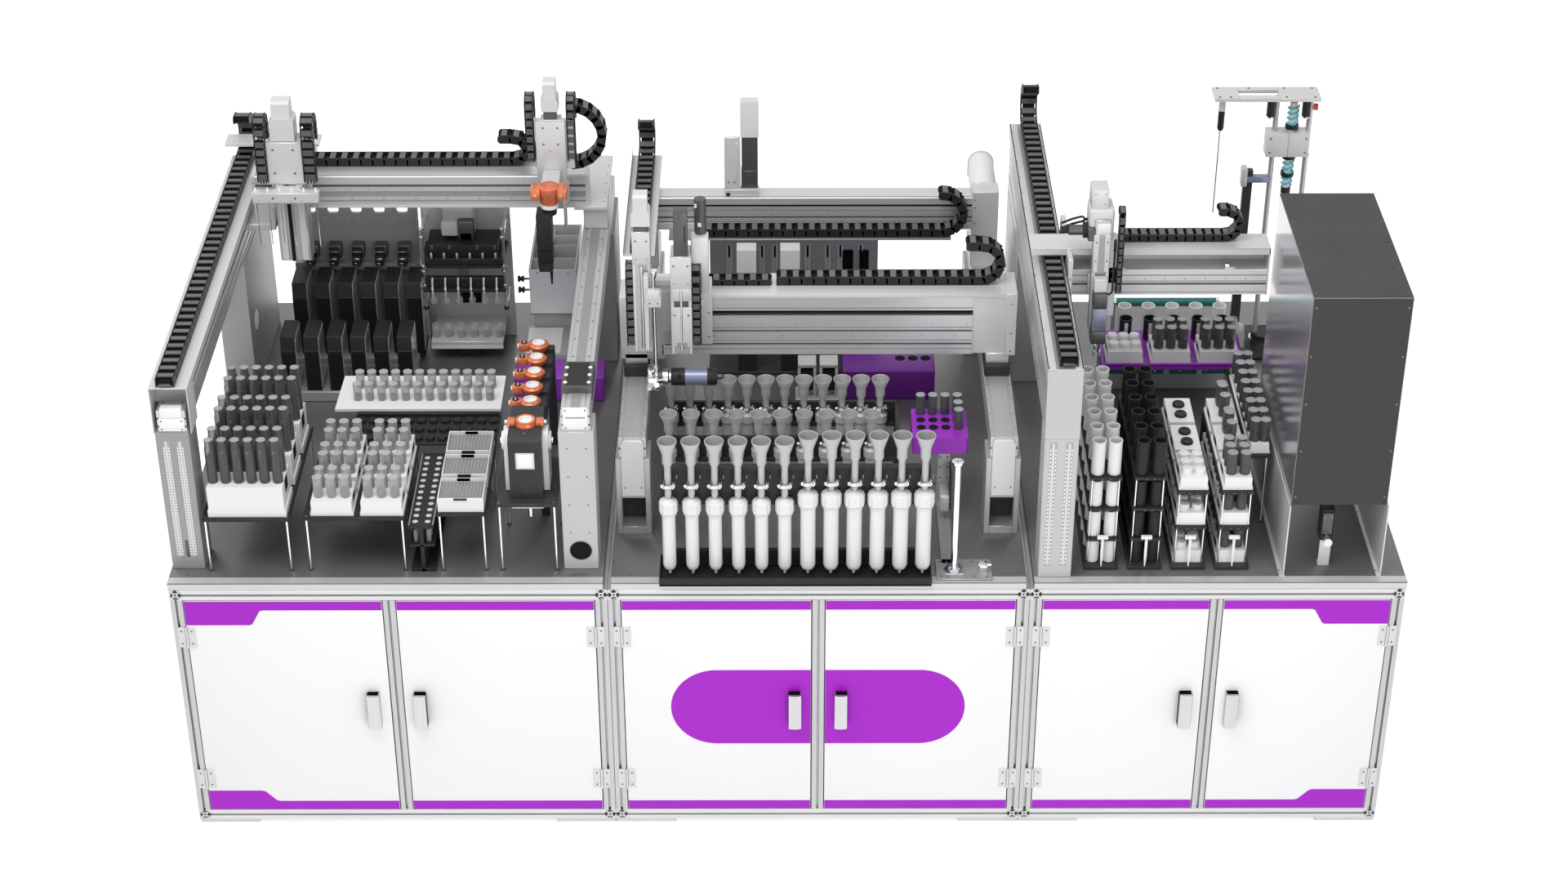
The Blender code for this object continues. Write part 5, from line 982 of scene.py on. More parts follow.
low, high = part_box("needle_bar")
shape = Shape("needleBar")
barZ = (1.755, 1.792)
shape.box((low.x, low.y, barZ[0]), (high.x, low.y + 0.035, barZ[1]), "paleSheet", 0.002)
shape.box((axis[0] + 0.010, low.y + 0.034, barZ[0] - 0.020), (axis[1] - 0.010, high.y, barZ[1]), "paleSheet",
          0.001)
shape.screws([(cx, low.y, (barZ[0] + barZ[1]) / 2) for cx in (low.x + 0.07, low.x + 0.145)], 0.004)
shape.screws([(low.x + 0.022 + 0.036 * k, low.y, barZ[0] + 0.010) for k in range(6)], 0.0015)
for k in range(6):
    place = (low.x + 0.010 + (high.x - low.x - 0.020) / 5 * k, low.y + 0.0175)
    shape.rod((*place, low.z + 0.012), (*place, high.z - 0.006), 0.0016, "chrome", 8)
    shape.rod((*place, low.z), (*place, low.z + 0.013), 0.0004, "chrome", 8, endRadius=0.0016)
    shape.turned([(0, barZ[1]), (0.0045, barZ[1]), (0.0045, barZ[1] + 0.006), (0.0030, high.z - 0.002),
                  (0.0016, high.z),
                  (0, high.z)], (*place, 0), "whitePlastic", 12)
    shape.rod((*place, barZ[0] - 0.006), (*place, barZ[0] + 0.001), 0.0035, "chrome", 10)
shape.done("needle_bar_body", "aluminium", "needle_bar")

# Capping axis: carriage with a looped chain, and its tool
capper = {"x": (-0.847, -0.738), "loop": 0.122, "ring": 1.962}
x = capper["x"]
middle = (x[0] + x[1]) / 2
shape = Shape("capperCarriage")
shape.box((x[0] + 0.020, front + 0.004, 1.700), (x[1] - 0.020, face - 0.020, 2.020), "aluminiumZ", 0.002)
shape.box((x[0] + 0.006, face - 0.022, 1.680), (x[1] - 0.006, face, 1.765), "paleSheet", 0.002)
shape.box((x[0] + 0.004, front, 1.806), (x[1] - 0.004, front + 0.012, 2.029), "paleSheet", 0.004, 2)
shape.box((x[0] + 0.002, front + 0.010, 1.850), (x[1] + 0.024, front + 0.030, 2.030), "paleSheet", 0.002)
shape.screws([(cx, front, cz) for cx in (x[0] + 0.030, x[1] - 0.030) for cz in (1.945, 2.005)], 0.0042,
             proud=swept)
shape.screws([(middle + dx, front, 1.92) for dx in (-0.006, 0.0)], 0.0018, proud=swept)
sideChain(shape, (x[0] - 0.030, x[0] + 0.000), (front + 0.004, front + 0.094), (1.872, 2.113))
sideChain(shape, (x[1] + 0.000, x[1] + 0.030), (front + 0.004, front + 0.094), (1.872, 2.113))
shape.box((x[0] - 0.010, front + 0.030, 1.880), (x[1] + 0.010, front + 0.060, 1.930), "greySheet", 0.002)
ring = []
radius = capper["loop"] - 0.015
for k in range(11):
    angle = math.radians(90 - 180 * k / 10)
    ring.append((x[1] + 0.010 + radius * math.cos(angle), front + 0.050,
                 capper["ring"] + radius * math.sin(angle)))
layLinks(shape, slimLink, ring, (0, 1, 0))
shape.rod((x[1] - 0.017, front + 0.018, 1.620), (x[1] - 0.017, front + 0.018, 1.830), 0.006, "chrome", 14)
shape.box((x[1] - 0.024, front + 0.002, 1.700), (x[1] - 0.011, front + 0.030, 1.830), "paleSheet", 0.002)
motorHead(shape, (middle - 0.028, middle + 0.028), (front + 0.010, front + 0.078), (2.026, 2.164), 0.26)
shape.done("capper_carriage_body", "pale_sheet", "capper_carriage")

toolFront = back(1.010)
spindle = (middle, toolFront + 0.045)
shape = Shape("capperTool")
shape.turned([(0, 1.800), (0.028, 1.800), (0.032, 1.806), (0.032, 1.832), (0.036, 1.838), (0.036, 1.862),
              (0.030, 1.866), (0, 1.866)],
             (*spindle, 0), "orange", 32)
for way in (-1, 1):
    inside, outside = middle + way * 0.028, middle + way * 0.062
    spanX = sorted((inside, outside))
    spanX[0], spanX[1] = max(spanX[0], -0.8585), min(spanX[1], -0.7325)
    shape.box((spanX[0], toolFront + 0.014, 1.822), (spanX[1], toolFront + 0.076, 1.862), "orange", 0.006, 2)
    shape.rod((middle + way * 0.052, toolFront + 0.045, 1.842),
              (middle + way * 0.060, toolFront + 0.045, 1.842), 0.011, "chrome", 16)
shape.screws([(middle + dx, toolFront + 0.014, 1.842) for dx in (-0.045, 0.040)], 0.005, "Y", "brass")
shape.turned([(0, 1.786), (0.030, 1.786), (0.030, 1.800), (0, 1.800)], (*spindle, 0), "whitePlastic", 28)
shape.turned([(0, 1.760), (0.022, 1.760), (0.026, 1.786), (0, 1.786)], (*spindle, 0), "blackPlastic", 28)
shape.box((middle - 0.030, toolFront + 0.060, 1.815), (middle + 0.030, front - 0.0003, 1.850), "paleSheet",
          0.002)
shape.box((middle - 0.046, toolFront, 1.590), (middle + 0.006, toolFront + 0.070, 1.775), "blackPlastic",
          0.005, 2)
shape.prism([(middle - 0.042, 1.560), (middle + 0.002, 1.560), (middle + 0.006, 1.600),
             (middle - 0.046, 1.600)],
            (toolFront + 0.002, toolFront + 0.068), "Y", "blackPlastic")
shape.box((middle - 0.046, toolFront - 0.0004, 1.640), (middle + 0.006, toolFront + 0.0705, 1.644),
          "slotShade")
shape.box((middle - 0.004, toolFront + 0.004, 1.700), (middle + 0.010, toolFront + 0.030, 1.760), "darkMetal",
          0.002)
shape.turned([(0, 1.497), (0.003, 1.500), (0.006, 1.556), (0.010, 1.562), (0, 1.562)],
             (middle - 0.004, toolFront + 0.030, 0), "blackPlastic", 16)
shape.done("capper_tool_body", "black_plastic", "capper_tool")
print("Left bridge dressed")

# Middle module: two low rails with white front covers
lowRail = {"capInset": 0.020, "capZ": (1.135, 1.340), "windowZ": (1.014, 1.125), "railZ": (1.273, 1.350),
           "legs": ((0.280, 0.400), (1.440, 1.700)),
        "rail": (0.290, 1.710), "riserTop": 1.640, "tray": (0.980, 1.740), "trayZ": (1.636, 1.662)}
for word in ("left", "right"):
    name = "rail_middle_" + word
    low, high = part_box(name)
    x = (low.x, low.x + 0.112) if word == "left" else (high.x - 0.112, high.x)
    middle = (x[0] + x[1]) / 2
    railX = (x[0] + 0.012, x[1] - 0.012)
    shape = Shape("lowRail" + word.title())
    frontLeg, rearLeg = [[back(depth) for depth in pair] for pair in lowRail["legs"]]
    railY = [back(depth) for depth in lowRail["rail"]]
    window, cap = lowRail["windowZ"], lowRail["capZ"]
    shape.box((x[0], frontLeg[0], benchZ), (x[0] + 0.018, frontLeg[1], lowRail["railZ"][0]), "aluminiumZ",
              0.0015)
    shape.box((x[1] - 0.018, frontLeg[0], benchZ), (x[1], frontLeg[1], lowRail["railZ"][0]), "aluminiumZ",
              0.0015)
    shape.box((x[0] + 0.017, frontLeg[0] + 0.060, benchZ), (x[1] - 0.017, frontLeg[1], lowRail["railZ"][0]),
              "darkPlate")
    shape.box((x[0] + 0.017, frontLeg[0], window[1]),
              (x[1] - 0.017, frontLeg[1] - 0.010, lowRail["railZ"][0]), "aluminiumZ", 0.001)
    shape.box((x[0] + 0.017, frontLeg[0], benchZ), (x[1] - 0.017, frontLeg[0] + 0.062, window[0]),
              "aluminiumZ", 0.001)
    capX = (x[0] + lowRail["capInset"], x[1] - lowRail["capInset"])
    shape.prism(arc((capX[1] - 0.014, cap[1] - 0.014), 0.014, 0, 90, 6)
                + arc((capX[0] + 0.014, cap[1] - 0.014), 0.014, 90, 180, 6)
                + [(capX[0], cap[0]), (capX[1], cap[0])], (frontLeg[0] - 0.002, frontLeg[0] + 0.020), "Y",
                "whitePlastic")
    shape.screws([(capX[0] + 0.010, frontLeg[0] - 0.002, cap[0] + 0.030),
                  (capX[1] - 0.010, frontLeg[0] - 0.002, cap[0] + 0.030)], 0.003)
    shape.box((x[0], rearLeg[0], benchZ), (x[1], rearLeg[1], lowRail["railZ"][0]), "aluminiumZ", 0.0015)
    ridgedBar(shape, railX, railY, lowRail["railZ"], "aluminiumY", (0.45,))
    shape.screws([(railX[0] + 0.006, railY[0] + 0.05 + 0.093 * k, lowRail["railZ"][1]) for k in range(15)],
                 0.0024, "Z")
    shape.screws([(railX[1] - 0.006, railY[0] + 0.05 + 0.093 * k, lowRail["railZ"][1]) for k in range(15)],
                 0.0024, "Z")
    riserY = (back(1.440), back(1.520))
    shape.box((x[0] + 0.010, riserY[0], lowRail["railZ"][1] - 0.002),
              (x[1] - 0.010, riserY[1], lowRail["riserTop"]), "paleSheet", 0.0015)
    shape.screws([(x[0] + 0.020, riserY[0], lowRail["riserTop"] - rise) for rise in (0.03, 0.06, 0.12)],
                 0.003)
    if word == "left":
        tray = [back(depth) for depth in lowRail["tray"]]
        trayX, trayZ = (x[0] + 0.004, x[1] - 0.002), lowRail["trayZ"]
        shape.box((trayX[0], tray[0], trayZ[0]), (trayX[1], tray[1], trayZ[0] + 0.003), "paleSheet", 0.001)
        shape.box((trayX[0], tray[0], trayZ[0]), (trayX[0] + 0.002, tray[1], trayZ[1]), "paleSheet", 0.0008)
    else:
        outline = arc((middle, 1.610), 0.044, 0, 180, 16) + [(middle - 0.044, 1.560), (middle + 0.044, 1.560)]
        shape.prism(outline, (back(1.500), back(1.732)), "Y", "whitePlastic")
        lid = arc((middle, 1.610), 0.0465, 0, 180, 16) + [(middle - 0.0465, 1.560), (middle + 0.0465, 1.560)]
        shape.prism(lid, (back(1.728), back(1.740)), "Y", "offWhite")
    shape.done("cabinets", "aluminium", name)

# Front beam of the middle gantry
low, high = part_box("bridge_middle")
gantry = {"y": (0.690, 0.780), "z": (1.425, 1.640), "x": (-0.411, 0.611), "foot": 1.3504}
y = [back(depth) for depth in gantry["y"]]
z = gantry["z"]
shape = Shape("middleBridge")
beamAlongX(shape, gantry["x"], y, z,
           [(0.020, 0.023, 0.003), (0.035, 0.043, 0.006), (0.050, 0.054, 0.003), (0.085, 0.092, 0.006),
                                     (0.099, 0.103, 0.002), (0.146, 0.152, 0.005), (0.152, 0.165, 0.008),
            (0.172, 0.176, 0.003)])
shape.box((gantry["x"][0], y[0] + 0.0068, z[0] + 0.150), (gantry["x"][1], y[0] + 0.0085, z[0] + 0.166),
          "slotShade")
for k in range(9):
    shape.screws([(gantry["x"][0] + 0.06 + 0.113 * k, y[0], z[0] + 0.070)], 0.0020)
    shape.screws([(gantry["x"][0] + 0.10 + 0.113 * k, y[0], z[0] + 0.112)], 0.0016)
for k in range(26):
    shape.screws([(gantry["x"][0] + 0.02 + 0.012 * k, y[0], z[0] + 0.141)], 0.0012)
shape.box((low.x, y[0], z[0] - 0.020), (-0.401, y[1] + 0.040, z[1]), "paleSheet", 0.006, 2)
shape.screws([(low.x + dx, y[0], z[0] + rise) for dx in (0.024, 0.120) for rise in (0.035, 0.100, 0.165)],
             0.0036)
for span in ((-0.539, -0.455), (0.655, 0.739)):
    shape.box((span[0], y[0] - 0.020, gantry["foot"]), (span[1], y[1] + 0.060, gantry["foot"] + 0.040),
              "darkPlate", 0.003)
    shape.box((span[0] + 0.004, y[0], gantry["foot"] + 0.039), (span[1] - 0.004, y[1] + 0.050, z[0] + 0.002),
              "aluminiumX", 0.002)
shape.box((0.611, y[0] + 0.006, z[0]), (0.723, y[1], z[1] - 0.001), "aluminiumX", 0.001)
shape.box((0.719, y[0] - 0.004, z[0] - 0.004), (high.x, y[1] + 0.060, z[1] + 0.012), "paleSheet", 0.002)
shape.screws([(0.738, y[0] - 0.004, z[0] + rise) for rise in (0.012, 0.080, 0.190)], 0.003)
shape.box((-0.449, y[0] - 0.001, z[1] - 0.002), (0.722, y[1] + 0.060, z[1] + 0.009), "paleSheet", 0.0025)
shape.box((-0.449, y[0] - 0.0014, z[1] - 0.003), (0.722, y[0] + 0.002, z[1] + 0.0095), "offWhite", 0.0010)
base = z[1] + 0.009
points = [(x, y[1], zed) for x, zed in chainPoints(-0.030, 0.640, base + 0.0005, 0.078, 0.055, 0.040, 0.030)]
layLinks(shape, slimLink, points, (0, 1, 0))
flatLink = linkPattern("flatLink", 0.040, 0.050, 0.020)
layLinks(shape, flatLink, [(-0.371 + 0.040 * k, y[1] - 0.004, base + 0.0105) for k in range(9)], (0, 1, 0))
shape.done("bridge_middle_body", "aluminium", "bridge_middle")

# Two vertical axes on the front beam
front = back(0.570)
face = y[0] - 0.0003
left = -0.513
shape = Shape("tubeCarriage")
shape.box((left, face - 0.030, 1.480), (left + 0.270, face, 1.720), "paleSheet", 0.004, 2)
shape.screws([(left + dx, face - 0.030, 1.480 + rise) for dx in (0.012, 0.258)
              for rise in (0.03, 0.12, 0.21)], 0.003)
for span, zSpan in (((left + 0.020, left + 0.075), (1.500, 1.940)),
                    ((left + 0.140, left + 0.205), (1.490, 1.850))):
    shape.box((span[0], front + 0.006, zSpan[0]), (span[1], face - 0.028, zSpan[1]), "aluminiumZ", 0.002)
    for edge in (span[0] - 0.001, span[1] - 0.009):
        shape.box((edge, front + 0.002, zSpan[0] + 0.004), (edge + 0.010, front + 0.012, zSpan[1] - 0.110),
                  "paleSheet", 0.001)
    centre = (span[0] + span[1]) / 2
    shape.rod((centre, front + 0.005, zSpan[0] + 0.02), (centre, front + 0.005, zSpan[1] - 0.120), 0.006,
              "chrome", 12)
    shape.box((span[0] - 0.002, front, zSpan[1] - 0.115), (span[1] + 0.002, front + 0.030, zSpan[1] - 0.002),
              "offWhite", 0.004, 2)
    shape.screws([(cx, front, zSpan[1] - 0.030) for cx in (span[0] + 0.010, span[1] - 0.010)], 0.0040,
                 proud=swept)
    shape.screws([(cx, front, zSpan[1] - 0.095) for cx in (span[0] + 0.010, span[1] - 0.010)], 0.0026,
                 proud=swept)
motorHead(shape, (left + 0.018, left + 0.078), (front + 0.006, front + 0.070), (1.932, 2.065), 0.22)
second = (left + 0.140, left + 0.205)
shape.box((second[0] + 0.002, front + 0.001, 1.690), (second[1] - 0.002, front + 0.036, 1.745), "paleSheet",
          0.003, 2)
shape.prism([(second[0] + 0.006, 1.668), (second[1] - 0.006, 1.668), (second[1] - 0.012, 1.692),
             (second[0] + 0.012, 1.692)],
            (front + 0.003, front + 0.040), "Y", "darkMetal")
shape.box((second[0] - 0.002, front - 0.0002, 1.520), (second[1] + 0.002, front + 0.028, 1.668), "offWhite",
          0.004, 2)
shape.screws([(cx, front - 0.0002, 1.640) for cx in (second[0] + 0.010, second[1] - 0.010)], 0.0036)
shape.box((second[0] + 0.014, front - 0.0006, 1.520), (second[1] - 0.014, front + 0.010, 1.540), "greySheet",
          0.002)
shape.box((left + 0.151, front + 0.011, 1.846), (left + 0.196, front + 0.059, 2.005), "darkMetal", 0.003, 2)
shape.screws([(left + 0.160, front + 0.011, 1.995), (left + 0.188, front + 0.011, 1.995),
              (left + 0.160, front + 0.011, 1.862)], 0.0022)
shape.box((left + 0.186, front + 0.0095, 1.90), (left + 0.189, front + 0.012, 1.96), "slotShade")
shape.box((left + 0.080, front + 0.050, 1.550), (left + 0.142, face - 0.028, 1.700), "greySheet", 0.002)
sideChain(shape, (left - 0.006, left + 0.024), (front + 0.006, front + 0.086), (1.520, 1.815))
sideChain(shape, (left + 0.206, left + 0.236), (front + 0.006, front + 0.086), (1.520, 1.810))
shape.box((left + 0.205, front + 0.040, 1.700), (left + 0.262, face - 0.028, 1.900), "paleSheet", 0.006, 2)
shape.box((left + 0.212, front + 0.039, 1.720), (left + 0.240, front + 0.0405, 1.780), "greySheet", 0.001)
shape.rod((left + 0.236, front + 0.080, 1.898), (left + 0.236, front + 0.080, 2.022), 0.0195, "darkMetal", 8)
shape.box((left + 0.218, front + 0.060, 1.998), (left + 0.226, front + 0.066, 2.010), "offWhite")
shape.box((left + 0.228, front + 0.060, 1.930), (left + 0.240, front + 0.066, 1.944), "offWhite")
shape.box((left + 0.200, front + 0.030, 1.655), (left + 0.245, front + 0.044, 1.678), "offWhite", 0.002)
shape.screws([(left + 0.232, front + 0.030, 1.6665)], 0.003)
shape.done("tube_carriage_body", "pale_sheet", "tube_carriage")

tube = (left + 0.088, back(0.525))
shape = Shape("tubeGripper")
shape.turned([(0, 1.440), (0.0065, 1.441), (0.0065, 1.800), (0.0105, 1.812), (0.0105, 1.826), (0.0125, 1.826),
              (0.0125, 1.830), (0, 1.830)],
             (*tube, 0), "chrome", 20)
shape.box((tube[0] - 0.026, back(0.512), 1.700), (tube[0] + 0.022, front - 0.0004, 1.740), "offWhite", 0.004,
          2)
shape.box((tube[0] - 0.022, back(0.511), 1.722), (tube[0] + 0.018, back(0.540), 1.758), "offWhite", 0.003, 2)
shape.screws([(tube[0] + dx, back(0.512), 1.716) for dx in (-0.014, 0.012)], 0.0034)
shape.box((tube[0] - 0.034, back(0.535), 1.530), (tube[0] - 0.018, front - 0.0004, 1.800), "paleSheet", 0.002)
shape.box((tube[0] - 0.030, back(0.500), 1.398), (tube[0] + 0.022, back(0.548), 1.440), "chrome", 0.003, 2)
shape.box((tube[0] - 0.028, back(0.505), 1.436), (tube[0] - 0.006, back(0.548), 1.470), "chrome", 0.003, 2)
shape.screws([(tube[0] + 0.002, back(0.500), 1.420)], 0.009, "Y", "chrome")
gripY, gripZ = back(0.530), 1.434
shape.turned([(0, 0), (0.024, 0), (0.026, 0.004), (0.026, 0.018), (0.020, 0.022), (0.020, 0.028), (0, 0.028)],
             (tube[0] + 0.020, gripY, gripZ), "chrome", 24, "X")
shape.turned([(0, 0), (0.027, 0), (0.029, 0.003), (0.029, 0.046), (0, 0.046)],
             (tube[0] + 0.048, gripY, gripZ), "blackPlastic", 28, "X")
shape.turned([(0, 0), (0.0285, 0), (0.0285, 0.072), (0, 0.072)], (tube[0] + 0.094, gripY, gripZ), "blueGrey",
             28, "X")
shape.turned([(0, 0), (0.029, 0), (0.029, 0.020), (0.026, 0.032), (0, 0.032)],
             (tube[0] + 0.166, gripY, gripZ), "blackPlastic", 28, "X")
shape.turned([(0, 0), (0.010, 0), (0.010, 0.014), (0.005, 0.018), (0.004, 0.026), (0, 0.026)],
             (tube[0] + 0.198, gripY, gripZ), "darkMetal", 16, "X")
shape.box((tube[0] + 0.075, gripY - 0.0295, gripZ + 0.010), (tube[0] + 0.079, gripY - 0.020, gripZ + 0.022),
          "slotShade")
shape.done("tube_gripper_body", "frosted", "tube_gripper")

# Fixed rear beam and its lift
low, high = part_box("rear_beam")
rear = {"y": (1.440, 1.520), "z": (1.510, 1.6199)}
y = [back(depth) for depth in rear["y"]]
shape = Shape("rearBeam")
beamAlongX(shape, (low.x, high.x), y, rear["z"],
           [(0.016, 0.020, 0.003), (0.030, 0.038, 0.006), (0.058, 0.062, 0.002), (0.074, 0.084, 0.009)])
shape.box((low.x, y[0] + 0.008, rear["z"][0] + 0.073), (high.x, y[0] + 0.0095, rear["z"][0] + 0.085),
          "slotShade")
shape.screws([(low.x + 0.1 + 0.02 * k, y[0], rear["z"][0] + 0.066) for k in range(30)], 0.0014)
shape.box((low.x, y[0] - 0.010, 1.500), (high.x, y[0] + 0.004, 1.526), "paleSheet", 0.0015)
shape.box((low.x + 0.040, y[0] - 0.090, 1.500), (0.575, y[0] - 0.008, 1.504), "greySheet", 0.001)
route = chainPoints(low.x + 0.160, 0.545, 1.5052, 0.088, 0.048, 0.040, 0.030)
layLinks(shape, slimLink, [(px, y[0] - 0.050, pz) for px, pz in route], (0, 1, 0))
shape.done("cabinets", "aluminium", "rear_beam")

low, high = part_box("rear_carriage")
shape = Shape("rearLift")
shape.box((low.x, y[0] + 0.004, low.z), (high.x, y[1] - 0.004, low.z + 0.012), "paleSheet", 0.002)
shape.box((low.x, y[0] + 0.004, low.z + 0.011), (low.x + 0.118, y[0] + 0.018, low.z + 0.030), "paleSheet",
          0.002)
shape.box((low.x, y[0] + 0.006, low.z + 0.010), (low.x + 0.056, y[0] + 0.018, 1.850), "paleSheet", 0.002)
shape.screws([(low.x + dx, y[0] + 0.006, low.z + rise) for dx in (0.014, 0.034) for rise in (0.022, 0.058)],
             0.0030)
shape.rod((low.x + 0.012, y[0] + 0.006, low.z + 0.012), (low.x + 0.012, y[0] + 0.0035, low.z + 0.012), 0.008,
          "chrome", 16)
shape.box((low.x + 0.040, y[0] + 0.004, 1.680), (low.x + 0.048, y[0] + 0.012, 1.830), "paleSheet", 0.001)
shape.box((low.x + 0.058, y[0] + 0.018, low.z + 0.012), (high.x - 0.004, y[0] + 0.064, 1.716), "darkMetal",
          0.002)
shape.box((low.x + 0.060, y[0] + 0.020, 1.700), (high.x - 0.004, y[0] + 0.066, 1.850), "darkMetal", 0.002)
shape.prism([(y[0] + 0.016, 1.846), (y[0] + 0.016, 1.880), (y[0] + 0.026, 1.975), (y[0] + 0.066, 1.975),
             (y[0] + 0.066, 1.846)],
            (low.x + 0.056, high.x - 0.0005), "X", "offWhite")
shape.done("rear_carriage_body", "pale_sheet", "rear_carriage")
print("Middle gantry dressed")

# Right module: tall rail and cantilever bridge
low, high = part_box("rail_right")
tall = {"base": 1.500, "front": 0.030, "legDeep": 0.120, "rearLeg": (1.250, 1.740)}
x, y = (low.x, high.x), (back(tall["front"]), high.y)
z = (tall["base"], high.z)
legX = (x[0] + 0.002, x[1] - 0.002)
shape = Shape("tallRail")
# Front leg in light: lit copy of the leg sheet, painted light
shape.box((legX[0], y[0], benchZ), (legX[1], y[0] + tall["legDeep"], z[0] + 0.002), "legLit", 0.002)
shape.box((legX[0], back(tall["rearLeg"][0]), benchZ), (legX[1], back(tall["rearLeg"][1]), z[0] + 0.002),
          "aluminiumZ", 0.002)
middle = (x[0] + x[1]) / 2
dottedStrips(shape, y[0], (tableZ + 0.045, z[0] - 0.010), (middle - 0.025, middle + 0.025), 0.0145)
outline = [(x[0] + 0.004, z[0]), (x[1] - 0.004, z[0])]
for step in (0.060, 0.176):
    outline += [(x[1] - 0.004, z[0] + step), (x[1] - 0.010, z[0] + step), (x[1] - 0.010, z[0] + step + 0.014),
                (x[1] - 0.004, z[0] + step + 0.014)]
outline += [(x[1] - 0.004, z[1] - 0.003), (x[0] + 0.004, z[1] - 0.003)]
for step in (0.190, 0.060):
    outline += [(x[0] + 0.004, z[0] + step + 0.014), (x[0] + 0.010, z[0] + step + 0.014),
                (x[0] + 0.010, z[0] + step), (x[0] + 0.004, z[0] + step)]
shape.prism(outline, (y[0] + 0.004, y[1] - 0.002), "Y", "aluminiumY")
for way, edge in ((1, x[0]), (-1, x[1])):
    inner = edge + way * 0.0265
    shape.box((min(edge, inner), y[0], z[1] - 0.004), (max(edge, inner), y[1], z[1]), "paleSheet", 0.001)
    shape.screws([(edge + way * 0.006, y[0] + 0.012 + 0.118 * k, z[1]) for k in range(15)], 0.0022, "Z")
shape.box((x[0] + 0.026, y[0] + 0.004, z[1] - 0.004), (x[1] - 0.026, y[1], z[1] - 0.002), "greySheet")
shape.box((x[0], y[0] + 0.002, z[1] - 0.052), (x[0] + 0.0045, y[1], z[1]), "paleSheet", 0.001)
shape.box((x[1] - 0.0045, y[0] + 0.002, z[1] - 0.034), (x[1], y[1], z[1]), "paleSheet", 0.001)
# Front face of the rail in the lit copy of the leg sheet: painted light
shape.box((x[0], y[0], z[0] + 0.001), (x[1], y[0] + 0.005, z[1] - 0.0005), "legLit", 0.0015)
shape.screws([(x[0] + 0.004, y[0] + 0.20 + 0.11 * k, z[0] + 0.035) for k in range(13)], 0.004, "-X")
shape.done("cabinets", "aluminium", "rail_right")

low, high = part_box("bridge_right")
arm = {"y": (0.705, 0.785), "z": (1.640, 1.732), "lid": 1.812, "lip": 0.024, "plateY": (0.625, 0.945),
       "step": 0.016}
x, y = (0.9073, high.x), [back(depth) for depth in arm["y"]]
shape = Shape("rightBridge")
beamAlongX(shape, (x[0] + 0.014, x[1] - 0.004), y, arm["z"],
           [(0.008, 0.011, 0.002), (0.036, 0.044, 0.006), (0.048, 0.052, 0.002), (0.070, 0.074, 0.003)])
shape.screws([(x[0] + 0.26 + 0.066 * k, y[0], arm["z"][0] + 0.058) for k in range(6)], 0.0022, proud=swept)
shape.box((x[0], back(arm["plateY"][0]), 1.620),
          (x[0] + arm["step"], back(arm["plateY"][1]), arm["lid"] - 0.001), "paleSheet", 0.003)
shape.screws([(x[0] + 0.008, back(arm["plateY"][0]), 1.640 + 0.05 * k) for k in range(3)], 0.003)
lidY = (y[0] - 0.004, y[1] + 0.020)
shape.box((low.x, lidY[0], arm["lid"] - 0.003), (x[1], lidY[1], arm["lid"]), "paleSheet", 0.001)
shape.box((low.x, lidY[0], arm["lid"] - arm["lip"]), (x[1], lidY[0] + 0.003, arm["lid"] - 0.0002), "offWhite",
          0.001)
shape.box((x[1] - 0.005, lidY[0], arm["z"][0]), (x[1], lidY[1], arm["lid"] - 0.001), "paleSheet", 0.001)
shape.box((x[0] + 0.016, y[1] - 0.004, arm["z"][1] - 0.002), (x[1] - 0.004, y[1], arm["lid"] - 0.002),
          "offWhite", 0.0005)
shape.box((x[0] + 0.520, y[1] - 0.005, arm["z"][1] + 0.028),
          (x[0] + 0.610, y[1] - 0.0035, arm["z"][1] + 0.044), "slotShade", 0.001)
shape.screws([(x[1] - 0.022 - 0.07 * k, lidY[1] - 0.008, arm["lid"]) for k in range(8)], 0.002, "Z")
for spot in (x[0] + 0.160, x[0] + 0.520):
    shape.box((spot, y[0] + 0.010, arm["z"][1] - 0.0005), (spot + 0.016, y[0] + 0.026, arm["z"][1] + 0.014),
              "chrome", 0.002)
    shape.box((spot, y[0] + 0.004, arm["z"][1] - 0.0005), (spot + 0.036, y[0] + 0.016, arm["z"][1] + 0.004),
              "paleSheet", 0.001)
shortLink = linkPattern("shortLink", 0.030, 0.050, 0.026)
route = chainPoints(x[0] + 0.180, 1.425, arm["lid"] + 0.0005, 0.0595, 0.030, 0.030, 0.026)
layLinks(shape, shortLink, [(px, y[1] - 0.015, pz) for px, pz in route], (0, 1, 0))
shape.done("bridge_right_body", "aluminium", "bridge_right")

front, face, left = back(0.615), y[0] - 0.0003, 0.980
shape = Shape("vialCarriage")
shape.box((left, face - 0.020, 1.6505), (left + 0.112, face, 1.725), "paleSheet", 0.003)
shape.screws([(left + 0.092, face - 0.020, 1.665), (left + 0.106, face - 0.020, 1.710)], 0.003)
shape.box((left + 0.006, front + 0.008, 1.540), (left + 0.056, face - 0.018, 1.955), "aluminiumZ", 0.002)
for edge in (left + 0.004, left + 0.048):
    shape.box((edge, front + 0.003, 1.545), (edge + 0.010, front + 0.012, 1.780), "paleSheet", 0.001)
shape.box((left + 0.004, front, 1.770), (left + 0.022, front + 0.020, 1.905), "offWhite", 0.003)
shape.box((left + 0.040, front, 1.770), (left + 0.058, front + 0.020, 1.905), "offWhite", 0.003)
shape.box((left + 0.020, front + 0.004, 1.775), (left + 0.042, front + 0.020, 1.900), "greySheet", 0.001)
shape.screws([(cx, front, cz) for cx in (left + 0.013, left + 0.049) for cz in (1.812, 1.880)], 0.0034,
             proud=swept)
shape.box((left + 0.057, front + 0.020, 1.600), (left + 0.084, face - 0.018, 1.880), "paleSheet", 0.002)
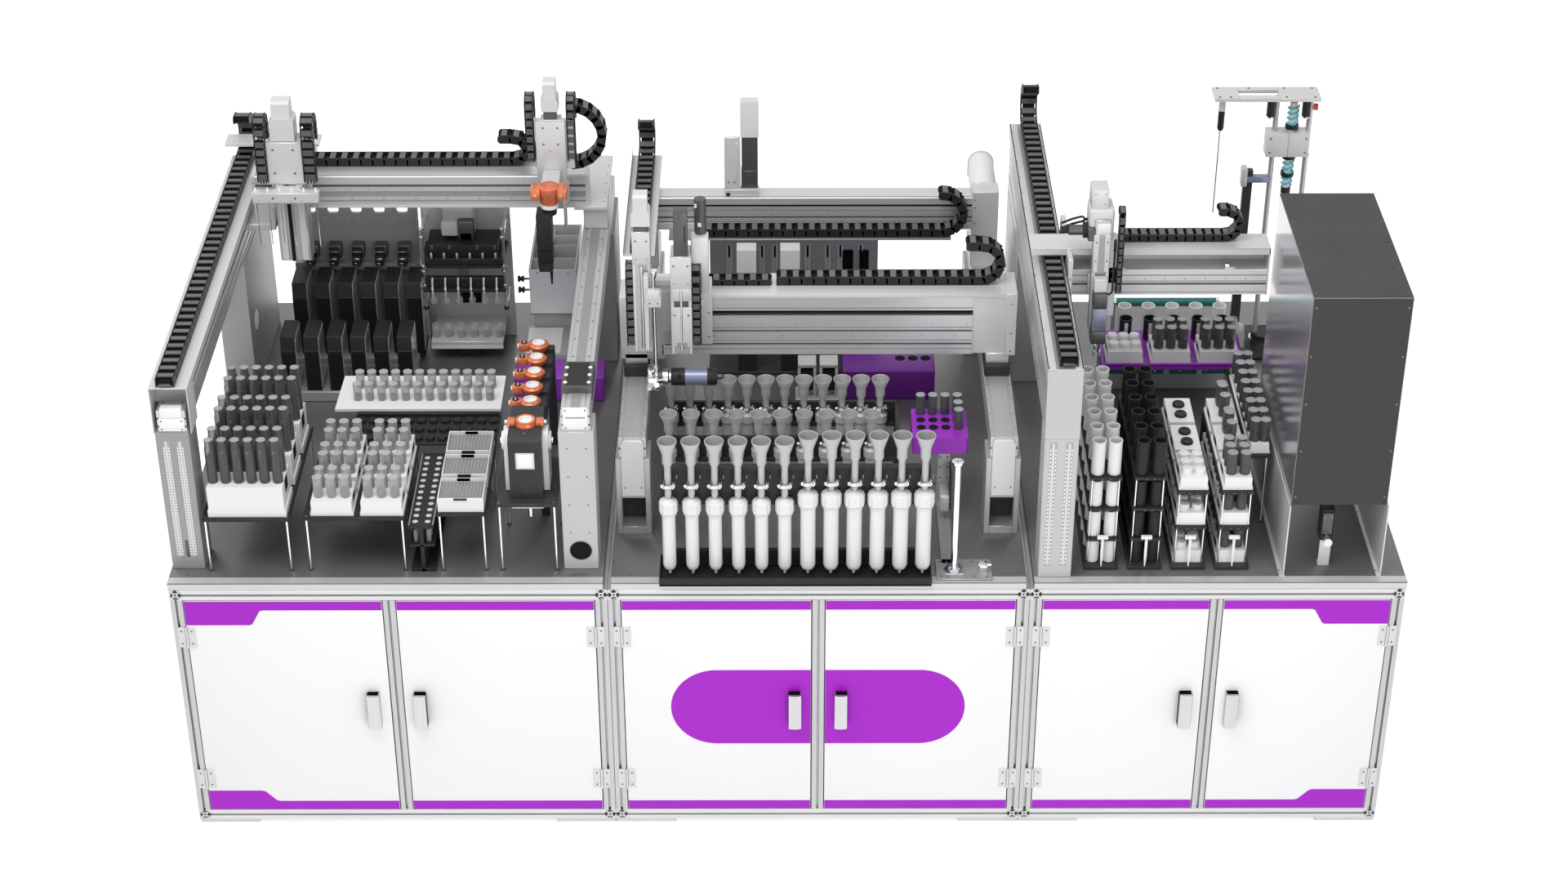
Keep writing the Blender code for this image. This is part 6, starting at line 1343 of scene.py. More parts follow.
shape.box((left + 0.052, front + 0.020, 1.720), (left + 0.090, front + 0.050, 1.780), "offWhite", 0.002)
shape.screws([(left + 0.070, front + 0.020, 1.735), (left + 0.070, front + 0.020, 1.765)], 0.0024)
chainX = left + 0.082
ladderLink = linkPattern("paleSideLink", 0.026, 0.020, 0.026)
ladder = [(chainX + 0.010, front + 0.017, 1.700 + 0.026 * k) for k in range(10)]
ladder += [(chainX + 0.010, front + 0.034 - 0.017 * math.cos(a), 1.960 + 0.020 * math.sin(a))
           for a in (0.6, 1.57, 2.5)]
layLinks(shape, ladderLink, ladder, (-1, 0, 0))
shape.box((chainX, front + 0.006, 1.690), (chainX + 0.020, front + 0.030, 1.706), "darkMetal", 0.002)
shape.box((left - 0.012, front + 0.020, 1.884), (left + 0.068, front + 0.118, 1.984), "offWhite", 0.010, 3)
shape.box((left - 0.016, front + 0.006, 1.880), (left + 0.010, front + 0.052, 1.926), "darkMetal", 0.003)
shape.box((left + 0.012, front + 0.006, 1.905), (left + 0.058, front + 0.030, 1.945), "whitePlastic", 0.006,
          2)
shape.box((left - 0.008, front + 0.032, 1.980), (left + 0.048, front + 0.108, 2.050), "paleSheet", 0.006, 2)
shape.screws([(left + 0.004, front + 0.032, 2.036), (left + 0.036, front + 0.032, 2.036),
              (left + 0.036, front + 0.032, 2.000)], 0.0022)
shape.rod((left - 0.028, front + 0.050, 1.900), (left - 0.010, front + 0.050, 1.900), 0.026, "blackPlastic",
          24)
shape.rod((left - 0.074, front + 0.050, 1.900), (left - 0.030, front + 0.050, 1.900), 0.017, "darkMetal", 16)
shape.rod((left - 0.100, front + 0.050, 1.900), (left - 0.070, front + 0.050, 1.900), 0.012, "blackPlastic",
          16)
for shift, bend in ((0.010, 0.008), (-0.008, 0.014)):
    shape.tube([(left - 0.098, front + 0.062, 1.908 + shift), (left - 0.060, front + 0.074, 1.918 + shift),
                (left - 0.030, front + 0.078, 1.924 + shift),
                (left - 0.014, front + 0.070, 1.916 + bend)], 0.004, "blackPlastic")
shape.done("vial_carriage_body", "pale_sheet", "vial_carriage")

shape = Shape("vialGripper")
gripX, gripY = (left + 0.006, left + 0.056), (back(0.565), front - 0.0004)
centre = ((gripX[0] + gripX[1]) / 2, (gripY[0] + gripY[1]) / 2)
shape.box((gripX[0] + 0.004, front - 0.030, 1.700), (gripX[1] - 0.004, front - 0.0004, 1.760), "paleSheet",
          0.002)
shape.box((gripX[0] + 0.002, gripY[0] + 0.004, 1.660), (gripX[1] - 0.002, gripY[1], 1.715), "darkMetal",
          0.005, 2)
shape.box((gripX[0] + 0.002, gripY[0] + 0.002, 1.578), (gripX[1] - 0.002, gripY[1], 1.661), "blueGrey", 0.004,
          2)
shape.box((gripX[0], gripY[0], 1.530), (gripX[1], gripY[1], 1.579), "darkMetal", 0.006, 2)
shape.box((gripX[0] + 0.008, gripY[0] - 0.0004, 1.538), (gripX[0] + 0.010, gripY[0] + 0.003, 1.570),
          "slotShade")
shape.turned([(0, 1.496), (0.010, 1.496), (0.012, 1.520), (0.018, 1.524), (0.018, 1.532), (0, 1.532)],
             (left + 0.031, front - 0.026, 0), "chrome", 24)
for shift in (-0.010, 0.010):
    shape.box((left + 0.031 + shift - 0.003, front - 0.034, 1.478),
              (left + 0.031 + shift + 0.003, front - 0.018, 1.500), "chrome", 0.001)
shape.rod((left + 0.070, front - 0.020, 1.712), (left + 0.070, front - 0.020, 1.895), 0.0036, "blackPlastic",
          12)
shape.rod((left + 0.070, front - 0.020, 1.858), (left + 0.070, front - 0.020, 1.900), 0.005, "blackPlastic",
          14)
shape.tube([(left + 0.070, front - 0.020, 1.716), (left + 0.068, front - 0.021, 1.708),
            (left + 0.060, front - 0.022, 1.703), (left + 0.048, front - 0.022, 1.702)],
           0.0036, "blackPlastic")
shape.done("vial_gripper_body", "black_plastic", "vial_gripper")
print("Right gantry dressed")


# Labware patterns
def openTube(shape, radius, low, high, wall, finish, sides=18, place=(0, 0)):
    # A closed-bottomed tube with a rounded lip.
    shape.turned([(0, low), (radius * 0.88, low), (radius, low + radius * 0.15), (radius, high - wall),
                  (radius + wall * 0.4, high - wall * 0.6),
                  (radius + wall * 0.2, high), (radius - wall, high), (radius - wall, low + wall * 1.5),
                  (0, low + wall * 1.5)],
                 (*place, 0), finish, sides)


def vialPattern(name, radius, tall, fill, neck=1.0, glass="clearGrey"):
    # A clear vial with its content, standing on z = 0.
    shape = Shape(name)
    body = tall * 0.80
    wall = 0.0012
    profile = [(0, 0), (radius * 0.9, 0), (radius, radius * 0.12), (radius, body),
               (radius * neck, body + tall * 0.07), (radius * neck, tall - 0.003),
               (radius * neck + 0.0012, tall - 0.002), (radius * neck + 0.0010, tall),
               (radius * neck - wall, tall),
               (radius * neck - wall, body + tall * 0.07), (radius - wall, body - 0.001),
               (radius - wall, 0.003), (0, 0.003)]
    shape.turned(profile, (0, 0, 0), glass, 18)
    if fill:
        shape.turned([(0, 0.0035), (radius - wall * 1.6, 0.0035), (radius - wall * 1.6, tall * fill),
                      (0, tall * fill - 0.001)], (0, 0, 0), "liquid", 16)
    # The lip is a paler glass ring: painted highlight along the rim
    ring = radius * neck
    shape.turned([(0, tall - 0.0002), (ring - wall * 1.2, tall - 0.0002), (ring - wall, tall + 0.0003),
                  (ring + 0.0009, tall + 0.0003), (ring + 0.0013, tall - 0.0008),
                  (ring - wall * 0.6, tall - 0.0012), (0, tall - 0.0012)], (0, 0, 0), "clearPale", 18)
    return shape.pattern()


def thinLegs(shape, x, y, low, high, radius=0.004, finish="chrome"):
    for px in x:
        for py in y:
            shape.rod((px, py, low), (px, py, high), radius, finish, 12)
            shape.rod((px, py, low), (px, py, low + 0.006), radius * 1.8, "darkMetal", 12)


def plateWithLegs(shape, x, y, crown, thick, finish, bevel=0.002):
    shape.box((x[0], y[0], crown - thick), (x[1], y[1], crown), finish, bevel)
    thinLegs(shape, (x[0] + 0.010, x[1] - 0.010), (y[0] + 0.010, y[1] - 0.010), benchZ, crown - thick + 0.001)
    shape.screws([(px, py, crown) for px in (x[0] + 0.010, x[1] - 0.010)
                  for py in (y[0] + 0.010, y[1] - 0.010)], 0.0045, "Z")


def rackBlock(shape, x, y, z, finish="whitePlastic"):
    # A moulded rack with a foot, sloped ends and hand notches on its sides.
    lean = 0.004
    foot = z[0] + (z[1] - z[0]) * 0.22
    shape.prism([(x[0], z[0]), (x[1], z[0]), (x[1], foot), (x[1] - lean, foot + 0.002),
                 (x[1] - lean, z[1] - 0.002), (x[1] - lean - 0.002, z[1]),
                 (x[0] + lean + 0.002, z[1]), (x[0] + lean, z[1] - 0.002), (x[0] + lean, foot + 0.002),
                 (x[0], foot)], y, "Y", finish)
    third = (y[1] - y[0]) / 3
    shape.box((x[0] + lean - 0.0006, y[0] + third, z[0] + (z[1] - z[0]) * 0.55),
              (x[0] + lean + 0.004, y[1] - third, z[1] - 0.004), "slotShade")
    shape.box((x[1] - lean - 0.004, y[0] + third, z[0] + (z[1] - z[0]) * 0.55),
              (x[1] - lean + 0.0006, y[1] - third, z[1] - 0.004), "slotShade")


# Vial stands: three racks of tall vials on a plate, and six racks of small ones
vialStands = {
    "tall": {"vial": (0.0163, 0.163, 0.62, 0.84), "crown": 1.186, "rackTop": 1.298, "seat": 1.2905,
             "lefts": (-1.835,), "size": (0.248, 0.140), "pitch": 0.190,
             "first": 0.021, "step": 0.0412, "count": 6, "rows": (0.036, 0.104)},
    "small": {"vial": (0.0150, 0.078, 0.45, 0.97, "clearPale"), "crown": 1.190, "rackTop": 1.245,
              "seat": 1.2398,
              "lefts": (-1.511, -1.353), "size": (0.137, 0.118), "pitch": 0.142,
              "first": 0.026, "step": 0.0425, "count": 3, "rows": (0.032, 0.086)},
}
for word, values in vialStands.items():
    vial = vialPattern(word + "Vial", *values["vial"])
    low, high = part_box(word + "_vial_stand")
    shape = Shape(word + "VialStand")
    plateWithLegs(shape, (low.x, high.x), (low.y, high.y), values["crown"], 0.012, "blackPlastic")
    wide, deep = values["size"]
    for left in values["lefts"]:
        for k in range(3):
            start = back(0.078 + values["pitch"] * k)
            rackBlock(shape, (left, left + wide), (start, start + deep),
                      (values["crown"] - 0.0005, values["rackTop"]))
            for i in range(values["count"]):
                for inward in values["rows"]:
                    shape.stamp(vial,
                                (left + values["first"] + values["step"] * i, start + inward, values["seat"]))
    shape.done("cabinets", "grey_clear", word + "_vial_stand")

# Narrow rack of screw caps
low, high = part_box("narrow_cap_rack")
shape = Shape("narrowCapRack")
for z in ((benchZ, tableZ + 0.0123), (1.080, 1.088), (1.148, high.z - 0.0004)):
    shape.box((low.x, low.y, z[0]), (high.x, high.y, z[1]), "blackPlastic", 0.0012)
shape.box(((low.x + high.x) / 2 - 0.006, low.y, tableZ + 0.001),
          ((low.x + high.x) / 2 + 0.006, high.y, 1.149), "blackPlastic")
for edge in (low.x, high.x - 0.004):
    shape.box((edge, low.y + 0.004, high.z - 0.0006), (edge + 0.004, high.y - 0.004, high.z), "greySheet")
for i in range(12):
    for x in (low.x + 0.020, high.x - 0.020):
        y = low.y + 0.026 + 0.0345 * i
        shape.turned([(0, high.z - 0.001), (0.0085, high.z - 0.001), (0.0090, high.z - 0.0004),
                      (0.0075, high.z), (0, high.z)], (x, y, 0), "offWhite", 16)
        shape.turned([(0, 1.0875), (0.0080, 1.0875), (0.0080, 1.124), (0.0055, 1.130), (0, 1.130)], (x, y, 0),
                     "clearPale", 12)
shape.done("cabinets", "black_plastic", "narrow_cap_rack")

# Tip boxes
low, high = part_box("tip_box_stand")
crown = 1.205
shape = Shape("tipBoxStand")
plateWithLegs(shape, (low.x, high.x), (low.y, high.y), crown, 0.012, "blackPlastic")
tip = Shape("tipMouth")
tip.turned([(0, -0.010), (0.0026, -0.010), (0.0032, 0), (0.0022, 0), (0.0020, -0.006), (0, -0.006)],
           (0, 0, 0), "frosted", 8)
tip.pattern()
for k in range(3):
    start = back(0.076 + 0.142 * k)
    x, y = (low.x + 0.006, high.x - 0.006), (start, start + 0.122)
    z = (crown - 0.0005, high.z)
    wall = 0.004
    shape.walls(x, y, z, wall, "columnWhite", 0.0012, 0.001)
    for span in (((x[0] - 0.0010, y[0] - 0.001), (x[1] + 0.001, y[0] + 0.001)),
                 ((x[0] - 0.001, y[1] - 0.001), (x[1] + 0.001, y[1] + 0.001))):
        shape.box((*span[0], z[1] - 0.012), (*span[1], z[1] - 0.008), "columnWhite")
    shape.box((x[0] + wall - 0.001, y[0] + wall - 0.001, z[0]),
              (x[1] - wall + 0.001, y[1] - wall + 0.001, z[1] - 0.014), "greySheet", 0.001)
    for spot in ((x[0] + 0.052, y[0] - 0.001), (x[0] + 0.052, y[1] - 0.004)):
        shape.box((spot[0], spot[1], z[1] - 0.012), (spot[0] + 0.042, spot[1] + 0.005, z[1] - 0.0003),
                  "darkPlate")
    for i in range(12):
        for j in range(8):
            shape.stamp(tip,
                        (x[0] + 0.012 + (x[1] - x[0] - 0.024) / 11 * i,
                         y[0] + 0.014 + (y[1] - y[0] - 0.028) / 7 * j, z[1] - 0.0065))
shape.done("cabinets", "white_plastic", "tip_box_stand")

# Capping station: black block with a white button, wheels at its sides
low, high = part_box("capping_station")
capper = {"crown": 1.240, "middle": -0.824, "top": 1.4635, "wheel": (0.195, 1.400), "dial": 0.190}
crown, middle, blockTop = capper["crown"], capper["middle"], capper["top"]
wheelY, wheelZ, dialY = back(capper["wheel"][0]), capper["wheel"][1], back(capper["dial"])
shape = Shape("cappingStation")
plateWithLegs(shape, (low.x, high.x), (low.y, high.y), crown, 0.012, "darkPlate")
for side in (-1, 1):
    x = sorted((middle + side * 0.050, middle + side * 0.070))
    outline = [(back(0.152), crown - 0.0005), (back(0.238), crown - 0.0005), (back(0.238), wheelZ)]
    outline += [(wheelY + 0.043 * math.cos(a), wheelZ + 0.050 * math.sin(a))
                for a in [math.radians(12 * k) for k in range(1, 15)]] + [(back(0.152), wheelZ)]
    shape.prism(outline, x, "X", "whitePlastic")
    shape.rod((middle + side * 0.070, wheelY, wheelZ), (middle + side * 0.078, wheelY, wheelZ), 0.030,
              "whitePlastic", 28)
    shape.rod((middle + side * 0.078, wheelY, wheelZ), (middle + side * 0.083, wheelY, wheelZ), 0.010,
              "chrome", 20)
shape.prism([(back(0.100), crown - 0.0005), (back(0.300), crown - 0.0005), (back(0.300), blockTop),
             (back(0.112), blockTop), (back(0.100), 1.450)],
            (middle - 0.052, middle + 0.052), "X", "darkPlate")
shape.screws([(middle, back(0.130), blockTop), (middle, back(0.160), blockTop)], 0.0045, "Z")
shape.box((middle - 0.030, back(0.098), crown + 0.110), (middle + 0.030, back(0.104), crown + 0.170),
          "offWhite", 0.0025, 3)
shape.box((middle - 0.024, back(0.0965), crown + 0.116), (middle + 0.024, back(0.102), crown + 0.164),
          "whitePaint", 0.002, 3)
shape.turned([(0, 1.462), (0.034, 1.462), (0.034, 1.470), (0.031, 1.474), (0.031, 1.480), (0.020, 1.480),
              (0.020, 1.471), (0, 1.471)],
             (middle, dialY, 0), "orange", 36)
shape.turned([(0, 1.4725), (0.022, 1.4725), (0.022, 1.4806), (0.0165, 1.4806), (0.0165, 1.4735), (0, 1.4735)],
             (middle, dialY, 0), "whitePlastic", 30)
for side in (-1, 1):
    x = sorted((middle + side * 0.033, middle + side * 0.058))
    shape.box((x[0], back(0.172), 1.4637), (x[1], back(0.208), 1.4785), "orange", 0.003, 2)
    shape.rod((middle + side * 0.058, dialY, 1.471), (middle + side * 0.066, dialY, 1.471), 0.006,
              "whitePlastic", 14)
shape.box((middle - 0.052, back(0.108), 1.196), (middle + 0.052, back(0.250), crown - 0.011), "whitePlastic",
          0.003)
shape.rod((middle, back(0.200), 1.112), (middle, back(0.200), 1.192), 0.010, "chrome", 18)
shape.rod((middle, back(0.200), 1.110), (middle, back(0.200), 1.122), 0.0085, "blackPlastic", 18)
shape.done("cabinets", "black_plastic", "capping_station")

# Long shelf of open vials and a tray of black caps
low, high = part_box("vial_shelf")
crown = 1.205
openVial = vialPattern("openVial", 0.0143, 0.0636, 0.30, 1.0, "clearPale")
cap = Shape("blackCap")
cap.turned([(0, 0), (0.0165, 0), (0.0165, 0.012), (0.0150, 0.0145), (0.0120, 0.0140), (0, 0.0138)], (0, 0, 0),
           "blackPlastic", 20)
cap.pattern()
shape = Shape("vialShelf")
shape.prism([(low.x, back(0.706)), (high.x, back(0.706)), (high.x, back(0.925)),
             (low.x + 0.006, back(0.925))], (crown - 0.010, crown), "Z", "whitePlastic")
for i in range(12):
    for depth in (0.770, 0.850):
        shape.stamp(openVial, (-1.445 + 0.0405 * i, back(depth), crown - 0.0010))
trayZ = (1.1755, 1.1925)
shape.box((-1.445, back(0.520), trayZ[0]), (-0.959, back(0.702), trayZ[0] + 0.008), "blackPlastic", 0.002)
shape.box((-1.440, back(0.690), 1.179), (-0.964, back(0.760), 1.196), "blackPlastic", 0.002)
for i in range(12):
    for j in range(3):
        shape.stamp(cap, (-1.422 + 0.0402 * i, back(0.552 + 0.054 * j), trayZ[0] + 0.0035))
for leg in ((low.x + 0.080, low.x + 0.092), (high.x - 0.030, high.x - 0.018)):
    shape.box((leg[0], back(0.540), benchZ), (leg[1], back(0.560), crown - 0.010), "aluminiumZ", 0.001)
    shape.box((leg[0], back(0.880), benchZ), (leg[1], back(0.900), crown - 0.010), "aluminiumZ", 0.001)
    shape.box((leg[0], back(0.540), 1.160), (leg[1], back(0.900), 1.176), "aluminiumY", 0.001)
shape.done("cabinets", "white_plastic", "vial_shelf")

# Valve bank: orange rotary valves on a dark bar, with their connectors
low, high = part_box("valve_bank")
valves = {"bar": (-0.811, -0.780), "barZ": (1.322, 1.372), "x": -0.830, "first": 0.435, "pitch": 0.092}
bar = valves["bar"]
shape = Shape("valveBank")
shape.box((bar[0], low.y, valves["barZ"][0]), (bar[1], high.y, valves["barZ"][1]), "darkPlate", 0.003)
for y in (low.y, high.y - 0.020):
    shape.box((bar[0] + 0.002, y, benchZ), (bar[1] - 0.002, y + 0.020, 1.330), "darkPlate", 0.002)
valve = Shape("orangeValve")
valve.turned([(0, -0.026), (0.026, -0.026), (0.033, -0.018), (0.034, -0.006), (0.031, -0.002), (0.024, 0.0),
              (0.018, 0.0), (0.018, -0.008), (0, -0.008)],
             (0, 0, 0), "orange", 32)
valve.turned([(0, -0.007), (0.021, -0.007), (0.021, 0.0016), (0.0165, 0.0016), (0.0165, -0.004), (0, -0.004)],
             (0, 0, 0), "whitePlastic", 28)
for k in range(8):
    a = math.radians(45 * k + 22)
    valve.rod((0.0268 * math.cos(a), 0.0268 * math.sin(a), -0.004),
              (0.0268 * math.cos(a), 0.0268 * math.sin(a), -0.0004), 0.0019, "slotShade", 8)
valve.box((-0.066, -0.0155, -0.028), (-0.030, 0.0155, -0.001), "orange", 0.003, 2)
valve.rod((-0.048, 0, -0.002), (-0.048, 0, 0.002), 0.0105, "blackPlastic", 20)
valve.box((-0.0495, -0.009, 0.0015), (-0.0465, 0.009, 0.0025), "offWhite")
valve.rod((-0.0662, 0, -0.014), (-0.0705, 0, -0.014), 0.009, "whitePlastic", 18)
valve.pattern()
for i in range(5):
    y = back(valves["first"] + valves["pitch"] * i)
    shape.stamp(valve, (valves["x"], y, high.z - 0.0020))
    shape.box((-0.821, y - 0.012, 1.366), (bar[1], y + 0.012, 1.386), "darkPlate", 0.001)
    shape.turned([(0, 1.352), (0.020, 1.352), (0.020, 1.380), (0, 1.380)], (-0.822, y, 0), "darkMetal", 20)
shape.done("cabinets", "orange", "valve_bank")

# Bath: an open steel box with dividers on a smaller base, and two hose fittings
low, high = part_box("bath_station")
bath = {"x": (-0.915, -0.746), "depth": (1.450, 1.800), "z": (1.150, 1.330), "floor": 1.158, "wall": 0.003,
        "dividers": (1.560, 1.660, 1.735), "hoses": (1.190, 1.235), "hoseDepth": 1.560}
x, y, z = bath["x"], [back(depth) for depth in bath["depth"]], bath["z"]
floorZ, wall, hoseY = bath["floor"], bath["wall"], back(bath["hoseDepth"])
shape = Shape("bathStation")
shape.walls(x, y, (z[0], z[1]), wall, "paleSheet", 0.0008)
shape.box((x[0] + 0.001, y[0] + 0.001, z[0]), (x[1] - 0.001, y[1] - 0.001, floorZ), "paleSheet")
for rim in ((x[0] - 0.0005, x[0] + 0.006), (x[1] - 0.006, x[1] + 0.0005)):
    shape.box((rim[0], y[0], 1.3265), (rim[1], y[1], z[1]), "offWhite", 0.0006)
for depth in bath["dividers"]:
    shape.box((x[0] + wall - 0.0005, back(depth), floorZ), (x[1] - wall + 0.0005, back(depth) + 0.002, 1.318),
              "offWhite")
shape.box((x[0] + 0.070, back(1.562), floorZ), (x[0] + 0.072, back(1.797), 1.316), "offWhite")
shape.screws([(px, y[0], 1.318) for px in (x[0] + 0.030, x[1] - 0.030)], 0.003)
shape.box((x[0] - 0.002, y[0] - 0.0005, z[0]), (x[1] + 0.002, y[0] + 0.004, 1.153), "darkMetal")
shape.box((x[0] + 0.010, back(1.460), benchZ), (x[1] - 0.010, back(1.790), 1.151), "greySheet", 0.002)
shape.box((-0.930, back(1.250), benchZ), (-0.730, back(1.462), 1.0990), "greySheet", 0.004, 2)
shape.box((-0.955, back(1.120), benchZ), (-0.640, back(1.252), 1.0800), "purplePaint", 0.006, 3)
shape.box((-0.922, back(1.262), 1.0985), (-0.800, back(1.440), 1.1002), "paleSheet", 0.0005)
shape.box((-0.770, back(1.244), 1.0600), (-0.742, back(1.284), 1.0998), "offWhite", 0.002)
shape.box((-0.764, back(1.242), 1.084), (-0.746, back(1.2455), 1.096), "whitePaint", 0.001)
for hoseZ in bath["hoses"]:
    shape.rod((x[0] + 0.001, hoseY, hoseZ), (x[0] - 0.030, hoseY, hoseZ), 0.004, "darkMetal", 14)
    shape.turned([(0, 0), (0.010, 0), (0.012, 0.003), (0.012, 0.008), (0.007, 0.010), (0.007, 0.013),
                  (0.0115, 0.015), (0.0115, 0.022), (0.004, 0.024), (0, 0.024)],
                 (low.x + 0.0005, hoseY, hoseZ), "blackPlastic", 20, "X")
shape.done("cabinets", "pale_sheet", "bath_station")
print("Left bench dressed")

# Cartridge station: a dark panel with slots and pumps, two rows of upright cartridges
low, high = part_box("cartridge_panel")
carts = {"panel": (1.600, 1.612), "slotZ": (1.480, 1.580), "slotWide": 0.040, "pitch": 0.0812, "wide": 0.052,
         "pumpPitch": 0.082}
x, y = (-1.740, -1.315), [back(depth) for depth in carts["panel"]]
shape = Shape("cartridgeStation")
slotLefts = [x[0] + 0.022 + carts["pumpPitch"] * i for i in range(5)]
edgesX = [x[0]] + [value for left in slotLefts for value in (left, left + carts["slotWide"])] + [x[1]]
for a, b in zip(edgesX[0::2], edgesX[1::2]):
    shape.box((a, y[0], carts["slotZ"][0]), (b, y[1], carts["slotZ"][1]), "panelGrey")
shape.box((x[0], y[0], carts["slotZ"][1] - 0.0002), (x[1], y[1], high.z), "panelGrey")
shape.box((x[0], y[0], benchZ), (x[1], y[1], carts["slotZ"][0] + 0.0002), "panelGrey")
for left in slotLefts:
    right = left + carts["slotWide"]
    for cx, start in ((left, 180), (right, 270)):
        centre = (left + 0.012 if cx == left else right - 0.012, carts["slotZ"][0] + 0.012)
        outline = [(cx, carts["slotZ"][0])] + arc(centre, 0.012, start, start + 90, 5)
        shape.prism(outline, (y[0] + 0.0004, y[1] - 0.0004), "Y", "panelGrey")
shape.screws([(slotLefts[0] - 0.012 + 0.041 * k, y[0], 1.458) for k in range(11)], 0.0022, "Y", "offWhite")
dot = Shape("railDot")
dot.box((-0.0016, -0.0010, -0.0045), (0.0016, 0.0004, 0.0045), "offWhite")
dot.pattern()
barY, barZ = (back(1.575), back(1.602)), (1.262, 1.292)
shape.box((low.x, barY[0], barZ[0]), (x[1], barY[1], barZ[1]), "panelGrey", 0.001)
for k in range(58):
    shape.stamp(dot, (low.x + 0.016 + 0.0073 * k, barY[0], barZ[0] + 0.009))
    shape.stamp(dot, (low.x + 0.016 + 0.0073 * k, barY[0], barZ[0] + 0.022))
base = (benchZ, tableZ + 0.0403)
shape.box((x[0], back(1.120), base[0]), (x[1], back(1.602), base[1]), "greySheet", 0.003)
for line in (back(1.290), back(1.345), back(1.540)):
    shape.box((x[0] + 0.004, line, base[1] - 0.001), (x[1] - 0.004, line + 0.026, base[1] + 0.0008),
              "panelGrey")
    for k in range(50):
        shape.box((x[0] + 0.010 + 0.0082 * k, line + 0.004, base[1] + 0.0002),
                  (x[0] + 0.014 + 0.0082 * k, line + 0.022, base[1] + 0.0014), "offWhite")


def cartridgeBlock(shape, left, y, foot, crown, wide):
    # A dark tall cassette: sloped shoulder at the front, a pale side painted near white as a highlight, and a
    # dark lid.
    outline = [(y[0], foot), (y[0], crown - 0.055), (y[0] + 0.004, crown - 0.050),
               (y[0] + 0.010, crown - 0.004), (y[0] + 0.014, crown), (y[1], crown), (y[1], foot)]
    shape.prism(outline, (left, left + wide - 0.0015), "X", "cassette")
    inset = [(y[0] + 0.008, foot + 0.02), (y[0] + 0.008, crown - 0.056), (y[0] + 0.016, crown - 0.008),
             (y[1] - 0.002, crown - 0.008), (y[1] - 0.002, foot + 0.02)]
    shape.prism(inset, (left + wide - 0.002, left + wide), "X", "cassetteSideHighlight")
    shape.box((left + 0.006, y[0] - 0.0008, foot + 0.012), (left + wide - 0.008, y[0] + 0.002, crown - 0.066),
              "slotShade", 0.0006)


for i in range(6):
    for depths, crown, shift in (((1.390, 1.520), 1.305, 0.0), ((1.130, 1.260), 1.235, -0.010)):
        left = x[0] - 0.012 + carts["pitch"] * i + shift
        cartridgeBlock(shape, left, [back(depth) for depth in depths], base[1] - 0.0100, crown, carts["wide"])
for i in range(6):
    left = x[0] - 0.012 + carts["pitch"] * i
    shape.rod((left + 0.026, back(1.262), 1.180), (left + 0.026, back(1.285), 1.180), 0.013, "blackPlastic",
              16)
for i in range(5):
    pump = (x[0] + 0.020 + carts["pumpPitch"] * i, x[0] + 0.066 + carts["pumpPitch"] * i)
    shape.box((pump[0], back(1.560), 1.318), (pump[1], back(1.602), 1.370), "darkMetal", 0.006, 2)
    shape.box((pump[0] + 0.002, back(1.546), 1.318), (pump[1] - 0.008, back(1.564), 1.364), "cassette", 0.005,
              2)
    shape.box((pump[0] + 0.001, back(1.545), 1.350), (pump[1] - 0.008, back(1.566), 1.3535), "chrome", 0.0005)
    shape.box((pump[0] + 0.002, back(1.530), 1.302), (pump[1] - 0.010, back(1.552), 1.340), "blackPlastic",
              0.006, 2)
    shape.box((pump[0] + 0.006, back(1.5293), 1.326), (pump[1] - 0.014, back(1.534), 1.334), "chrome", 0.0015)
    shape.box((pump[0] + 0.008, back(1.5296), 1.306), (pump[1] - 0.024, back(1.534), 1.316), "chrome", 0.0012)
shape.done("cabinets", "dark_paint", "cartridge_panel")

# Dispensing head: a black block on chrome side rods with six hoses
low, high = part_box("dispensing_head")
x, y = (low.x, high.x), (back(1.590), back(1.602))
shape = Shape("dispensingHead")
shape.box((x[0], y[0], benchZ), (x[1], y[1], high.z), "plateGrey", 0.001)
for side in (x[0] + 0.016, x[1] - 0.016):
    rodY = back(1.452)
    shape.rod((side, rodY, 1.180), (side, rodY, 1.500), 0.0055, "chrome", 18)
    for z in (1.488, 1.455, 1.340, 1.318, 1.262, 1.242):
        shape.turned([(0, z), (0.0095, z), (0.0105, z + 0.004), (0.0095, z + 0.010), (0, z + 0.010)],
                     (side, rodY, 0), "chrome", 18)
    shape.box((side - 0.007, rodY + 0.004, 1.470), (side + 0.007, y[0] + 0.001, 1.482), "chrome", 0.002)
    shape.box((side - 0.007, rodY + 0.004, 1.196), (side + 0.007, y[0] + 0.001, 1.208), "chrome", 0.002)
    shape.turned([(0, 1.168), (0.009, 1.172), (0.010, 1.182), (0, 1.186)], (side, rodY, 0), "blackPlastic",
                 18)
headY = (back(1.450), back(1.592))
shape.box((x[0] + 0.010, headY[0], 1.352), (x[1] - 0.010, headY[1], 1.3740), "blackPlastic", 0.003)
shape.box((x[0] + 0.030, headY[0] + 0.016, 1.3735), (x[1] - 0.036, headY[1], 1.420), "blackPlastic", 0.004, 2)
shape.box((x[0] + 0.022, headY[0] + 0.010, 1.330), (x[1] - 0.022, headY[1], 1.353), "darkPlate", 0.002)
for spot in (x[0] + 0.048, x[0] + 0.110, x[1] - 0.110, x[1] - 0.048):
    shape.box((spot - 0.005, headY[0] + 0.0155, 1.404), (spot + 0.005, headY[0] + 0.022, 1.4195),
              "screwSteel", 0.001)
shape.box((x[0] + 0.012, back(1.430), 1.250), (x[1] - 0.012, back(1.470), 1.262), "blackPlastic", 0.002)
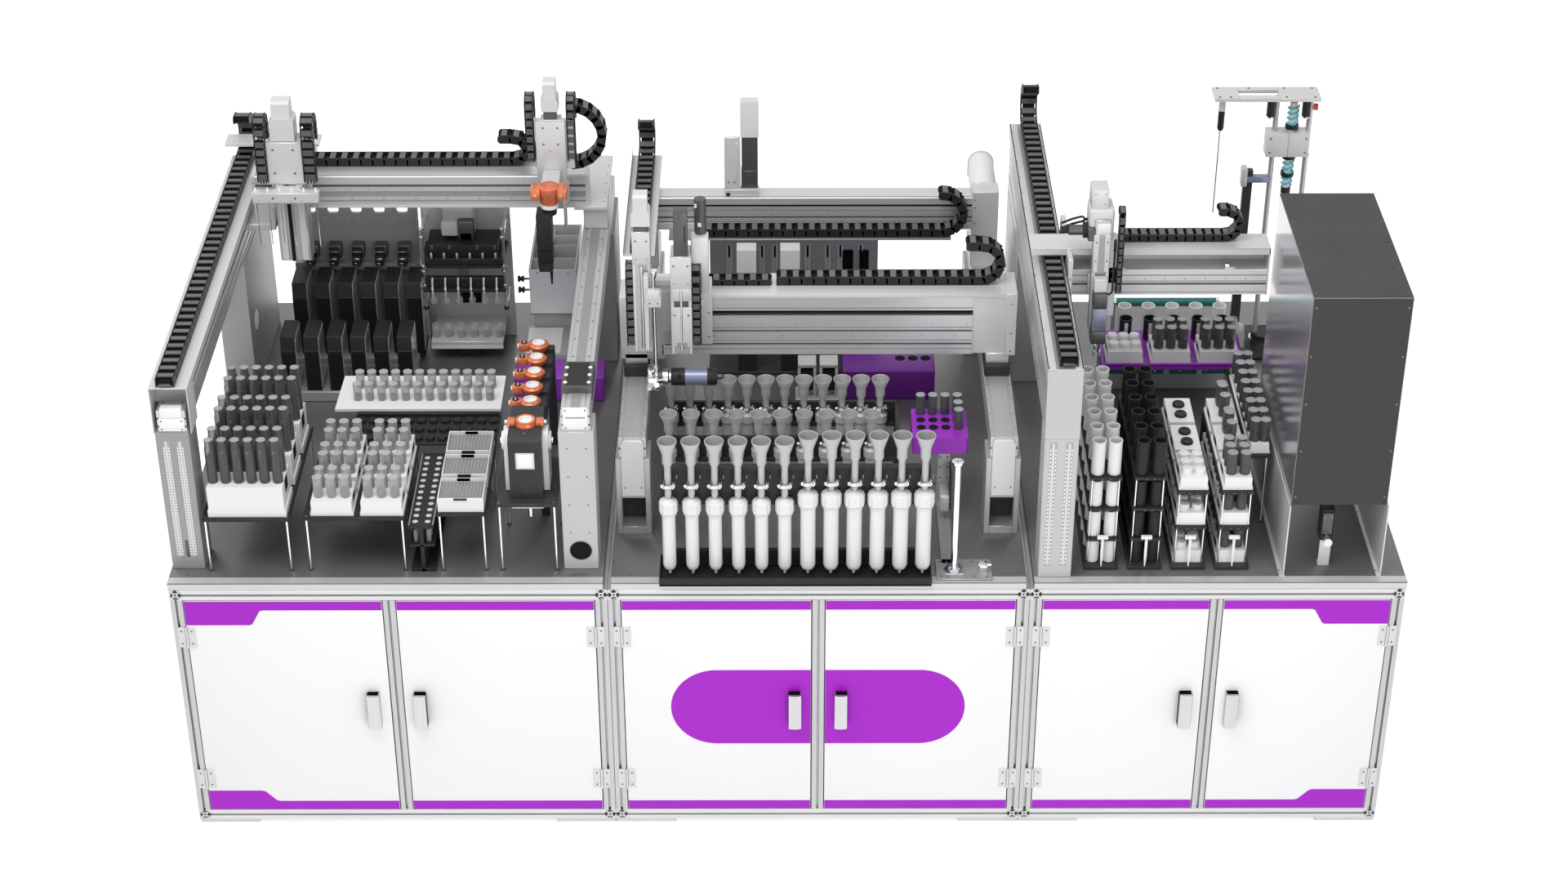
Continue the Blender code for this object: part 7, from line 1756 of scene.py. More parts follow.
shape.box((x[0] + 0.018, back(1.446), 1.261), (x[1] - 0.018, back(1.470), 1.300), "blackPlastic", 0.003)
pitch = (x[1] - x[0] - 0.090) / 5
for i in range(6):
    px = x[0] + 0.045 + pitch * i
    shape.turned([(0, 1.3735), (0.0045, 1.3735), (0.0050, 1.378), (0.0050, 1.391), (0.0035, 1.395),
                  (0, 1.395)], (px, headY[0] + 0.008, 0), "brass", 14)
    shape.tube([(px, back(1.4480), 1.300), (px, back(1.440), 1.294), (px, back(1.434), 1.280),
                (px, back(1.431), 1.262), (px, back(1.4305), 1.240),
                (px, back(1.4370), 1.215)], 0.0036, "frosted")
    shape.rod((px, back(1.4300), 1.262), (px, back(1.4300), 1.270), 0.0042, "whitePaint", 10)
    shape.turned([(0, 1.188), (0.0022, 1.188), (0.0024, 1.196), (0.0115, 1.200), (0.0120, 1.216),
                  (0.0060, 1.226), (0.0045, 1.236), (0, 1.236)], (px, back(1.450), 0), "clearPale", 16)
    shape.turned([(0, 1.2355), (0.0045, 1.2355), (0.0045, 1.244), (0, 1.244)], (px, back(1.450), 0),
                 "whitePaint", 12)
shape.box((x[0] + 0.080, back(1.530), 1.425), (x[1] - 0.120, headY[1], 1.540), "plateGrey", 0.014, 4)
shape.box((x[0] + 0.078, back(1.512), 1.430), (x[0] + 0.142, back(1.560), 1.486), "offWhite", 0.010, 3)
shape.box((x[0] + 0.138, back(1.500), 1.418), (x[1] - 0.122, back(1.570), 1.496), "darkMetal", 0.008, 2)
shape.box((x[0] + 0.146, back(1.500), 1.4185), (x[1] - 0.130, back(1.515), 1.452), "cassette", 0.002)
shape.box((x[0] + 0.118, back(1.588), 1.196), (x[0] + 0.158, back(1.5905), 1.260), "greySheet", 0.0008)
shape.box((x[0] + 0.117, back(1.588), 1.120), (x[0] + 0.200, back(1.5905), 1.178), "slotShade", 0.0008)
shape.box((x[0] + 0.030, back(1.400), 1.050), (x[1] - 0.030, back(1.592), 1.066), "plateGrey", 0.002)
shape.box((x[0] + 0.030, back(1.3998), 1.036), (x[1] - 0.030, back(1.404), 1.051), "offWhite", 0.0008)
shape.box((x[0] + 0.120, back(1.440), benchZ), (x[0] + 0.200, back(1.592), 1.0520), "blackPlastic", 0.002)
cup = Shape("dispenseCup")
openTube(cup, 0.0138, 0, 0.050, 0.0012, "clearPale", 18)
cup.turned([(0, 0.002), (0.0122, 0.002), (0.0122, 0.018), (0, 0.018)], (0, 0, 0), "liquid", 16)
cup.pattern()
for i in range(6):
    shape.stamp(cup, (x[0] + 0.045 + pitch * i, back(1.440), 1.0655))
shape.done("cabinets", "pale_sheet", "dispensing_head")
print("Left stations dressed")


# Filter columns: white bodies with screw caps, metal taps on a bar and flared funnels
filterRow = {"first": -0.374, "pitch": 0.0732, "depth": 0.040, "foot": 0.9965, "barZ": (1.236, 1.300),
             "bar": (0.063, 0.100)}


def columnPattern(name, body, cap, capUp, funnelTop):
    # One column from its drip tip to its funnel, on its own axis.
    shape = Shape(name)
    foot = filterRow["foot"]
    capZ = foot + capUp
    shape.turned([(0, foot), (0.0042, foot), (0.0052, foot + 0.012), (0.0085, foot + 0.014),
                  (body * 0.80, foot + 0.022), (body, foot + 0.036),
                  (body, capZ - 0.040), (body + 0.004, capZ - 0.036), (body + 0.004, capZ - 0.031),
                  (body + 0.001, capZ - 0.029), (0, capZ - 0.028)],
                 (0, 0, 0), "columnWhite", 32)
    ribs = []
    for k in range(24):
        a = 2 * math.pi * k / 24
        r = cap * (1.0 if k % 2 == 0 else 0.93)
        ribs.append((r * math.cos(a), r * math.sin(a)))
    shape.prism(ribs, (capZ - 0.026, capZ + 0.010), "Z", "columnWhite")
    shape.turned([(0, capZ + 0.0095), (cap * 0.93, capZ + 0.0095), (cap * 0.86, capZ + 0.014),
                  (cap * 0.45, capZ + 0.019), (0.011, capZ + 0.021), (0, capZ + 0.021)],
                 (0, 0, 0), "columnWhite", 32)
    stemTop = funnelTop - 0.092
    shape.turned([(0, capZ + 0.020), (0.0055, capZ + 0.020), (0.0095, capZ + 0.032), (0.0108, capZ + 0.036),
                  (0.0108, stemTop), (0.0165, stemTop + 0.012),
                  (0.0165, stemTop + 0.040), (0.0185, stemTop + 0.050), (0.0300, funnelTop - 0.006),
                  (0.0305, funnelTop), (0.0290, funnelTop), (0.0165, stemTop + 0.052),
                  (0.0080, stemTop + 0.044), (0, stemTop + 0.044)], (0, 0, 0), "frosted", 32)
    # Darker lining on the funnel's inner face: painted shade inside the funnel
    inner = [(0.0077, 0.0446), (0.0162, 0.0528), (0.0282, 0.0908), (0.0285, 0.0902), (0.0164, 0.0520),
             (0.0079, 0.0440)]
    shape.turned([(0, stemTop + 0.0446)] + [(r, stemTop + lift) for r, lift in inner]
                 + [(0, stemTop + 0.0440)], (0, 0, 0), "funnelInsideShade", 32)
    shape.turned([(0, stemTop + 0.0447), (0.0072, stemTop + 0.0447), (0.0072, stemTop + 0.0452),
                  (0, stemTop + 0.0452)], (0, 0, 0), "slotShade", 16)
    return shape.pattern()


tap = Shape("tapSet")
tap.box((-0.017, -0.018, -0.006), (0.017, 0.000, 0.007), "handleSteel", 0.003, 2)
tap.rod((-0.021, -0.009, 0.0005), (0.022, -0.009, 0.0005), 0.0062, "chrome", 18)
tap.box((0.014, -0.016, -0.009), (0.020, -0.002, 0.013), "handleSteel", 0.002)
tap.rod((0.020, -0.009, 0.0005), (0.031, -0.009, 0.0005), 0.0050, "blackPlastic", 16)
tap.box((0.021, -0.0135, 0.004), (0.024, -0.0065, 0.016), "screwSteel", 0.001)
tap.rod((-0.024, -0.009, 0.0005), (-0.021, -0.009, 0.0005), 0.0045, "screwSteel", 14)
tap.box((-0.0135, -0.012, 0.006), (-0.0105, 0.010, 0.019), "screwSteel", 0.001)
tap.box((-0.010, -0.019, -0.004), (0.004, -0.0165, 0.005), "whitePaint", 0.001)
tap.pattern()
narrow = columnPattern("narrowColumn", 0.0213, 0.0298, 0.262, 1.492)
wide = columnPattern("wideColumn", 0.0243, 0.0328, 0.290, 1.512)
shape = Shape("filterColumns")
y = back(filterRow["depth"])
for i in range(12):
    x = filterRow["first"] + filterRow["pitch"] * i
    shape.stamp(wide if i > 5 else narrow, (x, y, 0))
    shape.stamp(tap, (x, y - 0.002, 1.331 if i < 6 else 1.340))
barX = (-0.395, 0.451)
shape.box((barX[0], back(filterRow["bar"][0]) + 0.004, 1.300), (barX[1], back(filterRow["bar"][1]), 1.372),
          "darkPlate", 0.002)
shape.box((barX[0] - 0.004, back(filterRow["bar"][0]) + 0.006, filterRow["barZ"][0]),
          (barX[1], back(filterRow["bar"][1]), 1.302), "darkPlate", 0.002)
shape.box((barX[0], back(0.084), filterRow["foot"] - 0.003),
          (barX[1], back(0.100), filterRow["foot"] + 0.056), "blackPlastic", 0.001)
for px in (barX[0] + 0.001, barX[1] - 0.011):
    shape.box((px, back(0.073), filterRow["foot"] - 0.002), (px + 0.010, back(0.098), filterRow["barZ"][1]),
              "darkPlate", 0.001)
for i in range(12):
    x = filterRow["first"] + filterRow["pitch"] * i
    shape.box((x + 0.024, back(0.062), 1.338), (x + 0.030, back(0.070), 1.352), "screwSteel", 0.001)
    shape.box((x - 0.012, back(0.040), 1.318), (x + 0.012, back(0.066), 1.328), "screwSteel", 0.001)
shape.done("cabinets", "white_plastic", "filter_row_front")

low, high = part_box("filter_tray")
shape = Shape("filterTray")
shape.box((low.x, low.y, low.z), (high.x, high.y, low.z + 0.007), "blackPlastic")
shape.walls((low.x, high.x), (low.y, high.y), (low.z, high.z), 0.004, "blackPlastic", 0.001)
shape.done("cabinets", "black_plastic", "filter_tray")

# Two more rows of funnels on dark bars behind
funnel = Shape("rearFunnel")
funnel.turned([(0, 1.262), (0.0105, 1.262), (0.0108, 1.290), (0.0160, 1.302), (0.0160, 1.326),
               (0.0180, 1.334), (0.0288, 1.359), (0.0290, 1.364), (0.0278, 1.364),
               (0.0160, 1.337), (0.0078, 1.330), (0, 1.330)], (0, 0, 0), "frosted", 28)
# Darker lining on the funnel's inner face: painted shade inside the funnel
funnel.turned([(0, 1.3306), (0.0076, 1.3306), (0.0158, 1.3378), (0.0270, 1.3632), (0.0273, 1.3626),
               (0.0161, 1.3370), (0.0079, 1.3300), (0, 1.3300)],
              (0, 0, 0), "funnelInsideShade", 28)
funnel.turned([(0, 1.3307), (0.0072, 1.3307), (0.0072, 1.3312), (0, 1.3312)], (0, 0, 0), "slotShade", 16)
funnel.turned([(0, 1.120), (0.0035, 1.120), (0.0045, 1.128), (0.0205, 1.134), (0.0210, 1.200),
               (0.0255, 1.204), (0.0255, 1.230), (0.0120, 1.240), (0.0100, 1.246), (0, 1.246)],
              (0, 0, 0), "frosted", 24)
funnel.pattern()
low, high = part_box("filter_rows_rear")
shape = Shape("rearFunnels")
for depth, count, pitch in ((0.414, 10, 0.0732), (0.634, 12, 0.063)):
    for i in range(count):
        x = -0.384 + pitch * i
        shape.stamp(funnel, (x, back(depth), 0))
        shape.stamp(tap, (x, back(depth) - 0.002, 1.254))
    shape.box((low.x + 0.010, back(depth + 0.007), 1.180), (high.x - 0.010, back(depth + 0.020), 1.270),
              "darkPlate", 0.0015)
    shape.box((low.x + 0.010, back(depth) - 0.006, 1.182), (high.x - 0.010, back(depth + 0.008), 1.196),
              "darkPlate", 0.001)
for px in (-0.395, 0.358):
    shape.box((px, back(0.420), 1.200), (px + 0.012, back(0.654), 1.250), "darkPlate", 0.001)
    for depth in (0.420, 0.634):
        shape.box((px, back(depth), benchZ), (px + 0.012, back(depth + 0.020), 1.202), "darkPlate", 0.001)
shape.done("cabinets", "frosted", "filter_rows_rear")

# Purple rack on its post, with the silver rod and a small side valve
x, y = (0.407, 0.587), (back(0.362), back(0.548))
z = (1.240, 1.300)
shape = Shape("rackPost")
columns = [x[0] + 0.030 + 0.040 * i for i in range(4)]
rows = [y[1] - 0.026, y[1] - 0.072, y[1] - 0.118]
shape.prism([(x[0] + 0.006, y[0]), (x[1] - 0.006, y[0]), (x[1], y[0] + 0.006), (x[1], y[1] - 0.006),
             (x[1] - 0.006, y[1]), (x[0] + 0.006, y[1]), (x[0], y[1] - 0.006),
             (x[0], y[0] + 0.006)], z, "Z", "purpleRack")
# Each hole is drawn flat: a deep purple ring and a dark disk, painted shade inside the hole
for cx in columns:
    for cy in rows:
        shape.rod((cx, cy, z[1] - 0.0008), (cx, cy, z[1] + 0.0003), 0.0165, "purpleDeepAndHoleShade", 24)
        shape.rod((cx, cy, z[1] + 0.0002), (cx, cy, z[1] + 0.0006), 0.0145, "slotShade", 24)
shape.screws([((columns[1] + columns[2]) / 2, rows[1] - 0.023, z[1]),
              ((columns[2] + columns[3]) / 2 - 0.010, rows[1] - 0.023, z[1])], 0.003, "Z", "purpleDeepAndHoleShade")
rackVial = vialPattern("rackVial", 0.0145, 0.072, 0.18, 1.0)
for cx, cy in [(cx, rows[0]) for cx in columns] + [(columns[3], rows[1]), (columns[3], rows[2])]:
    shape.stamp(rackVial, (cx, cy, z[1] - 0.0020))
shape.box((0.475, back(0.010), benchZ), (0.655, back(0.125), tableZ + 0.0063), "greySheet", 0.002)
shape.screws([(cx, back(cy), tableZ + 0.0063) for cx in (0.490, 0.512, 0.596, 0.636)
              for cy in (0.026, 0.108)], 0.004, "Z")
shape.box((0.495, back(0.100), benchZ), (0.535, back(0.470), tableZ + 0.0063), "greySheet", 0.001)
shape.box((0.495, back(0.440), benchZ), (0.535, back(0.470), z[0] + 0.001), "paleSheet", 0.002)
shape.screws([(cx, back(0.440), cz) for cx in (0.503, 0.527) for cz in (1.06, 1.10, 1.14, 1.18, 1.225)],
             0.0034)
shape.box((0.498, back(0.350), 1.020), (0.534, back(0.440), 1.085), "plateGrey", 0.010, 3)
shape.box((0.532, back(0.352), 1.030), (0.5365, back(0.430), 1.170), "blackPlastic", 0.001)
shape.screws([(0.5365, back(0.37 + 0.02 * k), 1.10) for k in range(3)], 0.004, "X")
hexagon = [(0.534 + 0.034 * math.cos(math.radians(60 * k)),
            back(0.062) + 0.034 * math.sin(math.radians(60 * k))) for k in range(6)]
shape.prism(hexagon, (tableZ + 0.006, tableZ + 0.012), "Z", "chrome")
shape.turned([(0, tableZ + 0.011), (0.020, tableZ + 0.011), (0.020, tableZ + 0.018), (0.013, tableZ + 0.022),
              (0.0118, tableZ + 0.030), (0.0118, 1.392), (0.0185, 1.394),
              (0.0185, 1.402), (0.0120, 1.4025), (0.0120, 1.398), (0, 1.398)], (0.534, back(0.062), 0),
             "chrome", 28)
shape.rod((0.534, back(0.062), 1.396), (0.534, back(0.062), 1.408), 0.0026, "chrome", 12)
shape.box((0.506, back(0.032), tableZ + 0.006), (0.562, back(0.036), tableZ + 0.012), "offWhite", 0.001)
shape.box((0.615, back(0.050), tableZ + 0.006), (0.640, back(0.080), tableZ + 0.030), "chrome", 0.003, 2)
shape.turned([(0, 0), (0.007, 0), (0.007, 0.022), (0.0045, 0.025), (0.0045, 0.040), (0, 0.040)],
             (0.613, back(0.065), 1.008), "chrome", 20, "X")
shape.done("cabinets", "purple", "rack_post")

# Vented panel with two capped motors and a purple block
low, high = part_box("vented_panel")
shape = Shape("ventedPanel")
x, y = (low.x, 0.330), (back(1.600), back(1.612))
shape.box((x[0], y[0], benchZ), (x[1], y[1], 1.385), "plateGrey", 0.001)
shape.box((x[0], y[0] - 0.0006, 1.381), (x[1], y[0] + 0.004, 1.3855), "offWhite", 0.0006)
ventDot = Shape("ventDot")
ventDot.box((-0.0022, -0.0008, -0.0024), (0.0022, 0.0004, 0.0024), "whitePaint")
ventDot.pattern()
for pair in range(5):
    for shift in (0.0, 0.046):
        vx = x[0] + 0.070 + 0.118 * pair + shift
        if vx > x[1] - 0.02:
            continue
        shape.box((vx - 0.010, y[0] - 0.0006, 1.150), (vx + 0.010, y[0] + 0.001, 1.352), "paleSheet", 0.0004)
        shape.box((vx - 0.0035, y[0] - 0.0012, 1.300), (vx + 0.0035, y[0] + 0.001, 1.348), "slotShade",
                  0.0006)
        for k in range(26):
            for side in (-0.0065, 0.0065):
                shape.stamp(ventDot, (vx + side, y[0] - 0.0006, 1.156 + 0.0074 * k))
for vx in (x[1] - 0.108, x[1] - 0.052):
    shape.box((vx - 0.019, y[0] - 0.0014, 1.215), (vx + 0.019, y[0] + 0.001, 1.330), "slotShade", 0.006, 3)
shape.box((x[0], back(1.300), benchZ), (high.x - 0.190, back(1.602), tableZ + 0.0123), "darkPlate", 0.002)
for left in (-0.171, -0.019):
    shape.box((left, back(1.310), tableZ + 0.010), (left + 0.064, back(1.345), 1.394), "blackPlastic", 0.002)
    shape.box((left + 0.006, back(1.309), tableZ + 0.10), (left + 0.058, back(1.312), 1.385), "darkMetal",
              0.001)
    shape.prism([(back(1.276), 1.388), (back(1.276), 1.418), (back(1.286), 1.494), (back(1.345), 1.494),
                 (back(1.345), 1.388)], (left - 0.002, left + 0.066), "X", "offWhite")
for left in (0.040, 0.116):
    for start in (left, left + 0.054):
        shape.box((start, back(1.120), tableZ + 0.0123), (start + 0.010, back(1.190), 1.128), "offWhite",
                  0.003, 2)
    shape.box((left, back(1.120), 1.118), (left + 0.064, back(1.190), 1.132), "offWhite", 0.003, 2)
    shape.box((left + 0.010, back(1.130), 1.020), (left + 0.054, back(1.180), 1.105), "blackPlastic", 0.004,
              2)
    shape.box((left - 0.008, back(1.110), benchZ), (left + 0.072, back(1.200), tableZ + 0.0130), "paleSheet",
              0.002)
px, py = (0.195, 0.520), (back(1.130), back(1.330))
shape.box((px[0], py[0], benchZ), (px[1], py[1], 1.100), "purpleDeepAndHoleShade", 0.006, 3)
for i in range(3):
    cx = px[1] - 0.030 - 0.045 * i
    shape.rod((cx, py[0] + 0.090, 1.0990), (cx, py[0] + 0.090, 1.1004), 0.018, "slotShade", 24)
shape.done("cabinets", "pale_sheet", "vented_panel")
print("Middle bench dressed")


# Pull-out racks: tiers on thin rods, a T handle at the front
def cupPattern(name, radius, tall, finish, inside):
    shape = Shape(name)
    openTube(shape, radius, 0, tall, 0.0028, finish, 26)
    shape.turned([(0, tall * 0.3), (radius - 0.0030, tall * 0.3), (radius - 0.0030, tall * 0.3 + 0.001),
                  (0, tall * 0.3 + 0.001)], (0, 0, 0), inside, 20)
    return shape.pattern()


whiteCup = cupPattern("whiteCup", 0.0212, 0.122, "columnWhite", "paleSheet")
blackCup = cupPattern("blackCup", 0.0212, 0.122, "blackPlastic", "slotShade")
lowWhite = cupPattern("lowWhiteCup", 0.0205, 0.094, "columnWhite", "paleSheet")
lowBlack = cupPattern("lowBlackCup", 0.0205, 0.094, "blackPlastic", "slotShade")
rackTall = vialPattern("rackTall", 0.0172, 0.080, 0.35, 0.95)
lowVial = vialPattern("lowVial", 0.0165, 0.062, 0.55, 0.95)
whiteCap = Shape("whiteCap")
whiteCap.turned([(0, 0), (0.0178, 0), (0.0180, 0.014), (0.0165, 0.0200), (0.0120, 0.0215), (0, 0.0215)],
                (0, 0, 0), "columnWhite", 26)
whiteCap.pattern()
darkCap = Shape("darkCap")
darkCap.turned([(0, 0), (0.0195, 0), (0.0200, 0.008), (0.0180, 0.0110), (0.0120, 0.0100), (0, 0.0100)],
               (0, 0, 0), "blackPlastic", 26)
darkCap.pattern()
rackRow = {"depth": (0.070, 0.600), "wide": 0.110, "cup": (1.096, 1.210, 1.326), "vial": (1.140, 1.272)}
loads = {"a": ("cup", whiteCup, lowWhite), "b": ("cup", blackCup, lowBlack), "c": ("vial", None, None),
         "d": ("vial", None, None)}
for letter in "abcd":
    name = "pull_rack_" + letter
    low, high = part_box(name)
    kind, topCup, lowCup = loads[letter]
    tiers = rackRow[kind]
    x, y = (low.x, low.x + rackRow["wide"]), [back(depth) for depth in rackRow["depth"]]
    middle = (x[0] + x[1]) / 2
    shape = Shape("pullRack" + letter.upper())
    shape.box((x[0], y[0], benchZ), (x[1], y[1], tableZ + 0.0123), "darkPlate", 0.0015)
    for crown in tiers:
        shape.box((x[0] + 0.004, y[0] + 0.014, crown - 0.012), (x[1] - 0.004, y[1], crown), "blackPlastic",
                  0.0015)
        shape.screws([(cx, y[0] + 0.014, crown - 0.006)
                      for cx in (x[0] + 0.012, middle - 0.012, middle + 0.012, x[1] - 0.012)], 0.0020)
        for k in range(7):
            notch = y[0] + 0.070 + 0.070 * k
            shape.box((x[0] + 0.0035, notch, crown - 0.0125), (x[0] + 0.007, notch + 0.012, crown - 0.003),
                      "slotShade")
    for px in (x[0] + 0.012, x[1] - 0.012):
        shape.rod((px, y[0] + 0.024, tableZ + 0.012), (px, y[0] + 0.024, tiers[-1] - 0.011), 0.0026, "chrome",
                  12)
    shape.box((x[0] + 0.006, y[1] - 0.004, tableZ + 0.006), (x[1] - 0.006, y[1] - 0.001, tiers[-1] - 0.002),
              "darkPlate")
    shape.prism([(middle - 0.0015, tableZ + 0.011), (middle + 0.0015, tableZ + 0.011),
                 (middle + 0.0042, tableZ + 0.050), (middle + 0.0042, tableZ + 0.118),
                 (middle - 0.0042, tableZ + 0.118), (middle - 0.0042, tableZ + 0.050)],
                (y[0] + 0.003, y[0] + 0.010), "Y", "whitePlastic")
    shape.box((middle - 0.0175, y[0], tableZ + 0.1165), (middle + 0.0175, y[0] + 0.012, tableZ + 0.128),
              "whitePlastic", 0.002, 2)
    top = tiers[-1]
    if kind == "cup":
        for cx in (x[0] + 0.029, x[1] - 0.029):
            for i in range(6):
                cy = y[0] + 0.044 + 0.088 * i
                shape.stamp(topCup, (cx, cy, top - 0.0005))
                for tier in (tableZ + 0.0123, tiers[0], tiers[1]):
                    shape.stamp(lowCup, (cx, cy, tier - 0.0004))
    else:
        for level, tier in enumerate((top, tiers[0], tableZ + 0.0123)):
            for k in range(3):
                start = y[0] + 0.026 + 0.168 * k
                deep = 0.150
                rackBlock(shape, (x[0] + 0.008, x[1] - 0.008), (start, start + deep),
                          (tier - 0.0005, tier + 0.046), "whitePlastic")
                if level == 0 and k > 0:
                    for j in range(2):
                        place = (middle, start + 0.042 + 0.062 * j, tier + 0.0455)
                        shape.stamp(darkCap if letter == "c" else rackTall, place)
                    if letter == "d":
                        shape.stamp(rackTall, (middle, start + 0.125, tier + 0.042))
                else:
                    for j in range(3):
                        for cx in (x[0] + 0.034, x[1] - 0.034):
                            place = (cx, start + 0.030 + 0.045 * j,
                                     tier + (0.0455 if letter == "c" else 0.0430))
                            if level and letter == "d":
                                shape.stamp(lowVial, place)
                            else:
                                shape.stamp(whiteCap if letter == "c" else rackTall, place)
    shape.done(name + "_body",
               {"a": "white_plastic", "b": "black_plastic", "c": "white_plastic", "d": "grey_clear"}[letter],
               name)
print("Pull-out racks dressed")


# Tray station: a purple tray with racks on it, black cups behind, white cups and a teal tube at the back
low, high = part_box("tray_station")
shape = Shape("trayStation")
tray = {"crown": 1.252, "thick": 0.020, "racks": ((0.020, 0.146), (0.170, 0.308), (0.332, 0.470)),
        "rackDeep": (0.924, 1.044), "cups": 5, "cupFirst": 1.185, "cupPitch": 0.083}
x, y = (low.x, high.x), (back(0.912), back(1.150))
shape.prism([(x[0] + 0.004, y[0]), (x[1] - 0.004, y[0]), (x[1], y[0] + 0.004), (x[1], y[1]), (x[0], y[1]),
             (x[0], y[0] + 0.004)],
            (tray["crown"] - 0.005, tray["crown"]), "Z", "purpleRack")
shape.box((x[0], y[0], tray["crown"] - tray["thick"]), (x[1], y[0] + 0.006, tray["crown"] + 0.0005),
          "purpleRack", 0.002)
shape.box((x[0] + 0.002, y[1] - 0.006, tray["crown"] - tray["thick"]),
          (x[1] - 0.002, y[1], tray["crown"] - 0.001), "purpleRack", 0.001)
for px in (x[0], x[1] - 0.005):
    shape.box((px, y[0] + 0.002, tray["crown"] - tray["thick"]), (px + 0.005, y[1], tray["crown"]),
              "purpleRack", 0.001)
thinLegs(shape, (x[0] + 0.020, x[1] - 0.020), (y[0] + 0.014, y[1] - 0.014), benchZ, tray["crown"] - 0.004,
         0.006, "chrome")
trayVial = vialPattern("trayVial", 0.0165, 0.082, 0.30, 0.95)
trayCup = Shape("trayCup")
trayCup.turned([(0, 0), (0.021, 0), (0.0215, 0.070), (0.0225, 0.074), (0.0225, 0.080), (0.0195, 0.080),
                (0.0180, 0.050), (0, 0.050)], (0, 0, 0), "blackPlastic", 24)
trayCup.box((-0.006, -0.024, 0.020), (0.006, -0.019, 0.070), "offWhite", 0.001)
trayCup.pattern()
backCup = Shape("backCup")
backCup.turned([(0, 1.110), (0.0228, 1.110), (0.0232, 1.262), (0.0238, 1.266), (0.0238, 1.290),
                (0.0200, 1.290), (0.0190, 1.240), (0, 1.240)], (0, 0, 0), "columnWhite", 26)
backCup.pattern()
for n, (a, b) in enumerate(tray["racks"]):
    rackBlock(shape, (x[0] + a, x[0] + b), [back(depth) for depth in tray["rackDeep"]],
              (tray["crown"] - 0.0004, tray["crown"] + 0.044), "whitePlastic")
    for i in range(3):
        for depth in (0.956, 1.012):
            cx = x[0] + a + (b - a) * (0.20 + 0.30 * i)
            shape.stamp(whiteCap if n == 0 else trayVial,
                        (cx, back(depth), tray["crown"] + (0.0436 if n == 0 else 0.0420)))
for i in range(tray["cups"]):
    cupX = tray["cupFirst"] + tray["cupPitch"] * i
    shape.stamp(trayCup, (cupX - 0.015, back(1.097), tray["crown"] - 0.0004))
    shape.stamp(backCup, (cupX, back(1.260), 0))
    shape.box((cupX - 0.028, back(1.206), 1.105), (cupX + 0.028, back(1.330), 1.1195), "paleSheet", 0.002)
shape.box((1.130, back(1.200), benchZ), (1.542, back(1.330), 1.108), "plateGrey", 0.004, 2)
shape.box((1.130, back(1.140), 1.080), (1.542, back(1.205), 1.108), "teal", 0.004, 2)
shape.screws([(cx, back(1.140), 1.094) for cx in (1.20, 1.29, 1.38, 1.47)], 0.004, "Y", "chrome")
for k in range(3):
    shape.box((1.205 + 0.115 * k, back(1.136), 1.082), (1.225 + 0.115 * k, back(1.144), 1.104), "plateGrey",
              0.001)
shape.rod((1.148, back(1.310), 1.275), (1.523, back(1.310), 1.275), 0.0155, "teal", 28)
for px in (1.148, 1.511):
    shape.rod((px, back(1.310), 1.275), (px + 0.012, back(1.310), 1.275), 0.0170, "chrome", 28)
    shape.box((px - 0.001, back(1.302), 1.105), (px + 0.013, back(1.320), 1.276), "aluminiumZ", 0.002)
shape.done("cabinets", "purple", "tray_station")

# Side rack: a long white rack with two rows of grey vials on a black plate
low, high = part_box("side_rack")
shape = Shape("sideRack")
sideRack = {"depth": (0.330, 0.890), "crown": 1.252, "rackDepth": (0.345, 0.830), "rackTop": 1.286,
            "first": 0.375, "pitch": 0.061, "rows": (1.514, 1.545), "seat": 1.2836}
x, y = (low.x, high.x), [back(depth) for depth in sideRack["depth"]]
crown = sideRack["crown"]
shape.box((x[0] + 0.002, y[0] + 0.002, crown - 0.012), (x[1], y[1], crown), "blackPlastic", 0.002)
thinLegs(shape, (x[0] + 0.012, x[1] - 0.012), (y[0] + 0.020, y[1] - 0.020), benchZ, crown - 0.010, 0.0045,
         "chrome")
rackBlock(shape, (x[0] + 0.008, x[1] - 0.004), [back(depth) for depth in sideRack["rackDepth"]],
          (crown - 0.0004, sideRack["rackTop"]))
for i in range(8):
    for cx in sideRack["rows"]:
        shape.stamp(rackTall, (cx, back(sideRack["first"] + sideRack["pitch"] * i), sideRack["seat"]))
shape.box((x[0], y[0] + 0.220, 1.120), (x[0] + 0.003, y[0] + 0.400, crown - 0.004), "plateGrey", 0.001)
for k in range(12):
    for j in range(3):
        spot = (x[0] + 0.0002, y[0] + 0.234 + 0.0125 * k, 1.150 + 0.032 * j)
        shape.rod(spot, (spot[0] - 0.0008, spot[1], spot[2]), 0.0034, "slotShade", 10)
for k in range(3):
    shape.box((x[0] + 0.010, y[1] - 0.050 + 0.014 * k, crown - 0.0005),
              (x[1] - 0.010, y[1] - 0.042 + 0.014 * k, crown + 0.012), "darkMetal", 0.001)
shape.done("cabinets", "white_plastic", "side_rack")

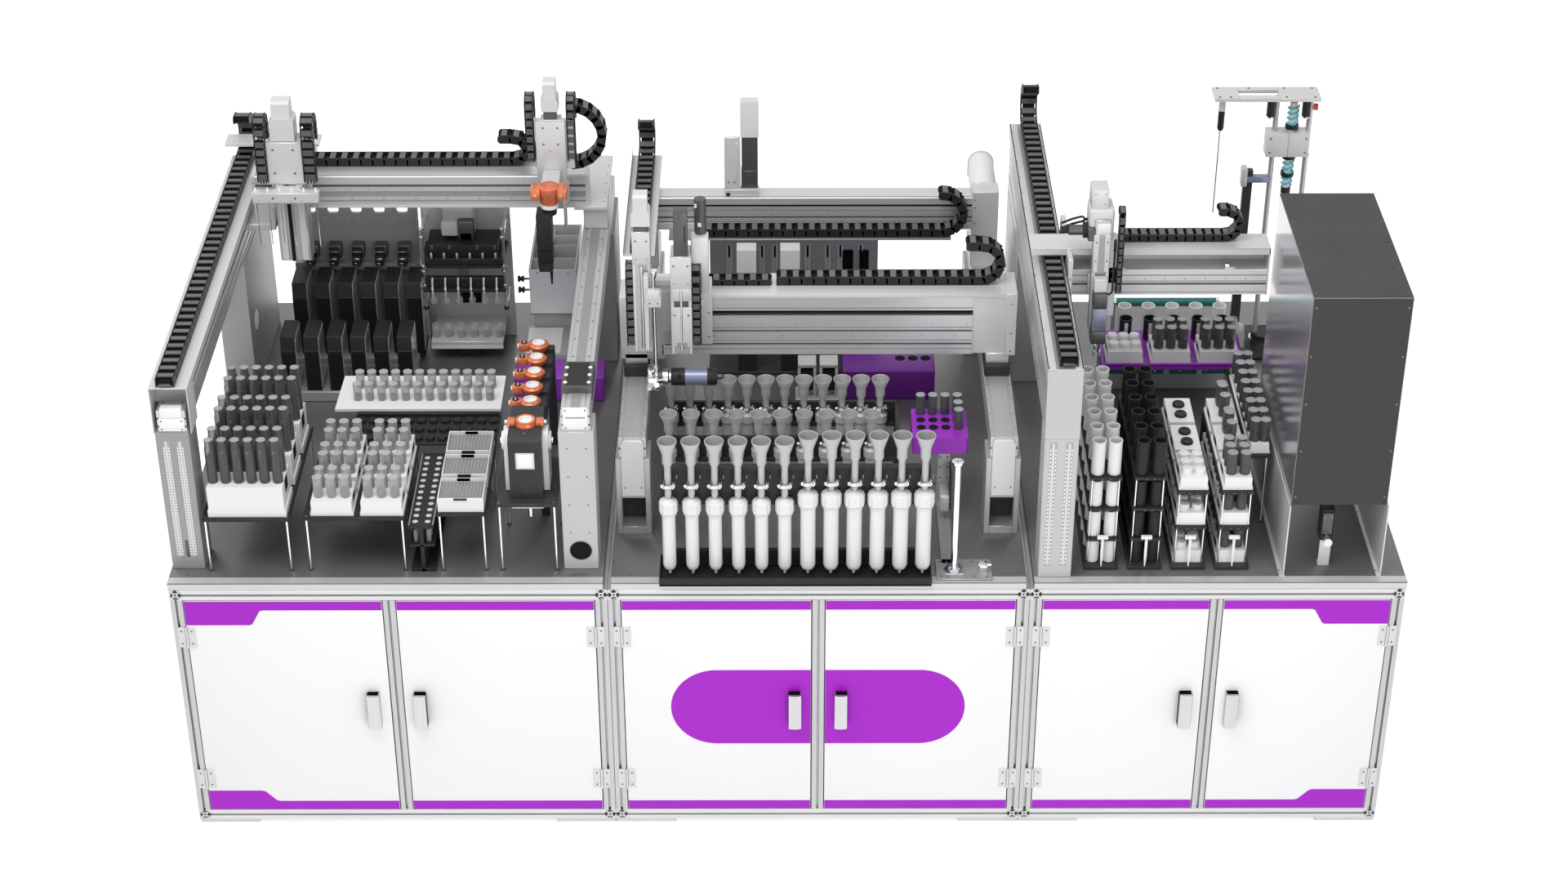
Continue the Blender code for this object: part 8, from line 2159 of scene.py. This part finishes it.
# Condenser tower: posts and a clamp block carry a coil, a thin rod and a flask
shape = Shape("condenserTower")
tower = {"depth": 1.520, "foot": 0.012, "plate": (1.971, 1.985), "posts": (1.698, 1.815),
         "knobs": (1.673, 1.795), "coil": 1.757, "coilZ": (1.628, 0.308), "rod": 1.509,
         "flask": (1.605, 1.455)}
towerY, footTop, plate = back(tower["depth"]), tableZ + tower["foot"], tower["plate"]
coilX, rodX, flask = tower["coil"], tower["rod"], (tower["flask"][0], back(tower["flask"][1]), 0)
shape.box((1.555, back(1.400), benchZ), (1.875, back(1.640), tableZ + 0.0123), "blackPlastic", 0.003, 2)
shape.rod((1.730, towerY, footTop), (1.730, towerY, tableZ + 0.030), 0.052, "chrome", 40)
shape.rod((1.730, towerY, tableZ + 0.028), (1.730, towerY, tableZ + 0.052), 0.046, "blackPlastic", 40)
shape.box((1.475, back(1.470), plate[0]), (1.560, back(1.565), plate[1]), "paleSheet", 0.001)
shape.box((1.700, back(1.470), plate[0]), (1.840, back(1.565), plate[1]), "paleSheet", 0.001)
shape.box((1.560, back(1.470), plate[0]), (1.700, back(1.498), plate[1]), "paleSheet", 0.001)
shape.box((1.560, back(1.540), plate[0]), (1.700, back(1.565), plate[1]), "paleSheet", 0.001)
shape.screws([(px, back(1.480), plate[1]) for px in (1.492, 1.530, 1.722, 1.820)], 0.004, "Z", "slotShade")
shape.screws([(px, back(1.553), plate[1]) for px in (1.492, 1.600, 1.722, 1.820)], 0.004, "Z", "slotShade")
for px in tower["posts"]:
    shape.rod((px, towerY, footTop), (px, towerY, 1.972), 0.0095, "aluminiumZ", 24)
    shape.rod((px, towerY, 1.745), (px, towerY, 1.750), 0.0120, "darkMetal", 24)
shape.box((1.670, back(1.490), 1.750), (1.745, back(1.550), 1.840), "offWhite", 0.003, 2)
shape.box((1.7455, back(1.490), 1.750), (1.819, back(1.550), 1.840), "offWhite", 0.003, 2)
shape.screws([(px, back(1.490), pz) for px in (1.683, 1.806) for pz in (1.768, 1.822)], 0.0042)
coil = []
for k in range(161):
    angle = 2 * math.pi * k / 10
    coil.append((coilX + 0.0185 * math.cos(angle), towerY + 0.0185 * math.sin(angle),
                 tower["coilZ"][0] + tower["coilZ"][1] * k / 160))
shape.rod((coilX, towerY, 1.602), (coilX, towerY, 1.950), 0.0135, "columnWhite", 24)
shape.tube(coil, 0.0036, "cyanGlass", 8)
for bandZ in (1.668, 1.735, 1.850):
    shape.rod((coilX, towerY, bandZ), (coilX, towerY, bandZ + 0.014), 0.0235, "blackPlastic", 24)
shape.rod((coilX, towerY, 1.944), (coilX, towerY, 1.972), 0.0125, "redPlastic", 24)
shape.rod((1.826, towerY, 1.930), (1.840, towerY, 1.930), 0.0120, "redPlastic", 20)
shape.rod((coilX, towerY, 1.600), (coilX, towerY, 1.624), 0.0170, "blackPlastic", 24)
shape.rod((rodX, towerY, 1.520), (rodX, towerY, 1.850), 0.0036, "chrome", 14)
shape.turned([(0, 1.842), (0.0085, 1.842), (0.0115, 1.850), (0.0115, 1.916), (0, 1.916)], (rodX, towerY, 0),
             "blackPlastic", 24)
shape.box((1.4985, towerY - 0.0105, 1.915), (1.5195, towerY + 0.0105, 1.972), "offWhite", 0.002)
shape.box((1.605, towerY - 0.012, footTop), (1.637, towerY + 0.012, 1.690), "darkPlate", 0.002)
shape.box((1.600, towerY - 0.018, 1.644), (1.700, towerY + 0.010, 1.668), "blueGrey", 0.004, 2)
shape.box((1.595, towerY - 0.022, 1.630), (1.616, towerY + 0.016, 1.700), "plateGrey", 0.004, 2)
shape.screws([(px, towerY - 0.018, 1.656) for px in (1.615, 1.640, 1.665)], 0.0036)
for px in tower["knobs"]:
    shape.rod((px, back(1.486), 1.912), (px, back(1.486), 1.972), 0.0150, "blackPlastic", 28)
    shape.rod((px, back(1.486), 1.905), (px, back(1.486), 1.914), 0.0105, "chrome", 24)
shape.turned([(0, 1.012), (0.030, 1.012), (0.0460, 1.022), (0.0475, 1.060), (0.0420, 1.092), (0.0180, 1.108),
              (0.0150, 1.128), (0.0125, 1.128), (0.0125, 1.110),
              (0.0395, 1.090), (0.0450, 1.060), (0.0435, 1.026), (0.028, 1.016), (0, 1.016)],
             flask, "clearPale", 30)
shape.turned([(0, footTop), (0.034, footTop), (0.050, tableZ + 0.022), (0.050, 1.010),
              (0, 1.012)], flask, "darkMetal", 30)
shape.done("cabinets", "aluminium", "condenser_tower")

# Cover box: folded dark sheets open behind and below, on two bent foot plates; the seen left wall is pale and
# mirror-bright, a painted reflection
shape = Shape("coverBox")
cover = {"x": (1.587, 1.891), "depth": (0.050, 0.745), "z": (1.245, 1.990), "sheet": 0.004, "seam": 0.0025,
         "feet": (((1.571, 1.589), (1.5815, 1.5855)), ((1.881, 1.895), (1.891, 1.895)))}
x, z = cover["x"], cover["z"]
y = [back(depth) for depth in cover["depth"]]
sheet, seam = cover["sheet"], cover["seam"]
# Seen left wall: painted reflection in place of the dark cover paint
shape.box((x[0], y[0] + seam, z[0]), (x[0] + sheet, y[1], z[1] - seam), "coverSideReflection", 0.0008)
shape.box((x[1] - sheet, y[0] + seam, z[0]), (x[1], y[1], z[1] - seam), "coverPaint", 0.0008)
shape.box((x[0] + seam, y[0], z[0]), (x[1] - seam, y[0] + sheet, z[1] - seam), "coverPaint", 0.0008)
shape.box((x[0] + seam, y[0] + seam, z[1] - sheet), (x[1] - seam, y[1], z[1]), "coverPaint", 0.0008)
for px in (x[0] + 0.0012, x[1] - 0.0012):
    shape.rod((px, y[0] + 0.0012, z[0]), (px, y[0] + 0.0012, z[1] - seam), 0.0014, "screwSteel", 8)
    shape.rod((px, y[0] + 0.001, z[1] - 0.0014), (px, y[1], z[1] - 0.0014), 0.0014, "screwSteel", 8)
shape.rod((x[0] + 0.001, y[0] + 0.0012, z[1] - 0.0014), (x[1] - 0.001, y[0] + 0.0012, z[1] - 0.0014), 0.0014,
          "screwSteel", 8)
shape.screws([(px, y[0], pz) for px in (x[0] + 0.012, x[1] - 0.012) for pz in spread(z[0] + 0.03, 0.17, 5)],
             0.0030)
shape.screws([(px, py, z[1]) for px in (x[0] + 0.012, x[1] - 0.012) for py in spread(y[0] + 0.03, 0.155, 5)],
             0.0030, "Z")
for px, wallX in cover["feet"]:
    outline = [(px[0], benchZ), (px[1], benchZ), (px[1], tableZ + 0.0033), (wallX[1], tableZ + 0.0063),
               (wallX[1], 1.249), (wallX[0], 1.249), (wallX[0], tableZ + 0.0063), (px[0], tableZ + 0.0033)]
    shape.prism(outline, (back(0.032), back(0.760)), "Y", "paleSheet")
    for depth in (0.060, 0.400, 0.730):
        shape.screws([(px[0] + 0.004, back(depth), tableZ + 0.004)], 0.0036, "Z")
shape.done("cabinets", "cover_paint", "cover_box")

# Small valve by the cover box
shape = Shape("smallValve")
low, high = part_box("small_valve")
middle = (low.x + high.x) / 2
shape.prism([(back(0.096), benchZ), (back(0.120), benchZ), (back(0.120), tableZ + 0.006),
             (back(0.101), tableZ + 0.006), (back(0.101), 1.080), (back(0.096), 1.080)],
            (middle - 0.018, middle + 0.018), "X", "paleSheet")
shape.box((low.x, back(0.098), 1.078), (high.x, back(0.150), high.z), "blackPlastic", 0.004, 3)
shape.box((low.x + 0.004, back(0.094), 1.104), (high.x - 0.004, back(0.099), high.z - 0.012), "darkMetal",
          0.002)
shape.rod((middle, back(0.099), 1.092), (middle, back(0.066), 1.092), 0.0125, "chrome", 30)
shape.rod((middle, back(0.066), 1.092), (middle, back(0.0605), 1.092), 0.0140, "whitePlastic", 30)
shape.screws([(middle - 0.012, back(0.094), 1.170), (middle + 0.012, back(0.094), 1.170)], 0.0034)
shape.done("cabinets", "black_plastic", "small_valve")
print("Right bench dressed")
